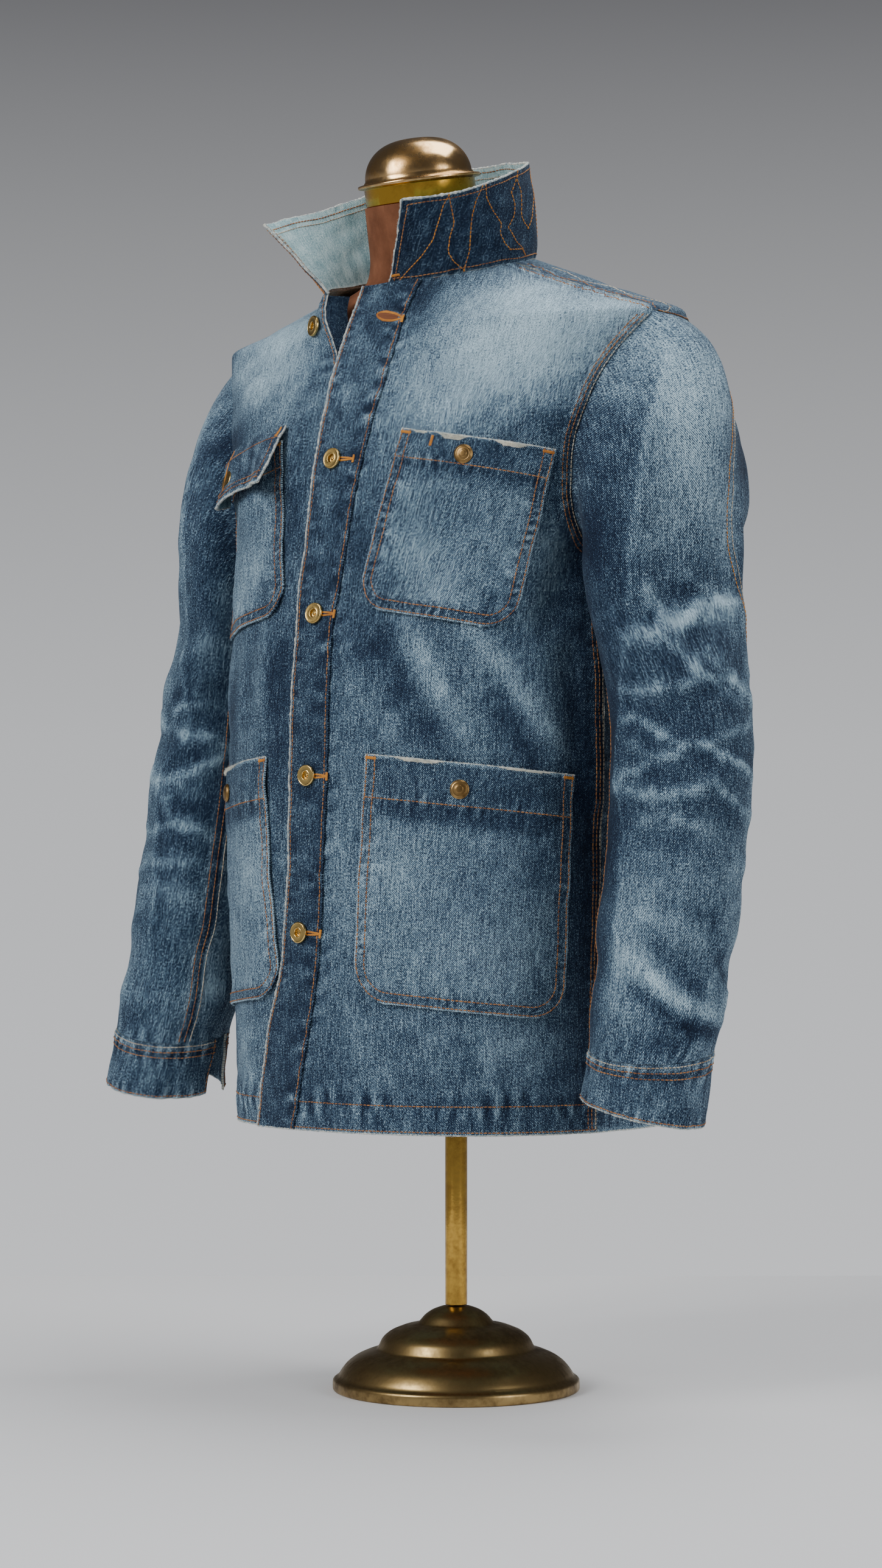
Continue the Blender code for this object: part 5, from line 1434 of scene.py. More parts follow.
for side in (1, -1):
    make_sleeve(side)

# %% [markdown]
# ### The cuffs
#
# A cuff is a plain band that goes on where the sleeve ends. It starts and ends at the slit on the inner
# back of the arm, where one end stands off a little.

# %% The cuffs
CUFF_ROUND = 118
CUFF_ROWS = 20


def cuff_surface(side, place, level, lift=0.0):
    """Points of a cuff: place runs round it from 0 to 1, level from its seam (0) to its edge (1)."""
    first_turn, last_turn = CUFF_ENDS
    turn = first_turn + (last_turn - first_turn) * place
    height = SLEEVE_END - SEAM_GAP - level * CUFF_HEIGHT
    points = ring_points(turn, height)
    round_it = ring_points(turn + 0.01, height) - ring_points(turn - 0.01, height)
    out = unit(np.cross(round_it, np.array((0.0, 0.0, -1.0))))
    away = lift + CUFF_END_AWAY * (1 - smooth_step(0, 0.16, place)) * level
    away = away + 0.0004 * ripple(turn * ARM_GIRTH, height, 0.03, 51 + side)
    points = points + np.asarray(away)[..., None] * out
    seam, edge = np.array(CUFF_SEAM_SLOPE[side]), np.array(CUFF_EDGE_SLOPE[side])
    slope = [seam[k] + (edge[k] - seam[k]) * level for k in (0, 1)]
    return hang(side, points, slope, 1.0)


def make_cuff(side):
    """A cuff, puckered along both its rows."""
    level, place = even_grid(CUFF_ROWS, CUFF_ROUND)
    along = place * ARM_GIRTH
    down = level * CUFF_HEIGHT
    top_ropes = pucker(along, down - 0.008, 0.010, 0.012, 55 + side)
    edge_ropes = pucker(along, CUFF_HEIGHT - down, 0.010, 0.011, 58 + side)
    rib = stripe(down, 0.004, 0.002)
    outer = cuff_surface(side, place, level, 0.0004 * top_ropes + 0.0005 * edge_ropes + 0.0004 * rib)
    wear_and_painted_shade = 0.38 + 0.20 * top_ropes + 0.18 * edge_ropes + 0.06 * ripple(along, down, 0.03, 61 + side)
    # The raised rib is rubbed pale; the band along the rows below it is darkened as painted shade.
    wear_and_painted_shade += 0.18 * rib - 0.12 * stripe(down, 0.010, 0.003)
    wear_and_painted_shade += 0.30 * stripe(down, CUFF_HEIGHT, 0.0016)
    pattern = np.stack([along, -level * CUFF_HEIGHT], axis=-1)
    if side < 0:
        outer, pattern, wear_and_painted_shade = outer[:, ::-1], pattern[:, ::-1], wear_and_painted_shade[:, ::-1]
    cloth(sided("cuff", side), outer, CUFF_CLOTH + 0 * wear_and_painted_shade, pattern, wear_and_painted_shade, (DENIM, DENIM, DENIM_CUT))


for side in (1, -1):
    make_cuff(side)

# %% [markdown]
# ## The collar
#
# The collar stands up round the neck and its two points spread. What shows on the wearer's left is its
# underside, which would be hidden if it lay down: it is dark, hardly worn, and quilted to its stiffener
# with wandering rows of thread. On the right its other face shows, worn almost white.

# %% The collar's surface
COLLAR_STEPS = 111
COLLAR_LEVELS = 32
COLLAR_HALF = 0.25
COLLAR_DEEP = 0.075


def collar_surface(place, level, lift=0.0):
    """Points of the collar: place runs from the left front end (0) over the back (1) to the right (2)."""
    point = np.zeros(np.broadcast(place, level).shape + (3,))
    for side in (1, -1):
        here = place if side > 0 else 2 - place
        start = COLLAR_STARTS[side]
        distance = side * (start + here * (half_round(NECK_HEIGHT) - start))
        neck = np.full_like(distance, NECK_HEIGHT)
        base = front_surface(side)(distance, neck) + np.array((0, 0, SEAM_GAP))
        out = bare_out(distance, neck)
        out[..., 2] = 0
        out = unit(out)
        along = np.stack([-side * out[..., 1], side * out[..., 0], np.zeros_like(distance)], axis=-1)
        rise, flare, swing = (read(COLLAR_ROWS, COLLAR_COLUMNS, name, here) for name in COLLAR_COLUMNS[1:])
        stands_out = flare * level**COLLAR_ROLL + COLLAR_BOW * np.sin(math.pi * level) + lift
        found = base + stands_out[..., None] * out + (swing * level)[..., None] * along
        found = found + (rise * level)[..., None] * np.array((0.0, 0.0, 1.0))
        chosen = place <= 1 if side > 0 else place > 1
        point[chosen] = found[chosen]
    return point


def make_collar():
    """The collar, its outside hardly worn and its inside nearly white."""
    level, place = even_grid(COLLAR_LEVELS, 2 * COLLAR_STEPS - 1, 2)
    along, up = place * COLLAR_HALF, level * COLLAR_DEEP
    end = np.minimum(along, 2 * COLLAR_HALF - along)
    ropes = pucker(along, COLLAR_DEEP - up, 0.0055, 0.008, 65)
    foot_ropes = pucker(along, up, 0.006, 0.009, 66)
    end_ropes = pucker(up, end, 0.006, 0.008, 67)
    relief = 0.0003 * (ropes + foot_ropes + end_ropes) + 0.0005 * ripple(along, up, 0.030, 68)
    outer = collar_surface(place, level, relief)
    wear_and_painted_shade = 0.15 + 0.13 * ropes + 0.10 * foot_ropes + 0.10 * end_ropes + 0.05 * ripple(along, up, 0.016, 69)
    wear_and_painted_shade += 0.30 * stripe(up, 0, 0.0016) + 0.10 * stripe(up, COLLAR_DEEP, 0.002)
    pattern = np.stack([along, up], axis=-1)
    cloth("collar", outer, COLLAR_CLOTH + 0 * wear_and_painted_shade, pattern, wear_and_painted_shade, (DENIM, COLLAR_INSIDE, DENIM_CUT))


make_collar()

# %% [markdown]
# ### The facing of the open corner
#
# Where the top of the right front hangs open, the dark inner layer of its edge shows. It is a narrow
# wedge of its own that starts where the opening does.

# %% The facing of the open corner
FACING_WIDTH = 0.020
FACING_CLOTH = 0.0012
FACING_ROWS = 40
FACING_COLUMNS = 10
FACING_GROWS_OVER = 0.055
FACING_WAY = unit(np.array((0.525, 0.920, 0.0)))


def make_facing():
    """The strip inside the edge of the open corner."""
    heights = np.linspace(OPEN_FROM, NECK_HEIGHT - 0.001, FACING_ROWS)
    height = np.repeat(heights[:, None], FACING_COLUMNS, axis=1)
    edge = right_surface(edge_at(-1, height), height)
    grown = smooth_step(OPEN_FROM, OPEN_FROM + FACING_GROWS_OVER, height)
    across = np.linspace(0, 1, FACING_COLUMNS) * FACING_WIDTH * grown
    outer = edge + across[..., None] * FACING_WAY
    pattern = np.stack([across, height], axis=-1)
    wear_and_painted_shade = 0.16 + 0.06 * pucker(height, across, 0.012, 0.010, 95)
    cloth("facing_right", outer, FACING_CLOTH + 0 * wear_and_painted_shade, pattern, wear_and_painted_shade, FOLDED_SET)


make_facing()

# %% [markdown]
# ## Placket, pockets and flap
#
# These lie on the fronts, so each is made from the front's own points moved out by the gap and the
# cloth's thickness. A crease of the front then shows through them too, as it does in real cloth.

# %% The placket
PLACKET_COLUMNS = 24
ON_FRONT = LIE_GAP + CLOTH


def make_placket():
    """The band that the buttonholes go through, its selvedge turned under."""
    heights, _ = panel_rows(SIDE_SEAM_SHARE, 0.0, ARMHOLE_STEPS[1])
    height = np.repeat(heights[:, None], PLACKET_COLUMNS, axis=1)
    width = read(PLACKET_LINE_ROWS, PLACKET_LINE_COLUMNS, "width", height)
    from_edge = np.linspace(0, 1, PLACKET_COLUMNS) * (width + PLACKET_MARGIN)
    distance = edge_at(1, height) + from_edge
    ropes = pucker(height, from_edge - 0.004, 0.007, 0.011, 71)
    far_ropes = pucker(height, from_edge - width + 0.003, 0.009, 0.014, 72)
    wear_and_painted_shade = 0.25 - 0.04 * smooth_step(0.74, 0.66, height) + 0.12 * ropes + 0.20 * far_ropes
    wear_and_painted_shade += 0.05 * ripple(distance, height, 0.03, 73)
    near_top = smooth_step(0.78, 0.83, height) * (1 - smooth_step(0.86, 0.90, height))
    wear_and_painted_shade += 0.07 * stripe(from_edge, 0.018, 0.010) + 0.12 * near_top
    wear_and_painted_shade += 0.25 * stripe(from_edge, 0, 0.0016)
    band = 1 - smooth_step(0.0, 0.0018, width + 0.001 - from_edge)
    outer = body_surface(distance, height, ON_FRONT + 0.0003 * ropes + 0.0005 * far_ropes - 0.0006 * band)
    pattern = np.stack([distance, run_up(outer)], axis=-1)
    cloth("placket_left", outer, CLOTH + 0 * wear_and_painted_shade, pattern, wear_and_painted_shade, FOLDED_SET)


make_placket()

# %% The pockets
POCKET_ACROSS = 50
POCKET_STRAIGHT = 52
POCKET_BEND = 14
POCKET_HEM = {"pocket_chest": 0.0245, "pocket_lower": 0.0350}
POCKET_WEAR = {"pocket_chest": (0.28, 0.56), "pocket_lower": (0.36, 0.56)}
# Places on a pocket: distance in from its side nearer the opening, and down from its top.
POCKET_SPOTS = {
    "pocket_chest": (
        (0.020, 0.015, 0.010, 0.014, 0.22),
        (0.050, 0.006, 0.012, 0.006, 0.14),
        (0.110, 0.012, 0.010, 0.010, 0.15),
        (0.060, 0.060, 0.034, 0.018, -0.10),
        (0.045, 0.100, 0.014, 0.014, 0.14),
        (0.070, 0.125, 0.014, 0.014, 0.16),
        (0.024, 0.124, 0.011, 0.014, -0.20),
        (0.112, 0.125, 0.012, 0.018, -0.16),
        (0.127, 0.080, 0.006, 0.040, 0.14),
    ),
    "pocket_lower": (
        (0.130, 0.022, 0.040, 0.012, -0.12),
        (0.120, 0.046, 0.060, 0.008, -0.24),
        (0.040, 0.044, 0.030, 0.006, -0.16),
        (0.152, 0.072, 0.016, 0.022, -0.24),
        (0.110, 0.090, 0.040, 0.030, -0.08),
        (0.007, 0.115, 0.007, 0.070, 0.24),
        (0.034, 0.092, 0.022, 0.022, 0.15),
        (0.085, 0.150, 0.040, 0.030, 0.05),
        (0.154, 0.174, 0.010, 0.014, -0.20),
    ),
}


def pocket_size(kind):
    """A pocket's sizes by their names."""
    return dict(zip(POCKET_COLUMNS, POCKETS[kind]))


def pocket_surface(kind, side, across, down, lift=0.0):
    """Points on a pocket: across runs from its side nearer the opening (0) to the other (1)."""
    size = pocket_size(kind)
    near = size["near"] - size["near_lean"] * down
    far = size["far"] - size["far_lean"] * down
    top = size["near_top"] + across * (size["far_top"] - size["near_top"])
    return front_surface(side)(side * (near + across * (far - near)), top - down, ON_FRONT + lift)


def pocket_width(kind, down):
    """A pocket's width this far down from its top."""
    size = pocket_size(kind)
    return size["far"] - size["near"] + (size["near_lean"] - size["far_lean"]) * down


def make_pocket(kind, side):
    """A patch pocket with its turned hem and the edge that is folded in all round."""
    size = pocket_size(kind)
    straight = size["depth"] - size["corner"]
    bend = np.linspace(0, math.pi / 2, POCKET_BEND)[1:]
    upper = np.linspace(0, straight, POCKET_STRAIGHT)
    down = np.concatenate([upper, straight + size["corner"] * np.sin(bend)])
    draw = np.concatenate([np.zeros(POCKET_STRAIGHT), size["corner"] * (1 - np.cos(bend))])
    width = pocket_width(kind, down)
    share = np.linspace(0, 1, POCKET_ACROSS)
    inset = draw[:, None] + share * (width - 2 * draw)[:, None]
    across = inset / width[:, None]
    down = np.repeat(down[:, None], POCKET_ACROSS, axis=1)
    width = width[:, None]
    to_side = np.minimum(inset, width - inset)
    to_rim = np.minimum(to_side, size["depth"] - down)
    seed = (80 if kind == "pocket_chest" else 84) + side
    around = np.where(to_side < size["depth"] - down, down, inset)
    ropes = pucker(around, to_rim - 0.0055, 0.0042, 0.0065, seed)
    inner_ropes = pucker(around, to_rim - 0.013, 0.005, 0.011, seed + 10)
    hem_line = down - POCKET_HEM[kind]
    hem = 1 - smooth_step(-0.0003, 0.0015, hem_line)
    hem_ropes = pucker(inset, hem_line, 0.006, 0.009, seed + 20)
    below = smooth_step(0, 0.02, hem_line)
    band = 1 - smooth_step(0.0088, 0.0100, to_rim)
    lift = 0.0006 * hem + 0.0006 * band + 0.0002 * ropes + 0.00025 * inner_ropes + 0.0003 * hem_ropes
    lift = lift + 0.0004 * ripple(inset, down, 0.035, seed + 1)
    dark, pale = POCKET_WEAR[kind]
    wear_and_painted_shade = dark + (pale - dark) * below * (1 - 0.75 * band) + spots(POCKET_SPOTS[kind], inset, down)
    wear_and_painted_shade += 0.20 * ropes * below + 0.08 * inner_ropes + 0.20 * hem_ropes
    wear_and_painted_shade += 0.02 * ripple(inset, down, 0.02, seed + 2)
    # Painted shadow just under the hem's folded edge, the edge itself rubbed pale, and painted shade along
    # the inside of the folded-in band.
    wear_and_painted_shade -= 0.10 * stripe(hem_line, 0.0025, 0.002) - 0.10 * stripe(hem_line, -0.002, 0.0015)
    wear_and_painted_shade -= 0.10 * stripe(to_rim, 0.0105, 0.002) * below
    wear_and_painted_shade += 0.40 * stripe(to_rim, 0, 0.0015) + 0.35 * stripe(down, 0, 0.0012)
    outer = pocket_surface(kind, side, across, down, lift)
    pattern = np.stack([side * inset, -down], axis=-1)
    outer, pattern, wear_and_painted_shade = outer[::-1], pattern[::-1], wear_and_painted_shade[::-1]
    if side < 0:
        outer, pattern, wear_and_painted_shade = outer[:, ::-1], pattern[:, ::-1], wear_and_painted_shade[:, ::-1]
    cloth(sided(kind, side), outer, CLOTH + 0 * wear_and_painted_shade, pattern, wear_and_painted_shade, FOLDED_SET)


for kind in POCKETS:
    for side in (1, -1):
        make_pocket(kind, side)

# %% The flap
FLAP_ROWS = 28
FLAP_COLUMNS = 70
FLAP_ALONG = 0.13
FLAP_DEEP = 0.05


def flap_surface(place, share, lift=0.0):
    """Points of the flap's outer face: place runs along it, share from its seam (0) to its edge (1)."""
    across = FLAP_SIDE * (2 * place - 1) + place
    wave = np.sin(math.tau * (FLAP_WAVES * place + FLAP_WAVE_START))
    lifted = FLAP_LIFT + FLAP_CORNER_LIFT * (1 - smooth_step(0, 0.35, place)) + FLAP_WAVE * wave
    over_pocket = smooth_step(0, FLAP_ABOVE / FLAP_DROP, share) * (LIE_GAP + CLOTH + LIE_GAP)
    out = SEAM_GAP + FLAP_CLOTH + over_pocket + share**1.3 * lifted + lift
    drop = FLAP_DROP * (1 - FLAP_SKEW * place) + FLAP_DIP * wave
    return pocket_surface("pocket_chest", -1, across, share * drop - FLAP_ABOVE, out - ON_FRONT)


def make_flap():
    """The flap over the right chest pocket."""
    share, place = np.meshgrid(np.linspace(1, 0, FLAP_ROWS), np.linspace(1, 0, FLAP_COLUMNS), indexing="ij")
    along, down, up = place * FLAP_ALONG, share * FLAP_DEEP, (1 - share) * FLAP_DEEP
    ropes = pucker(along, up, 0.009, 0.009, 91)
    seam = stripe(share, 0, 0.14)
    lift = 0.0003 * ropes + 0.0012 * seam * (0.6 + 0.4 * ripple(along, down, 0.02, 92))
    wear_and_painted_shade = 0.34 + 0.16 * ropes + 0.08 * seam + 0.06 * ripple(along, down, 0.02, 93)
    wear_and_painted_shade += 0.35 * stripe(up, 0, 0.0015)
    outer = flap_surface(place, share, lift)
    pattern = np.stack([-along, -down], axis=-1)
    cloth("flap_chest_right", outer, FLAP_CLOTH + 0 * wear_and_painted_shade, pattern, wear_and_painted_shade, DENIM_SET)


make_flap()

# %% [markdown]
# ## The dress form and its stand
#
# The form is one smooth torso of level cuts. Only its neck and its underside show. The cap, the pole and
# the base are turned on a lathe, so each is a profile spun once round, with rounded corners that catch
# the light.

# %% The form
# A level cut of the form: height, half width, front, back, rise.
FORM_ROWS = (
    (0.330, 0.135, -0.108, 0.088, 0.000),
    (0.345, 0.152, -0.124, 0.104, 0.000),
    (0.440, 0.164, -0.134, 0.112, 0.000),
    (0.560, 0.150, -0.126, 0.100, 0.000),
    (0.680, 0.162, -0.134, 0.112, 0.000),
    (0.780, 0.178, -0.134, 0.116, 0.010),
    (0.840, 0.196, -0.124, 0.112, 0.070),
)
FORM_SHOULDER_ROWS = ((0.872, 0.018), (0.888, 0.012), (0.900, 0.002), (0.912, 0.000), (0.924, 0.000))
FORM_INSET = 0.006
FORM_DROP = 0.0022
FORM_NECK_ROWS = (
    (0.938, 0.060, -0.024, 0.150),
    (0.952, 0.053, -0.030, 0.160),
    (0.975, 0.0495, -0.038, 0.180),
    (0.998, 0.0480, -0.044, 0.1944),
)
FORM_ROUND = 96
FORM_LEVELS = 100
FORM_SLIM = 0.991
JERSEY_ROUND = 0.32


def finished(name, shape, sharp, finish):
    """The object made of a shape, smooth but for the edges that bend by more than sharp degrees."""
    mesh = bpy.data.meshes.new(name)
    shape.to_mesh(mesh)
    shape.free()
    mesh.shade_smooth()
    mesh.set_sharp_from_angle(angle=math.radians(sharp))
    mesh.materials.append(finish)
    return placed(name, mesh)


def form_cuts():
    """(height, half width, front, back, rise) of every named cut of the form, from its foot to its neck."""
    cuts = [list(row) for row in FORM_ROWS]
    for height, side_inset in FORM_SHOULDER_ROWS:
        body = {name: float(read(BODY_ROWS, BODY_COLUMNS, name, height)) for name in BODY_COLUMNS[1:]}
        ends = (body["front"] + FORM_INSET, body["back"] - FORM_INSET)
        cuts.append([height - FORM_DROP, body["half_width"] - side_inset, *ends, body["rise"]])
    for height, radius, fore_aft, lean in FORM_NECK_ROWS:
        pivot = height + lean * (RISE_PIVOT - fore_aft)
        cuts.append([pivot, radius, fore_aft - radius, fore_aft + radius, lean])
    return np.array(cuts)


def make_form():
    """The form's torso and neck, closed at both ends."""
    cuts = form_cuts()
    order = np.arange(len(cuts), dtype=float)
    places = np.linspace(0, len(cuts) - 1, FORM_LEVELS)
    height, half_width, front, back, rise = (
        curve_through(order, column, places)[:, None] for column in cuts.T
    )
    angle = np.linspace(0, math.tau, FORM_ROUND + 1)[None, :-1]
    x = FORM_SLIM * half_width * np.sin(angle)
    y = (front + back) / 2 - FORM_SLIM * (back - front) / 2 * np.cos(angle)
    grid = np.stack([x, y, height + rise * (y - RISE_PIVOT)], axis=-1)
    shape = bmesh.new()
    rings = [[shape.verts.new(point) for point in ring] for ring in grid]
    layer = shape.loops.layers.uv.new("pattern")
    up = run_up(grid)
    for i in range(len(rings) - 1):
        for j in range(FORM_ROUND):
            k = (j + 1) % FORM_ROUND
            face = shape.faces.new((rings[i][j], rings[i][k], rings[i + 1][k], rings[i + 1][j]))
            for loop, (a, b) in zip(face.loops, ((i, j), (i, j + 1), (i + 1, j + 1), (i + 1, j))):
                loop[layer].uv = (b * JERSEY_ROUND / FORM_ROUND, up[a][0])
    shape.faces.new(rings[0][::-1])
    shape.faces.new(rings[-1])
    return finished("form_body", shape, 50, JERSEY)


form_body = make_form()

# %% Turned brass


def rounded(profile, radius, steps=4):
    """A profile with each inner corner replaced by a small arc."""
    profile = [np.array(point, float) for point in profile]
    result = [profile[0]]
    for before, corner, after in zip(profile, profile[1:], profile[2:]):
        back, on = before - corner, after - corner
        size = min(radius, 0.45 * np.linalg.norm(back), 0.45 * np.linalg.norm(on))
        start, end = corner + size * unit(back), corner + size * unit(on)
        for t in np.linspace(0, 1, steps):
            result.append((1 - t) ** 2 * start + 2 * t * (1 - t) * corner + t**2 * end)
    return result + [profile[-1]]


def turned(name, profile, steps, finish, place=None):
    """A closed solid of revolution from the middle of its underside to the middle of its top."""
    shape = bmesh.new()
    chain = [shape.verts.new((radius, 0, height)) for radius, height in profile]
    edges = [shape.edges.new(pair) for pair in zip(chain, chain[1:])]
    bmesh.ops.spin(
        shape, geom=chain + edges, axis=(0, 0, 1), cent=(0, 0, 0), angle=math.tau, steps=steps, use_merge=True
    )
    bmesh.ops.remove_doubles(shape, verts=shape.verts, dist=1e-6)
    bmesh.ops.recalc_face_normals(shape, faces=shape.faces)
    if shape.calc_volume(signed=True) < 0:
        bmesh.ops.reverse_faces(shape, faces=shape.faces)
    if place is not None:
        bmesh.ops.transform(shape, matrix=place, verts=shape.verts)
    return finished(name, shape, 38, finish)


POLE_RADIUS = 0.0094
POLE_LOW = 0.0715
POLE_HIGH = 0.3297
BASE_PROFILE = (
    (0.0000, 0.0000),
    (0.1032, 0.0000),
    (0.1045, 0.0013),
    (0.1045, 0.0092),
    (0.1000, 0.0115),
    (0.0975, 0.0160),
    (0.0925, 0.0225),
    (0.0850, 0.0280),
    (0.0750, 0.0322),
    (0.0670, 0.0345),
    (0.0655, 0.0372),
    (0.0625, 0.0435),
    (0.0560, 0.0490),
    (0.0440, 0.0538),
    (0.0325, 0.0560),
    (0.0305, 0.0582),
    (0.0265, 0.0630),
    (0.0205, 0.0672),
    (0.0112, 0.0706),
    (0.0000, 0.0712),
)
CAP_LEAN = math.radians(11)
CAP_PLACE = Matrix.Translation(Vector((0, -0.044, 0.998))) @ Matrix.Rotation(CAP_LEAN, 4, "X")
CAP_PROFILE = (
    (0.0000, 0.0003),
    (0.0465, 0.0003),
    (0.0465, 0.0150),
    (0.0515, 0.0160),
    (0.0515, 0.0185),
    (0.0465, 0.0195),
)
CAP_DOME_RADIUS = 0.0450
CAP_DOME_FOOT = 0.0200
CAP_DOME_HEIGHT = 0.0330
CAP_DOME_SQUARE = 0.75
CAP_BAND_TOP = 0.0152

base = turned("base_turned", rounded(BASE_PROFILE, 0.004), 128, BASE_BRASS)
pole_profile = ((0, POLE_LOW), (POLE_RADIUS, POLE_LOW), (POLE_RADIUS, POLE_HIGH), (0, POLE_HIGH))
pole = turned("pole_turned", rounded(pole_profile, 0.0006), 64, POLE_BRASS)
dome = [
    (CAP_DOME_RADIUS * math.cos(a) ** CAP_DOME_SQUARE, CAP_DOME_FOOT + CAP_DOME_HEIGHT * math.sin(a))
    for a in np.linspace(0.05, math.pi / 2, 24)
]
dome[-1] = (0.0, dome[-1][1])
cap = turned("cap_turned", rounded(CAP_PROFILE, 0.0008) + dome, 96, CAP_BRASS, CAP_PLACE)
# The band below the lip takes the darker brass, its painted shade.
cap.data.materials.append(SHADED_BAND_BRASS)
upright = CAP_PLACE.inverted()
for polygon in cap.data.polygons:
    polygon.material_index = int((upright @ polygon.center).z < CAP_BAND_TOP)

# %% [markdown]
# ### Buttons, snaps and the tack
#
# Their profiles are given for a radius of 1. Each is turned upright and then placed, its axis along the
# way out of the cloth that it sits on.

# %% Buttons, snaps and the tack
BUTTON_RADIUS = 0.0087
SNAP_RADIUS = 0.0078
TACK_RADIUS = 0.0048
BUTTON_HEIGHTS = (0.776, 0.647, 0.516, 0.389)
BUTTON_INSET = 0.020
NECK_BUTTON_HEIGHT = 0.905
SNAP_ACROSS = 0.46
SNAP_DOWN = {"pocket_chest": 0.0145, "pocket_lower": 0.0205}
FITTING_GAP = 0.0005
FITTING_STEPS = 40
BUTTON_PROFILE = (
    (0.00, 0.00), (0.94, 0.00), (1.00, 0.07), (1.00, 0.24), (0.95, 0.33),
    (0.88, 0.345), (0.85, 0.32), (0.50, 0.32), (0.46, 0.345), (0.40, 0.33),
    (0.36, 0.24), (0.34, 0.03), (0.12, 0.03), (0.10, 0.15), (0.00, 0.16),
)
SNAP_PROFILE = (
    (0.00, 0.00), (0.96, 0.00), (1.00, 0.04), (1.00, 0.13), (0.95, 0.17),
    (0.90, 0.20), (0.84, 0.30), (0.70, 0.36), (0.66, 0.345), (0.52, 0.37),
    (0.40, 0.40), (0.36, 0.44), (0.20, 0.46), (0.00, 0.465),
)
TACK_PROFILE = ((0.0, 0.0), (1.0, 0.0), (1.0, 0.125), (0.6, 0.333), (0.0, 0.417))


def facing(point, out):
    """The placement that turns +Z along out at a point."""
    z = Vector(out).normalized()
    x = Vector((0, 0, 1)).cross(z).normalized()
    turn = Matrix((x, z.cross(x), z)).transposed().to_4x4()
    return Matrix.Translation(Vector(point)) @ turn


def way_out(surface, u, v, step_u, step_v, turn=1):
    """The way out of a surface at one place."""
    u, v = np.array([u]), np.array([v])
    across = surface(u + step_u, v) - surface(u - step_u, v)
    up = surface(u, v + step_v) - surface(u, v - step_v)
    return turn * unit(np.cross(across, up))[0]


def fitting(name, profile, radius, point, out, finish=FITTING_BRASS):
    """A button, snap or tack that sits at a point."""
    scaled = [(r * radius, h * radius) for r, h in profile]
    return turned(name, rounded(scaled, 0.0003, 3), FITTING_STEPS, finish, facing(point, out))


def one(value):
    """A single value as an array."""
    return np.array([value])


brass_pieces = {}
for number, height in enumerate(BUTTON_HEIGHTS, 1):
    distance = float(edge_at(1, height)) + BUTTON_INSET
    point = body_surface(one(distance), one(height), ON_FRONT + FITTING_GAP)[0]
    out = way_out(body_surface, distance, height, 0.006, 0.006)
    name = f"button_{number}"
    brass_pieces[name] = fitting(f"tack_{name}", BUTTON_PROFILE, BUTTON_RADIUS, point, out, BUTTON_BRASS)

neck_distance = float(edge_at(-1, NECK_BUTTON_HEIGHT)) - BUTTON_INSET
neck_point = right_surface(one(neck_distance), one(NECK_BUTTON_HEIGHT))[0]
neck_out = way_out(right_surface, neck_distance, NECK_BUTTON_HEIGHT, 0.004, 0.004)
brass_pieces["button_neck"] = fitting(
    "tack_button_neck", BUTTON_PROFILE, BUTTON_RADIUS, neck_point + LIE_GAP * neck_out, neck_out, BUTTON_BRASS
)
brass_pieces["button_neck_back"] = fitting(
    "tack_back_neck", TACK_PROFILE, TACK_RADIUS, neck_point - (CLOTH + 1.5 * LIE_GAP) * neck_out, -neck_out
)
for kind, side, name in (
    ("pocket_chest", 1, "snap_chest_left"),
    ("pocket_lower", 1, "snap_lower_left"),
    ("pocket_lower", -1, "snap_lower_right"),
):
    down = SNAP_DOWN[kind]

    def here(across, depth, kind=kind, side=side):
        return pocket_surface(kind, side, across, depth, FITTING_GAP)

    point = here(one(SNAP_ACROSS), one(down))[0]
    out = way_out(here, SNAP_ACROSS, down, 0.03, 0.004, -side)
    brass_pieces[name] = fitting(name.replace("snap", "snap_cap"), SNAP_PROFILE, SNAP_RADIUS, point, out)

# %% [markdown]
# ## Thread
#
# A jacket like this is held together by some fifteen metres of stitching, and every stitch shows. Each
# row is first a bent line that lies on the finished cloth, with the way out of the cloth stored at each
# of its points. Geometry Nodes then cuts the line into even lengths and lays one small grain of thread
# on each. The same tree, with short steps and the grains turned across the line, makes the dense bars
# at corners and the rims of buttonholes.

# %% Laying a line on the cloth
trees = {}


def laid(name, points, lift=0.0001, face=OUTSIDE):
    """The places of a piece's outer or inner face nearest to some points, and the way out at each."""
    if (name, face) not in trees:
        mesh = pieces[name].data
        corners = [tuple(polygon.vertices) for polygon in mesh.polygons if polygon.material_index == face]
        trees[name, face] = BVHTree.FromPolygons([vertex.co for vertex in mesh.vertices], corners)
    found = [trees[name, face].find_nearest(Vector(point)) for point in points]
    place, out = (np.array([item[k] for item in found]) for k in (0, 1))
    soft = np.concatenate([out[:1], out, out[-1:]])
    out = unit(soft[:-2] + soft[1:-1] + soft[2:])
    return place + lift * out, out


def between(points, count):
    """A bent line through some places, with this many points at even steps."""
    points = np.array(points, float)
    gone = np.concatenate([[0], np.cumsum(np.linalg.norm(np.diff(points, axis=0), axis=1))])
    at = np.linspace(0, gone[-1], count)
    return np.stack([np.interp(at, gone, points[:, k]) for k in range(points.shape[1])], axis=1)


def offset(line, away):
    """A bent line of flat places, moved to its left."""
    step = np.gradient(line, axis=0)
    side = unit(np.stack([-step[:, 1], step[:, 0]], axis=1))
    return line + away * side


rows = {"rust": [], "orange": [], "cream": [], "bars": [], "holes": []}


def level_row(count, value):
    """The same value for every point of a row."""
    return np.full(count, value)


def stitch(kind, name, points, face=OUTSIDE):
    """Adds a row of thread along some points on a piece."""
    rows[kind].append(laid(name, points, face=face))


# %% The tree for stitches


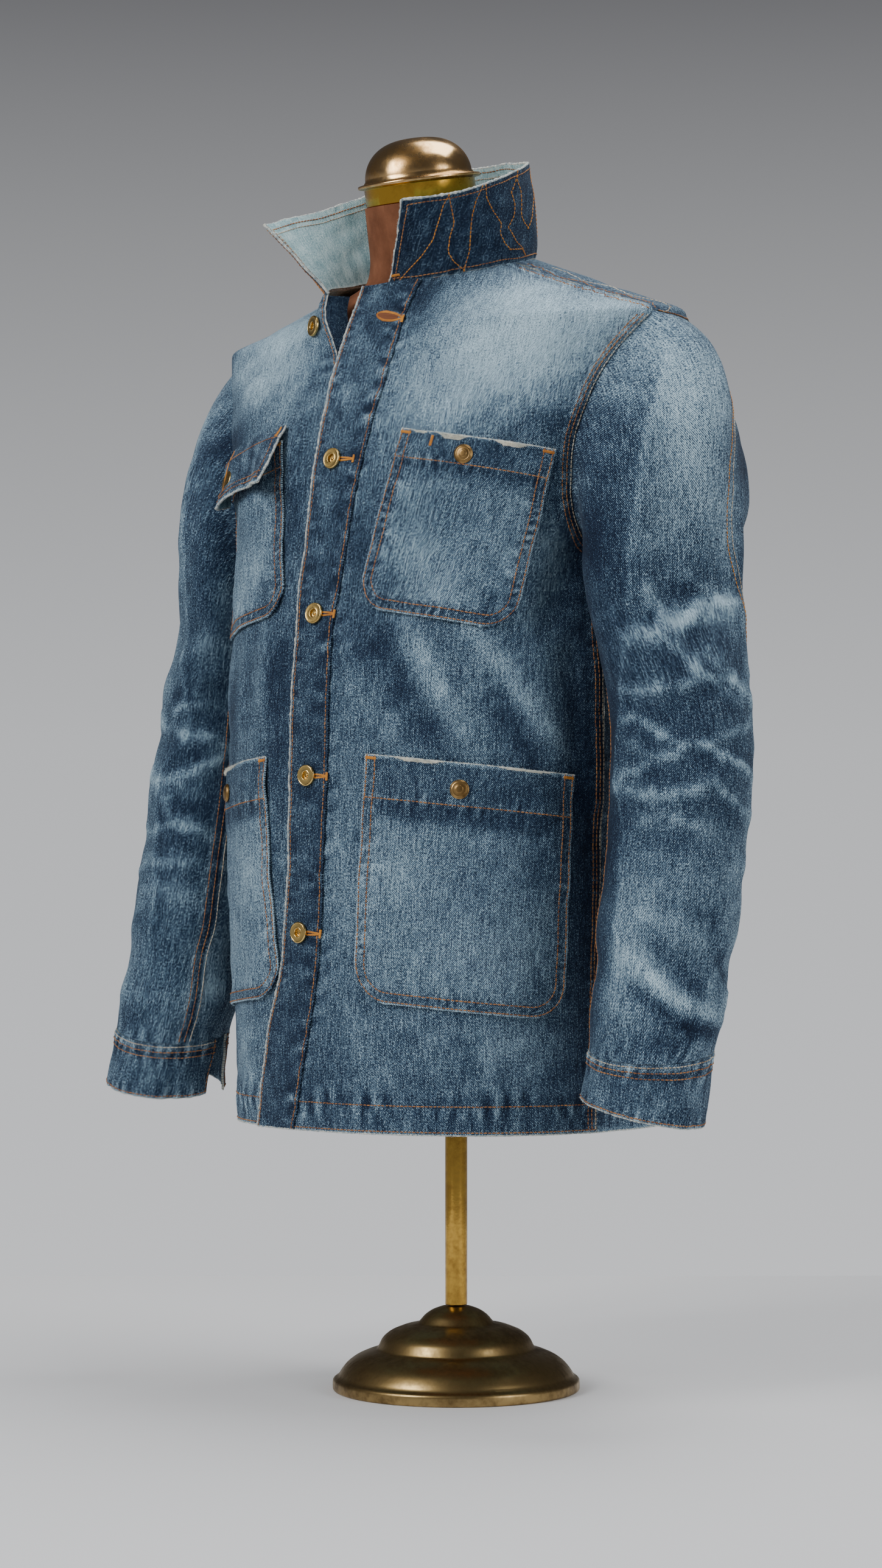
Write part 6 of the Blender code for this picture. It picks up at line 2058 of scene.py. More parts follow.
def new_tree(name, inputs):
    """An empty geometry tree: a path in, a result out and named inputs between."""
    tree = bpy.data.node_groups.new(name, "GeometryNodeTree")
    tree.interface.new_socket("Path", in_out="INPUT", socket_type="NodeSocketGeometry")
    for socket, kind, value in inputs:
        made = tree.interface.new_socket(socket, in_out="INPUT", socket_type=kind)
        if value is not None:
            made.default_value = value
    tree.interface.new_socket("Result", in_out="OUTPUT", socket_type="NodeSocketGeometry")
    given, result = tree.nodes.new("NodeGroupInput"), tree.nodes.new("NodeGroupOutput")
    return tree, given.outputs, result.inputs["Result"]


def end_tree(tree, made, finish, result):
    """Realizes the instances, sets the material and puts the result out."""
    made = output(tree, "GeometryNodeRealizeInstances", {"Geometry": made})
    made = output(tree, "GeometryNodeSetMaterial", {"Geometry": made, "Material": finish})
    tree.links.new(made, result)


def cut_line(tree, given, length):
    """The path cut into even lengths."""
    line = output(tree, "GeometryNodeMeshToCurve", {0: given["Path"]})
    return output(tree, "GeometryNodeResampleCurve", {"Curve": line, "Length": length}, mode="LENGTH")


def random_value(tree, low, high, seed, kind="FLOAT"):
    """A random number or vector for each point."""
    first = 0 if kind == "FLOAT_VECTOR" else 2
    node = add(tree, "FunctionNodeRandomValue", {first: low, first + 1: high, "Seed": seed}, data_type=kind)
    return node.outputs[0 if kind == "FLOAT_VECTOR" else 1]


def standing(tree):
    """The rotation that turns Z out of the cloth and X along the line."""
    out = output(tree, "GeometryNodeInputNamedAttribute", {"Name": "out"}, data_type="FLOAT_VECTOR")
    along = output(tree, "GeometryNodeInputTangent")
    return output(tree, "FunctionNodeAxesToRotation", {0: out, 1: along})


def strewn(tree, line, grain, turned_by, size):
    """A grain at each point of the line, standing on the cloth and turned from there."""
    turn = {0: standing(tree), 1: turned_by}
    turn = output(tree, "FunctionNodeRotateRotation", turn, rotation_space="LOCAL")
    inputs = {"Points": line, "Instance": grain, "Rotation": turn, "Scale": size}
    return output(tree, "GeometryNodeInstanceOnPoints", inputs)


def make_stitch_tree():
    """Even grains of thread along a path, each turned and sized a little by chance."""
    tree, given, result = new_tree(
        "stitch_rows",
        [
            ("Pitch", FLOAT, 0.0034),
            ("Length", FLOAT, 0.0032),
            ("Thread radius", FLOAT, 0.00058),
            ("Turn", FLOAT, 0.0),
            ("Looseness", FLOAT, 0.12),
            ("Seed", "NodeSocketInt", 1),
            ("Thread", "NodeSocketMaterial", None),
        ],
    )
    line = cut_line(tree, given, given["Pitch"])
    grain = output(tree, "GeometryNodeMeshUVSphere", {"Segments": 6, "Rings": 4, "Radius": 1.0})
    half = mix_value(tree, "MULTIPLY", given["Length"], 0.5)
    radius = given["Thread radius"]
    size = output(tree, "ShaderNodeCombineXYZ", {0: radius, 1: radius, 2: half})
    along_line = {"Geometry": grain, "Rotation": (0, math.pi / 2, 0), "Scale": size}
    grain = output(tree, "GeometryNodeTransform", along_line)
    grain = output(tree, "GeometryNodeSetShadeSmooth", {"Geometry": grain})
    least = mix_value(tree, "MULTIPLY", given["Looseness"], -1.0)
    swing = random_value(tree, least, given["Looseness"], given["Seed"])
    angle = mix_value(tree, "ADD", given["Turn"], swing)
    turned_by = output(tree, "FunctionNodeAxisAngleToRotation", {"Axis": (0, 0, 1), "Angle": angle})
    size = random_value(tree, 0.88, 1.1, mix_value(tree, "ADD", given["Seed"], 7))
    made = strewn(tree, line, grain, turned_by, size)
    end_tree(tree, made, given["Thread"], result)
    return tree


STITCHES = make_stitch_tree()


def run_tree(name, lines, tree, **values):
    """Runs a tree on bent lines of (places, ways out) and keeps the result as a plain mesh."""
    places = np.concatenate([line[0] for line in lines])
    outs = np.concatenate([line[1] for line in lines])
    edges, first = [], 0
    for line in lines:
        edges += [(first + k, first + k + 1) for k in range(len(line[0]) - 1)]
        first += len(line[0])
    mesh = bpy.data.meshes.new(name + "_path")
    mesh.from_pydata(places.tolist(), edges, [])
    ways = mesh.attributes.new("out", "FLOAT_VECTOR", "POINT")
    ways.data.foreach_set("vector", outs.astype(np.float32).ravel())
    path = placed(name + "_path", mesh)
    modifier = path.modifiers.new("tree", "NODES")
    modifier.node_group = tree
    for item in tree.interface.items_tree:
        if item.in_out == "INPUT" and item.name.replace(" ", "_") in values:
            modifier[item.identifier] = values[item.name.replace(" ", "_")]
    graph = bpy.context.evaluated_depsgraph_get()
    sewn = bpy.data.meshes.new_from_object(path.evaluated_get(graph), depsgraph=graph)
    bpy.data.objects.remove(path)
    made = placed(name, sewn)
    made.data.calc_loop_triangles()
    print(f"{name}: {len(made.data.loop_triangles)} triangles")
    return made


# %% [markdown]
# ### Rows on the fronts and the back
#
# The seams' rows follow the edges of the panels at a set distance. A panel's outline is a bent line of
# distances and heights, so a row beside a seam is that line moved sideways.

# %% Rows on the fronts and the back
ROW_POINTS = 220
HEM_ROW = 0.0225
ROW_LIFT = 0.001
FRONT_ROWS = ((0.0012, "cream"), (0.0048, "rust"), (0.0084, "rust"))
BACK_SIDE_ROWS = ((0.0018, "cream"), (0.0066, "rust"))
BACK_SHOULDER_ROWS = ((0.0018, "rust"), (0.0075, "cream"))


def front_line(first_height, last_height, away):
    """Places beside a front's outer edge: first up the side, then round the armhole."""
    heights, reach = panel_rows(SIDE_SEAM_SHARE, 0.0, 120)
    line = np.stack([reach, heights], axis=1)
    line = offset(line, away)
    kept = (line[:, 1] >= first_height) & (line[:, 1] <= last_height)
    kept &= heights <= last_height + 0.002
    return between(line[kept], ROW_POINTS)


def on_front(side, line):
    """Points of a front at a line's places."""
    return front_surface(side)(side * line[:, 0], line[:, 1], ROW_LIFT)


def on_back(side, line):
    """Points of the back at a line's places."""
    return back_surface(-side * line[:, 0], line[:, 1], ROW_LIFT)


def back_line(first_height, last_height, away):
    """Places beside the back's outer edge, as distances from the middle of the back."""
    heights, reach = panel_rows(SIDE_SEAM_SHARE, 1.0, 160)
    line = np.stack([half_round(heights) - reach, heights], axis=1)
    line = offset(line, away)
    kept = (line[:, 1] >= first_height) & (line[:, 1] <= last_height)
    return between(line[kept], ROW_POINTS)


side_seam = panel_rows(SIDE_SEAM_SHARE, 0.0, 8)[1][0]
heights = np.linspace(SHOULDER_TIP + 0.004, NECK_HEIGHT - 0.002, 60)
shoulder = np.array([shoulder_round(height) for height in heights])
for side in (1, -1):
    name = sided("front", side)
    for away, kind in FRONT_ROWS:
        stitch(kind, name, on_front(side, front_line(0.232, SHOULDER_TIP - 0.004, away)))
    start = edge_at(side, HEM_HEIGHT + HEM_ROW) * side + 0.002
    span = np.linspace(start, side_seam - 0.003, ROW_POINTS)
    for up in (0.0018, HEM_ROW):
        line = np.stack([span, level_row(ROW_POINTS, HEM_HEIGHT + up)], axis=1)
        stitch("rust", name, on_front(side, line))
    stitch("rust", name, on_front(side, offset(np.stack([shoulder, heights], axis=1), 0.003)))
    for away, kind in BACK_SIDE_ROWS:
        stitch(kind, "back", on_back(side, back_line(ARMHOLE_LOW, SHOULDER_TIP - 0.004, away)))
    for away, kind in BACK_SHOULDER_ROWS:
        line = offset(np.stack([half_round(heights) - shoulder, heights], axis=1), away)
        stitch(kind, "back", on_back(side, line))
span = np.linspace(-0.97, 0.97, 2 * ROW_POINTS) * (half_round(HEM_HEIGHT) - side_seam)
stitch("rust", "back", back_surface(span, level_row(len(span), HEM_HEIGHT + HEM_ROW), ROW_LIFT))

heights = np.linspace(HEM_HEIGHT + 0.001, NECK_HEIGHT - 0.002, 3 * ROW_POINTS)
placket_width = read(PLACKET_LINE_ROWS, PLACKET_LINE_COLUMNS, "width", heights)
for in_from_edge in (placket_width, 0.0024):
    distance = edge_at(1, heights) + in_from_edge
    stitch("rust", "placket_left", body_surface(distance, heights, ON_FRONT + ROW_LIFT))
free_heights = np.linspace(OPEN_FROM - 0.02, NECK_HEIGHT - 0.002, 80)
free_edge = edge_at(-1, free_heights) - 0.003
stitch("rust", "front_right", right_surface(free_edge, free_heights, ROW_LIFT))

# %% [markdown]
# ### Rows on the pockets and the flap
#
# A pocket has two rows round its outline, one along its hem and a bar at each top corner. The flap has
# two rows along its edge, and its ends are sewn down.

# %% Rows on the pockets and the flap
OUTLINE_ROWS = (0.0018, 0.0088)


def pocket_line(kind, margin, count=ROW_POINTS):
    """(across, down) of a row inside a pocket's outline, from one top corner round to the other."""
    size = pocket_size(kind)
    straight = size["depth"] - size["corner"]
    inner = size["corner"] - margin
    angle = np.linspace(0, math.pi / 2, 14)
    near = [(margin, d) for d in np.linspace(0.001, straight, 20)]
    near += [(size["corner"] - inner * math.cos(a), straight + inner * math.sin(a)) for a in angle[1:]]
    foot = (0.5 * pocket_width(kind, size["depth"]), size["depth"] - margin)
    half = between(near + [foot], count // 2)
    width = pocket_width(kind, half[:, 1])
    first = np.stack([half[:, 0] / width, half[:, 1]], axis=1)
    second = np.stack([1 - first[::-1, 0], first[::-1, 1]], axis=1)
    return np.concatenate([first, second[1:]])


def sew_pocket(sort, kind, side, across, down):
    """A row of thread on a pocket."""
    stitch(sort, sided(kind, side), pocket_surface(kind, side, across, down, ROW_LIFT))


def sew_flap(sort, place, share):
    """A row of thread on the flap."""
    stitch(sort, "flap_chest_right", flap_surface(place, share, ROW_LIFT))


for kind in POCKETS:
    for side in (1, -1):
        for margin in OUTLINE_ROWS:
            sew_pocket("rust", kind, side, *pocket_line(kind, margin).T)
        hem_row = level_row(90, POCKET_HEM[kind] - 0.0015)
        sew_pocket("rust", kind, side, np.linspace(0.02, 0.98, 90), hem_row)
        width = pocket_width(kind, 0.0)
        for start, end in ((0.001 / width, 0.0095 / width), (1 - 0.0095 / width, 1 - 0.001 / width)):
            sew_pocket("bars", kind, side, np.linspace(start, end, 12), level_row(12, 0.0022))
pen_slot = np.linspace(0.003, 0.011, 10)
sew_pocket("bars", "pocket_chest", 1, level_row(10, 0.235), pen_slot)

for share in (0.80, 0.90):
    sew_flap("rust", np.linspace(0.03, 0.97, 120), level_row(120, share))
sew_flap("rust", np.linspace(0.01, 0.99, 90), level_row(90, 0.20))
for place in (0.045, 0.955):
    sew_flap("rust", level_row(30, place), np.linspace(0.1, 0.9, 30))
for place in (0.03, 0.62, 0.97):
    sew_flap("bars", level_row(10, place), np.linspace(0.02, 0.18, 10))

# %% [markdown]
# ### Rows on the sleeves and the cuffs
#
# The inner seam and the seam at the back of the arm are felled too. Their rows wander a little round
# the arm, so each is looked up on the sleeve's own grid.

# %% Rows on the sleeves and the cuffs
BACK_SEAM = (
    # height, how far round
    (0.305, -0.088), (0.450, -0.085), (0.560, -0.072), (0.640, -0.046),
    (0.703, -0.024), (0.752, -0.019), (0.840, -0.030),
)
INNER_SEAM_ROWS = ((-0.0052, "rust"), (0.0, "rust"), (0.0052, "cream"))
BACK_SEAM_ROWS = ((-0.0030, "cream"), (0.0030, "orange"))
CUFF_LEVELS = ((0.05, "cream"), (0.15, "rust"), (0.25, "rust"), (0.96, "rust"))


def sleeve_line(side, aside, heights):
    """Points on a sleeve at distances round from its outside and heights, from its own grid."""
    _, _, turn, height, _ = sleeve_grid()
    outer = grids[sided("sleeve", side)][0]
    if side < 0:
        outer = np.roll(outer, -1, axis=1)[:, ::-1]
    found = []
    for a, h in zip(np.broadcast_to(aside, heights.shape), heights):
        column = np.interp((a / ARM_GIRTH) % 1.0, turn[0], np.arange(turn.shape[1]), period=None)
        low, share = int(column), column % 1
        next_one = (low + 1) % turn.shape[1]
        up = height[:, low] * (1 - share) + height[:, next_one] * share
        row = np.interp(-h, -up, np.arange(len(up)))
        below = min(int(row), len(up) - 2)
        part = row - below
        here = outer[below] * (1 - part) + outer[below + 1] * part
        found.append(here[low] * (1 - share) + here[next_one] * share)
    return np.array(found)


for side in (1, -1):
    name = sided("sleeve", side)
    heights = np.linspace(0.303, 0.690, 150)
    seam = INNER_SEAM_TURN * ARM_GIRTH
    for shift, kind in INNER_SEAM_ROWS:
        stitch(kind, name, sleeve_line(side, seam + shift, heights))
    heights = np.linspace(0.305, 0.840, 180)
    line = curve_through(*zip(*BACK_SEAM), heights)
    for shift, kind in BACK_SEAM_ROWS:
        stitch(kind, name, sleeve_line(side, line + shift, heights))
    cuff = sided("cuff", side)
    along = np.linspace(0.005, 0.995, ROW_POINTS)
    for level, kind in CUFF_LEVELS:
        stitch(kind, cuff, cuff_surface(side, along, level_row(ROW_POINTS, level), ROW_LIFT))
    down = np.linspace(0.04, 0.93, 30)
    for place in (0.008, 0.992):
        stitch("rust", cuff, cuff_surface(side, level_row(30, place), down, ROW_LIFT))

# %% [markdown]
# ### Rows on the collar
#
# The rows that hold the stiffener wander up and down the collar. They are drawn on its left half and
# mirrored for the right, a little aside, so that the halves differ.

# %% Rows on the collar
# Places on the collar: distance along it from its left end, and height above its seam.
QUILTING = (
    (
        (0.010, 0.001), (0.014, 0.007), (0.025, 0.021), (0.031, 0.035),
        (0.031, 0.049), (0.031, 0.065), (0.033, 0.074),
    ),
    (
        (0.033, 0.074), (0.040, 0.059), (0.046, 0.046), (0.046, 0.034),
        (0.048, 0.021), (0.056, 0.011), (0.068, 0.001),
    ),
    ((0.068, 0.001), (0.069, 0.018), (0.065, 0.034), (0.062, 0.049), (0.061, 0.063), (0.064, 0.074)),
    (
        (0.068, 0.074), (0.073, 0.062), (0.085, 0.047), (0.098, 0.034),
        (0.098, 0.026), (0.106, 0.016), (0.114, 0.011),
    ),
    ((0.114, 0.011), (0.131, 0.010), (0.138, 0.005)),
    (
        (0.138, 0.005), (0.133, 0.010), (0.122, 0.016), (0.108, 0.029),
        (0.113, 0.038), (0.112, 0.047), (0.106, 0.058),
    ),
    ((0.106, 0.058), (0.110, 0.066), (0.112, 0.074)),
    (
        (0.112, 0.074), (0.113, 0.066), (0.121, 0.057), (0.125, 0.046),
        (0.125, 0.037), (0.132, 0.030), (0.140, 0.025),
    ),
    ((0.140, 0.025), (0.152, 0.040), (0.158, 0.056), (0.162, 0.074)),
    ((0.162, 0.074), (0.170, 0.050), (0.176, 0.028), (0.190, 0.002)),
    ((0.190, 0.002), (0.196, 0.030), (0.203, 0.052), (0.212, 0.074)),
    ((0.212, 0.074), (0.222, 0.046), (0.226, 0.022), (0.240, 0.002)),
)


def collar_line(line, lift=ROW_LIFT):
    """Points of the collar along a bent line, close enough together to follow its curve."""
    length = sum(math.dist(a, b) for a, b in zip(line, line[1:]))
    line = between(line, max(12, int(length / 0.0022)))
    lifts = level_row(len(line), lift)
    return collar_surface(line[:, 0] / COLLAR_HALF, line[:, 1] / COLLAR_DEEP, lifts)


for line in QUILTING:
    stitch("orange", "collar", collar_line(line))
    other = [(2 * COLLAR_HALF - u + 0.004 * math.sin(90 * v), v) for u, v in line]
    stitch("orange", "collar", collar_line(other))
COLLAR_LENGTH = 2 * COLLAR_HALF


def collar_frame(margin, foot, top):
    """A row up one end of the collar, along it and down the other end."""
    end = COLLAR_LENGTH - margin
    return [(margin, foot), (margin, top), (end, top), (end, foot)]


stitch("rust", "collar", collar_line(collar_frame(0.0045, 0.002, COLLAR_DEEP - 0.0042)))
stitch("rust", "collar", collar_line([(0.004, 0.0032), (COLLAR_LENGTH - 0.004, 0.0032)]))
for margin, kind in ((0.0042, "rust"), (0.0090, "cream")):
    inner = collar_line(collar_frame(margin, 0.004, COLLAR_DEEP - margin), -COLLAR_CLOTH - ROW_LIFT)
    stitch(kind, "collar", inner, INSIDE)
stitch("bars", "collar", collar_line([(0.001, 0.006), (0.008, 0.006)]))

# %% [markdown]
# ### Buttonholes
#
# A buttonhole's rim is a long almond with a bar at its end. The top one gapes, because nothing is
# buttoned through it, and shows what lies behind.

# %% Buttonholes
HOLE_LENGTH = 0.0235
HOLE_HALF = 0.0014
TOP_HOLE = ((0.0080, 0.9065), (0.0400, 0.8970))
TOP_HOLE_INSIDE = 0.0038
TOP_HOLE_RIMS = (0.0044, 0.0053)
FLAP_BUTTON = 0.60


def hole_rim(start, end, height_start, height_end, half, surface, count=70):
    """A long almond with a point at its end, as points on a surface of distance and height."""
    share = np.concatenate([np.linspace(0, 1, count // 2), np.linspace(1, 0, count // 2)])
    sign = np.where(np.arange(len(share)) < count // 2, 1, -1)
    swell = half * np.minimum(1, 1.9 * np.sqrt(np.clip(share, 0, 1))) * (1 - share**3)
    u = start + (end - start) * share
    v = height_start + (height_end - height_start) * share + sign * swell
    return surface(u, v)


def placket_face(distance, height):
    """Points just above the placket."""
    return body_surface(distance, height, ON_FRONT + ROW_LIFT)


for height in BUTTON_HEIGHTS:
    start = float(edge_at(1, height)) + BUTTON_INSET - 0.002
    end = start + HOLE_LENGTH
    rim = hole_rim(start, end, height, height - 0.001, HOLE_HALF, placket_face)
    stitch("holes", "placket_left", rim)
    bar = np.linspace(-0.0030, 0.0030, 8)
    stitch("bars", "placket_left", placket_face(level_row(8, end), height - 0.001 + bar))

(start, high), (end, low) = TOP_HOLE
for half in TOP_HOLE_RIMS:
    stitch("holes", "placket_left", hole_rim(start, end, high, low, half, placket_face, 90))
inside_hole = hole_rim(start, end, high, low, TOP_HOLE_INSIDE, placket_face, 40)
place, _ = laid("placket_left", inside_hole, 0.0003)
hole_mesh = bpy.data.meshes.new("open_buttonhole")
hole_mesh.from_pydata(place.tolist(), [], [tuple(range(len(place)))])
hole_mesh.materials.append(JERSEY)
open_hole = placed("open_buttonhole", hole_mesh)
bar = np.linspace(-0.0035, 0.0035, 8)
stitch("bars", "placket_left", placket_face(level_row(8, end + 0.0015), low + bar))


def flap_face(place, share):
    """Points just above the flap."""
    return flap_surface(place, share, ROW_LIFT)


stitch("holes", "flap_chest_right", hole_rim(0.62, 0.62, 0.25, 0.80, 0.0, flap_face, 40))
flap_point = flap_surface(one(FLAP_BUTTON), one(FLAP_BUTTON), 0.0004)[0]
flap_out = way_out(flap_surface, FLAP_BUTTON, FLAP_BUTTON, 0.02, 0.05, -1)
flap_button = fitting("flap_button", BUTTON_PROFILE, BUTTON_RADIUS, flap_point, flap_out, BUTTON_BRASS)

# %% Sewing them all
ACROSS = {"Turn": math.pi / 2, "Thread": ORANGE}
seams = {"open_buttonhole": open_hole}


def sew(name, lines, tree, **values):
    """Keeps what a tree makes of some lines as a piece of thread."""
    seams[name] = run_tree(name, lines, tree, **values)


sew("rust_rows", rows["rust"], STITCHES, Thread=RUST, Seed=3)
sew("cream_rows", rows["cream"], STITCHES, Thread=CREAM, Seed=4)
sew("orange_rows", rows["orange"], STITCHES, Thread=ORANGE, Seed=5)
sew("orange_bars", rows["bars"], STITCHES, Pitch=0.00045, Length=0.0026, Seed=6, **ACROSS)
sew("buttonhole_rims", rows["holes"], STITCHES, Pitch=0.00055, Length=0.0017, Seed=8, **ACROSS)

# %% [markdown]
# ## Frayed edges
#
# Along the edges that hands and buttons rub, the cloth's white weft comes loose. It shows as a soft
# cord of broken threads along the edge with short ends that stand off. The cord is a thin tube along the
# edge, pushed about by noise, and the ends are small three-sided spikes, each turned and stretched by
# its own random number.

# %% Edges of the cloth


def border(name, which, past=0.0003, out_share=0.6):
    """A piece's border as a bent line in the wall's middle, and the way off the cloth at each point."""
    outer, inner = grids[name]
    if which in ("first column", "last column"):
        outer, inner = outer.transpose(1, 0, 2), inner.transpose(1, 0, 2)
    if which.startswith("last"):
        outer, inner = outer[::-1], inner[::-1]
    middle = out_share * outer[0] + (1 - out_share) * inner[0]
    off = unit(outer[0] - outer[1])
    way = unit(off + 0.5 * unit(outer[0] - inner[0]))
    return middle + past * off, way


def part(line, first, last):
    """The part of a bent line between two shares of its points."""
    count = len(line[0])
    kept = slice(int(first * (count - 1)), int(last * (count - 1)) + 2)
    return line[0][kept], line[1][kept]


def make_cord_tree():
    """A thin uneven tube along a path."""
    tree, given, result = new_tree(
        "edge_cord",
        [
            ("Step", FLOAT, 0.0016),
            ("Cord radius", FLOAT, 0.0006),
            ("Wander", FLOAT, 0.0005),
            ("Seed", FLOAT, 1.0),
            ("Thread", "NodeSocketMaterial", None),
        ],
    )
    line = cut_line(tree, given, given["Step"])
    place = output(tree, "GeometryNodeInputPosition")
    drawn = {"Vector": place, "W": given["Seed"], "Scale": 240.0}
    shift = add(tree, "ShaderNodeTexNoise", drawn, noise_dimensions="4D").outputs["Color"]
    shift = output(tree, "ShaderNodeVectorMath", {0: shift, 1: (0.5, 0.5, 0.5)}, operation="SUBTRACT")
    scaled = {0: shift, "Scale": given["Wander"]}
    shift = output(tree, "ShaderNodeVectorMath", scaled, operation="SCALE")
    line = output(tree, "GeometryNodeSetPosition", {"Geometry": line, "Offset": shift})
    circle = {"Resolution": 5, "Radius": given["Cord radius"]}
    ring = output(tree, "GeometryNodeCurvePrimitiveCircle", circle)
    uneven = output(tree, "ShaderNodeTexNoise", {"Vector": place, "Scale": 420.0})
    uneven = mix_value(tree, "ADD", mix_value(tree, "MULTIPLY", uneven, 1.8), 0.1)
    tube = {"Curve": line, "Profile Curve": ring, "Scale": uneven, "Fill Caps": True}
    tube = output(tree, "GeometryNodeCurveToMesh", tube)
    smooth = output(tree, "GeometryNodeSetShadeSmooth", {"Geometry": tube})
    end_tree(tree, smooth, given["Thread"], result)
    return tree


def make_fray_tree():
    """Short spikes along a path, each turned its own way."""
    tree, given, result = new_tree(
        "fray_ends",
        [
            ("Step", FLOAT, 0.0009),
            ("End length", FLOAT, 0.0016),
            ("End radius", FLOAT, 0.00011),
            ("Spread", FLOAT, 0.9),
            ("Seed", "NodeSocketInt", 1),
            ("Thread", "NodeSocketMaterial", None),
        ],
    )
    line = cut_line(tree, given, given["Step"])
    cone = {"Vertices": 3, "Radius Bottom": given["End radius"], "Depth": given["End length"]}
    spike = output(tree, "GeometryNodeMeshCone", cone)
    most = given["Spread"]
    least = mix_value(tree, "MULTIPLY", most, -1.0)
    low = output(tree, "ShaderNodeCombineXYZ", {0: least, 1: least, 2: -3.0})
    high = output(tree, "ShaderNodeCombineXYZ", {0: most, 1: most, 2: 3.0})
    turned_by = random_value(tree, low, high, given["Seed"], "FLOAT_VECTOR")
    turned_by = output(tree, "FunctionNodeEulerToRotation", {0: turned_by})
    size = random_value(tree, 0.3, 1.5, mix_value(tree, "ADD", given["Seed"], 5))
    made = strewn(tree, line, spike, turned_by, size)
    end_tree(tree, made, given["Thread"], result)
    return tree


CORD, FRAY_ENDS = make_cord_tree(), make_fray_tree()
worn_edges = [
    border("flap_chest_right", "first row"),
    border("flap_chest_right", "last column"),
    border("placket_left", "first column", 0.0002, 0.8),
    border("collar", "last row"),
    border("collar", "first column"),
    border("collar", "last column"),
    border("collar", "first row"),
    border("front_left", "first row", 0.0005, 0.9),
    border("front_right", "first row", 0.0005, 0.9),
    border("back", "first row", 0.0005, 0.9),
    border("placket_left", "first row", 0.0005, 0.9),
    border("cuff_left", "last row"),
    border("cuff_right", "last row"),
    part(border("front_right", "last column"), 0.80, 1.0),
]
for name in pieces:
    if name.startswith("pocket"):
        worn_edges.append(border(name, "last row"))
# Bare white places along the pockets' tops: pocket, side, from and to across, how far down.
BARE_PLACES = (
    ("pocket_chest", 1, 0.09, 0.19, 0.0016),
    ("pocket_chest", 1, 0.27, 0.46, 0.0042),
    ("pocket_chest", 1, 0.63, 0.84, 0.0032),
    ("pocket_lower", 1, 0.14, 0.38, 0.0024),
    ("pocket_lower", 1, 0.62, 0.88, 0.0018),
    ("pocket_chest", -1, 0.22, 0.52, 0.0030),
    ("pocket_lower", -1, 0.30, 0.70, 0.0026),
)
white_patches = []
for kind, side, first, last, deep in BARE_PLACES:
    for down in np.arange(0.0002, deep, 0.0008):
        narrow = 0.3 * (last - first) * down / deep
        across = np.linspace(first + narrow, last - narrow, 40)
        points = pocket_surface(kind, side, across, level_row(40, down), ROW_LIFT)
        white_patches.append(laid(sided(kind, side), points, 0.0002))
MOST_WORN = worn_edges[:6]
THICK = {"Step": 0.0010, "Cord_radius": 0.00105, "Wander": 0.0015}
PATCH_CORD = {"Step": 0.0007, "Cord_radius": 0.00045, "Wander": 0.0020}
PATCH_ENDS = {"Step": 0.0004, "End_length": 0.0022, "End_radius": 0.00013}
sew("edge_cord", worn_edges, CORD, Thread=WORN_CORD, Cord_radius=0.00062, Seed=2.0)
sew("thick_cord", MOST_WORN, CORD, Thread=WORN_CORD, Seed=3.0, **THICK)
sew("edge_ends", worn_edges, FRAY_ENDS, Thread=FRAY, Seed=12)
sew("patch_cord", white_patches, CORD, Thread=FRAY, Seed=5.0, **PATCH_CORD)
sew("patch_ends", white_patches, FRAY_ENDS, Thread=FRAY, Seed=13, **PATCH_ENDS)

# %% [markdown]
# ## Floor and light
#
# A plain pale floor, one large soft light from the front left, a weaker one from the right and one from
# above.

# %% The stage
FLOOR_HALF = 0.8
floor_mesh = bpy.data.meshes.new("floor")
shape = bmesh.new()
bmesh.ops.create_grid(shape, x_segments=1, y_segments=1, size=FLOOR_HALF)
bmesh.ops.rotate(shape, verts=shape.verts, matrix=Matrix.Rotation(VIEW_AZIMUTH, 3, "Z"))
shape.to_mesh(floor_mesh)
shape.free()
floor = placed("floor", floor_mesh)
floor_finish, _, _ = plain("floor_pale", (0.86, 0.86, 0.87), 0.7)
floor_mesh.materials.append(floor_finish)

SKY_STRENGTH = 0.75
MIRRORED_STRENGTH = 0.48
# What the camera sees behind the jacket, from low down to high up.
WALL_SCALE = (
    (0.00, (0.800, 0.810, 0.840)),
    (0.45, (0.600, 0.610, 0.630)),
    (1.00, (0.105, 0.105, 0.112)),
)
world = bpy.data.worlds.new("studio")
world.use_nodes = True
sky = world.node_tree
soft = sky.nodes["Background"]
soft.inputs["Color"].default_value = (0.50, 0.51, 0.53, 1)
soft.inputs["Strength"].default_value = SKY_STRENGTH
way = add(sky, "ShaderNodeTexCoord").outputs["Generated"]
height = add(sky, "ShaderNodeSeparateXYZ", {"Vector": way}).outputs[2]
height = output(sky, "ShaderNodeMapRange", {"Value": height, 1: -0.16, 2: 0.26})
seen = ramp(sky, height, WALL_SCALE)
wall = output(sky, "ShaderNodeBackground", {"Color": seen, "Strength": 1.0})
dim = output(sky, "ShaderNodeBackground", {"Color": seen, "Strength": MIRRORED_STRENGTH})
path = add(sky, "ShaderNodeLightPath").outputs
mirrored = {0: path["Is Glossy Ray"], 1: soft.outputs[0], 2: dim}
mirrored = output(sky, "ShaderNodeMixShader", mirrored)
shown = output(sky, "ShaderNodeMixShader", {0: path["Is Camera Ray"], 1: mirrored, 2: wall})
sky.links.new(shown, sky.nodes["World Output"].inputs["Surface"])
bpy.context.scene.world = world


def soft_light(name, place, aim, size, power):
    """A large light that looks from its place at a point."""
    light = bpy.data.lights.new(name, "AREA")
    light.shape = "RECTANGLE"
    light.size, light.size_y = size
    light.energy = power
    made = placed(name, light)
    made.location = place
    made.rotation_euler = (Vector(aim) - Vector(place)).to_track_quat("-Z", "Y").to_euler()


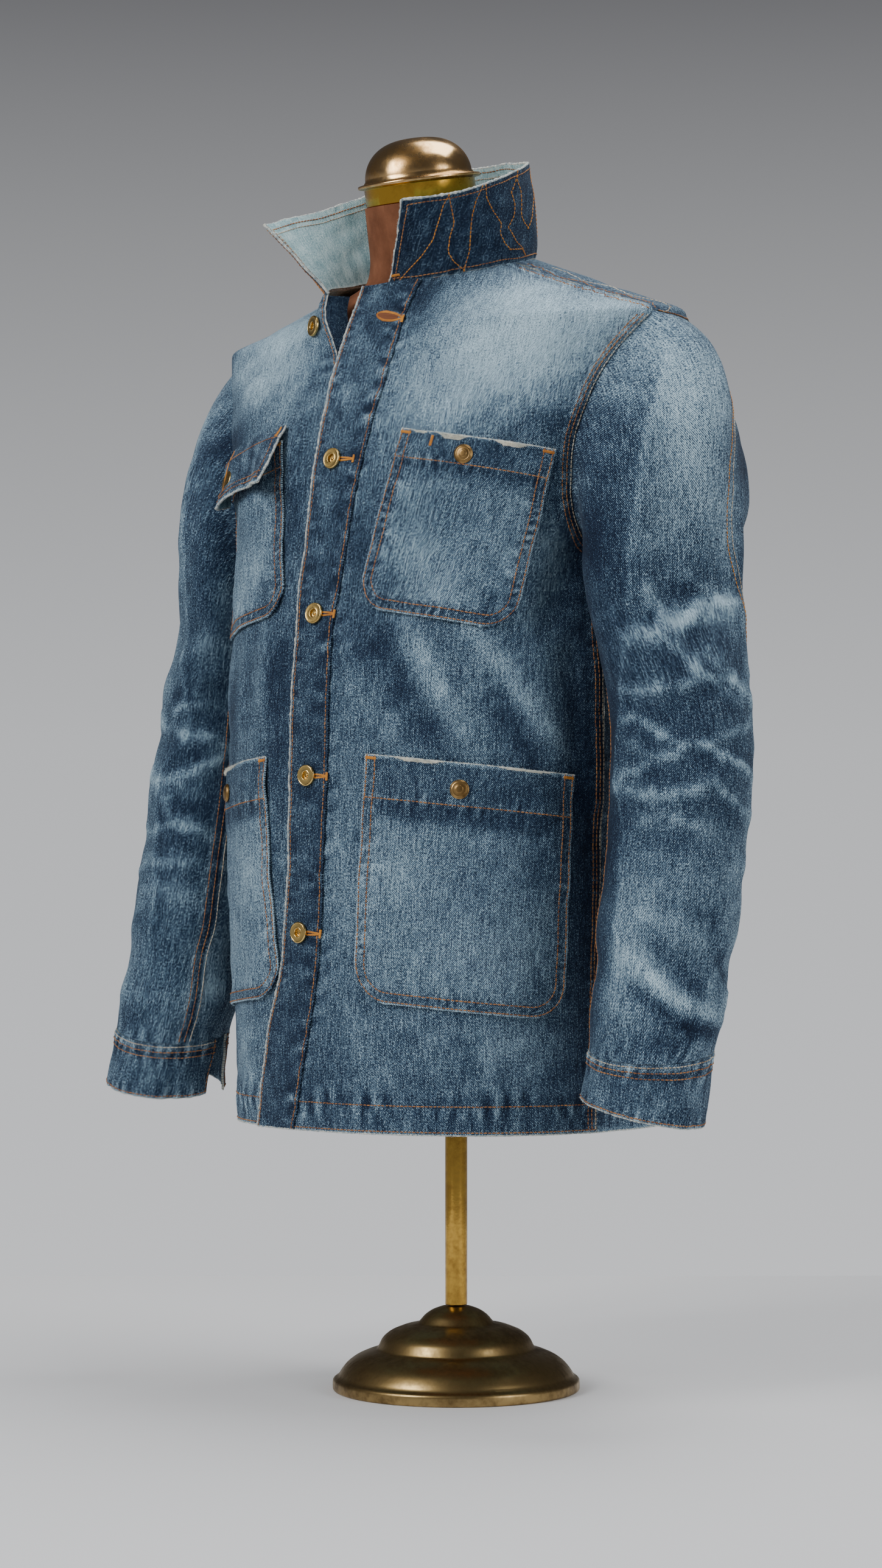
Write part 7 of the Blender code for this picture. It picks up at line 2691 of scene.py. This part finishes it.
soft_light("key", (-0.6, -2.6, 2.2), (0, 0, 0.65), (1.2, 1.6), 60)
soft_light("fill", (3.0, 0.2, 1.3), (0, 0, 0.55), (1.0, 1.8), 26)
soft_light("top", (0.3, 0.5, 2.6), (0, 0, 0.7), (1.6, 1.2), 30)

# %% [markdown]
# ## Handing the pieces over
#
# Each piece rides on the one body and takes the place of the solid it replaces, which is hidden. Each piece
# of cloth also says how large it was cut.

# %% Cloth
SHEETS = {
    "front_left": ((0.31, 0.76), 0.198, ["form_torso"], "hung"),
    "front_right": ((0.29, 0.76), 0.182, ["form_torso"], "hung"),
    "back": ((0.55, 0.78), 0.415, ["form_torso"], "hung"),
    "sleeve_left": ((0.42, 0.56), 0.200, ["front_left"], "hung"),
    "sleeve_right": ((0.42, 0.56), 0.200, ["front_right"], "hung"),
    "cuff_left": ((0.30, 0.047), None, ["sleeve_left"], "folded"),
    "cuff_right": ((0.30, 0.047), None, ["sleeve_right"], "folded"),
    "collar": ((0.46, 0.085), None, ["back"], "folded"),
    "placket_left": ((0.046, 0.74), None, ["front_left"], "laid"),
    "pocket_chest_left": ((0.130, 0.146), None, ["front_left"], "laid"),
    "pocket_chest_right": ((0.130, 0.146), None, ["front_right"], "laid"),
    "pocket_lower_left": ((0.173, 0.196), None, ["front_left"], "laid"),
    "pocket_lower_right": ((0.173, 0.196), None, ["front_right"], "laid"),
    "flap_chest_right": ((0.134, 0.054), None, ["pocket_chest_right"], "laid"),
}


def measure(made):
    """The area of a piece's outer face."""
    return sum(face.area for face in made.data.polygons if face.material_index == OUTSIDE)


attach(pieces["facing_right"], "root")
for name, (flat, area, _, _) in SHEETS.items():
    piece = pieces[name]
    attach(piece, "root")
    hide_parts(name)
    print(f"{name}: outer face {measure(piece):.4f} m2, flat {flat[0] * flat[1]:.4f} m2, cut {area}")

# %% Brass and form
for node, piece in brass_pieces.items():
    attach(piece, "root")
    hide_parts(node)
for piece, node, slot in (
    (form_body, "form_torso", "jersey"),
    (cap, "neck_cap", "cap_brass"),
    (pole, "stand_pole", "pole_brass"),
    (base, "stand_base", "base_brass"),
):
    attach(piece, "root")
    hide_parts(node)

# %% Thread and frayed edges
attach(flap_button, "root")
for name, piece in seams.items():
    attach(piece, "root")
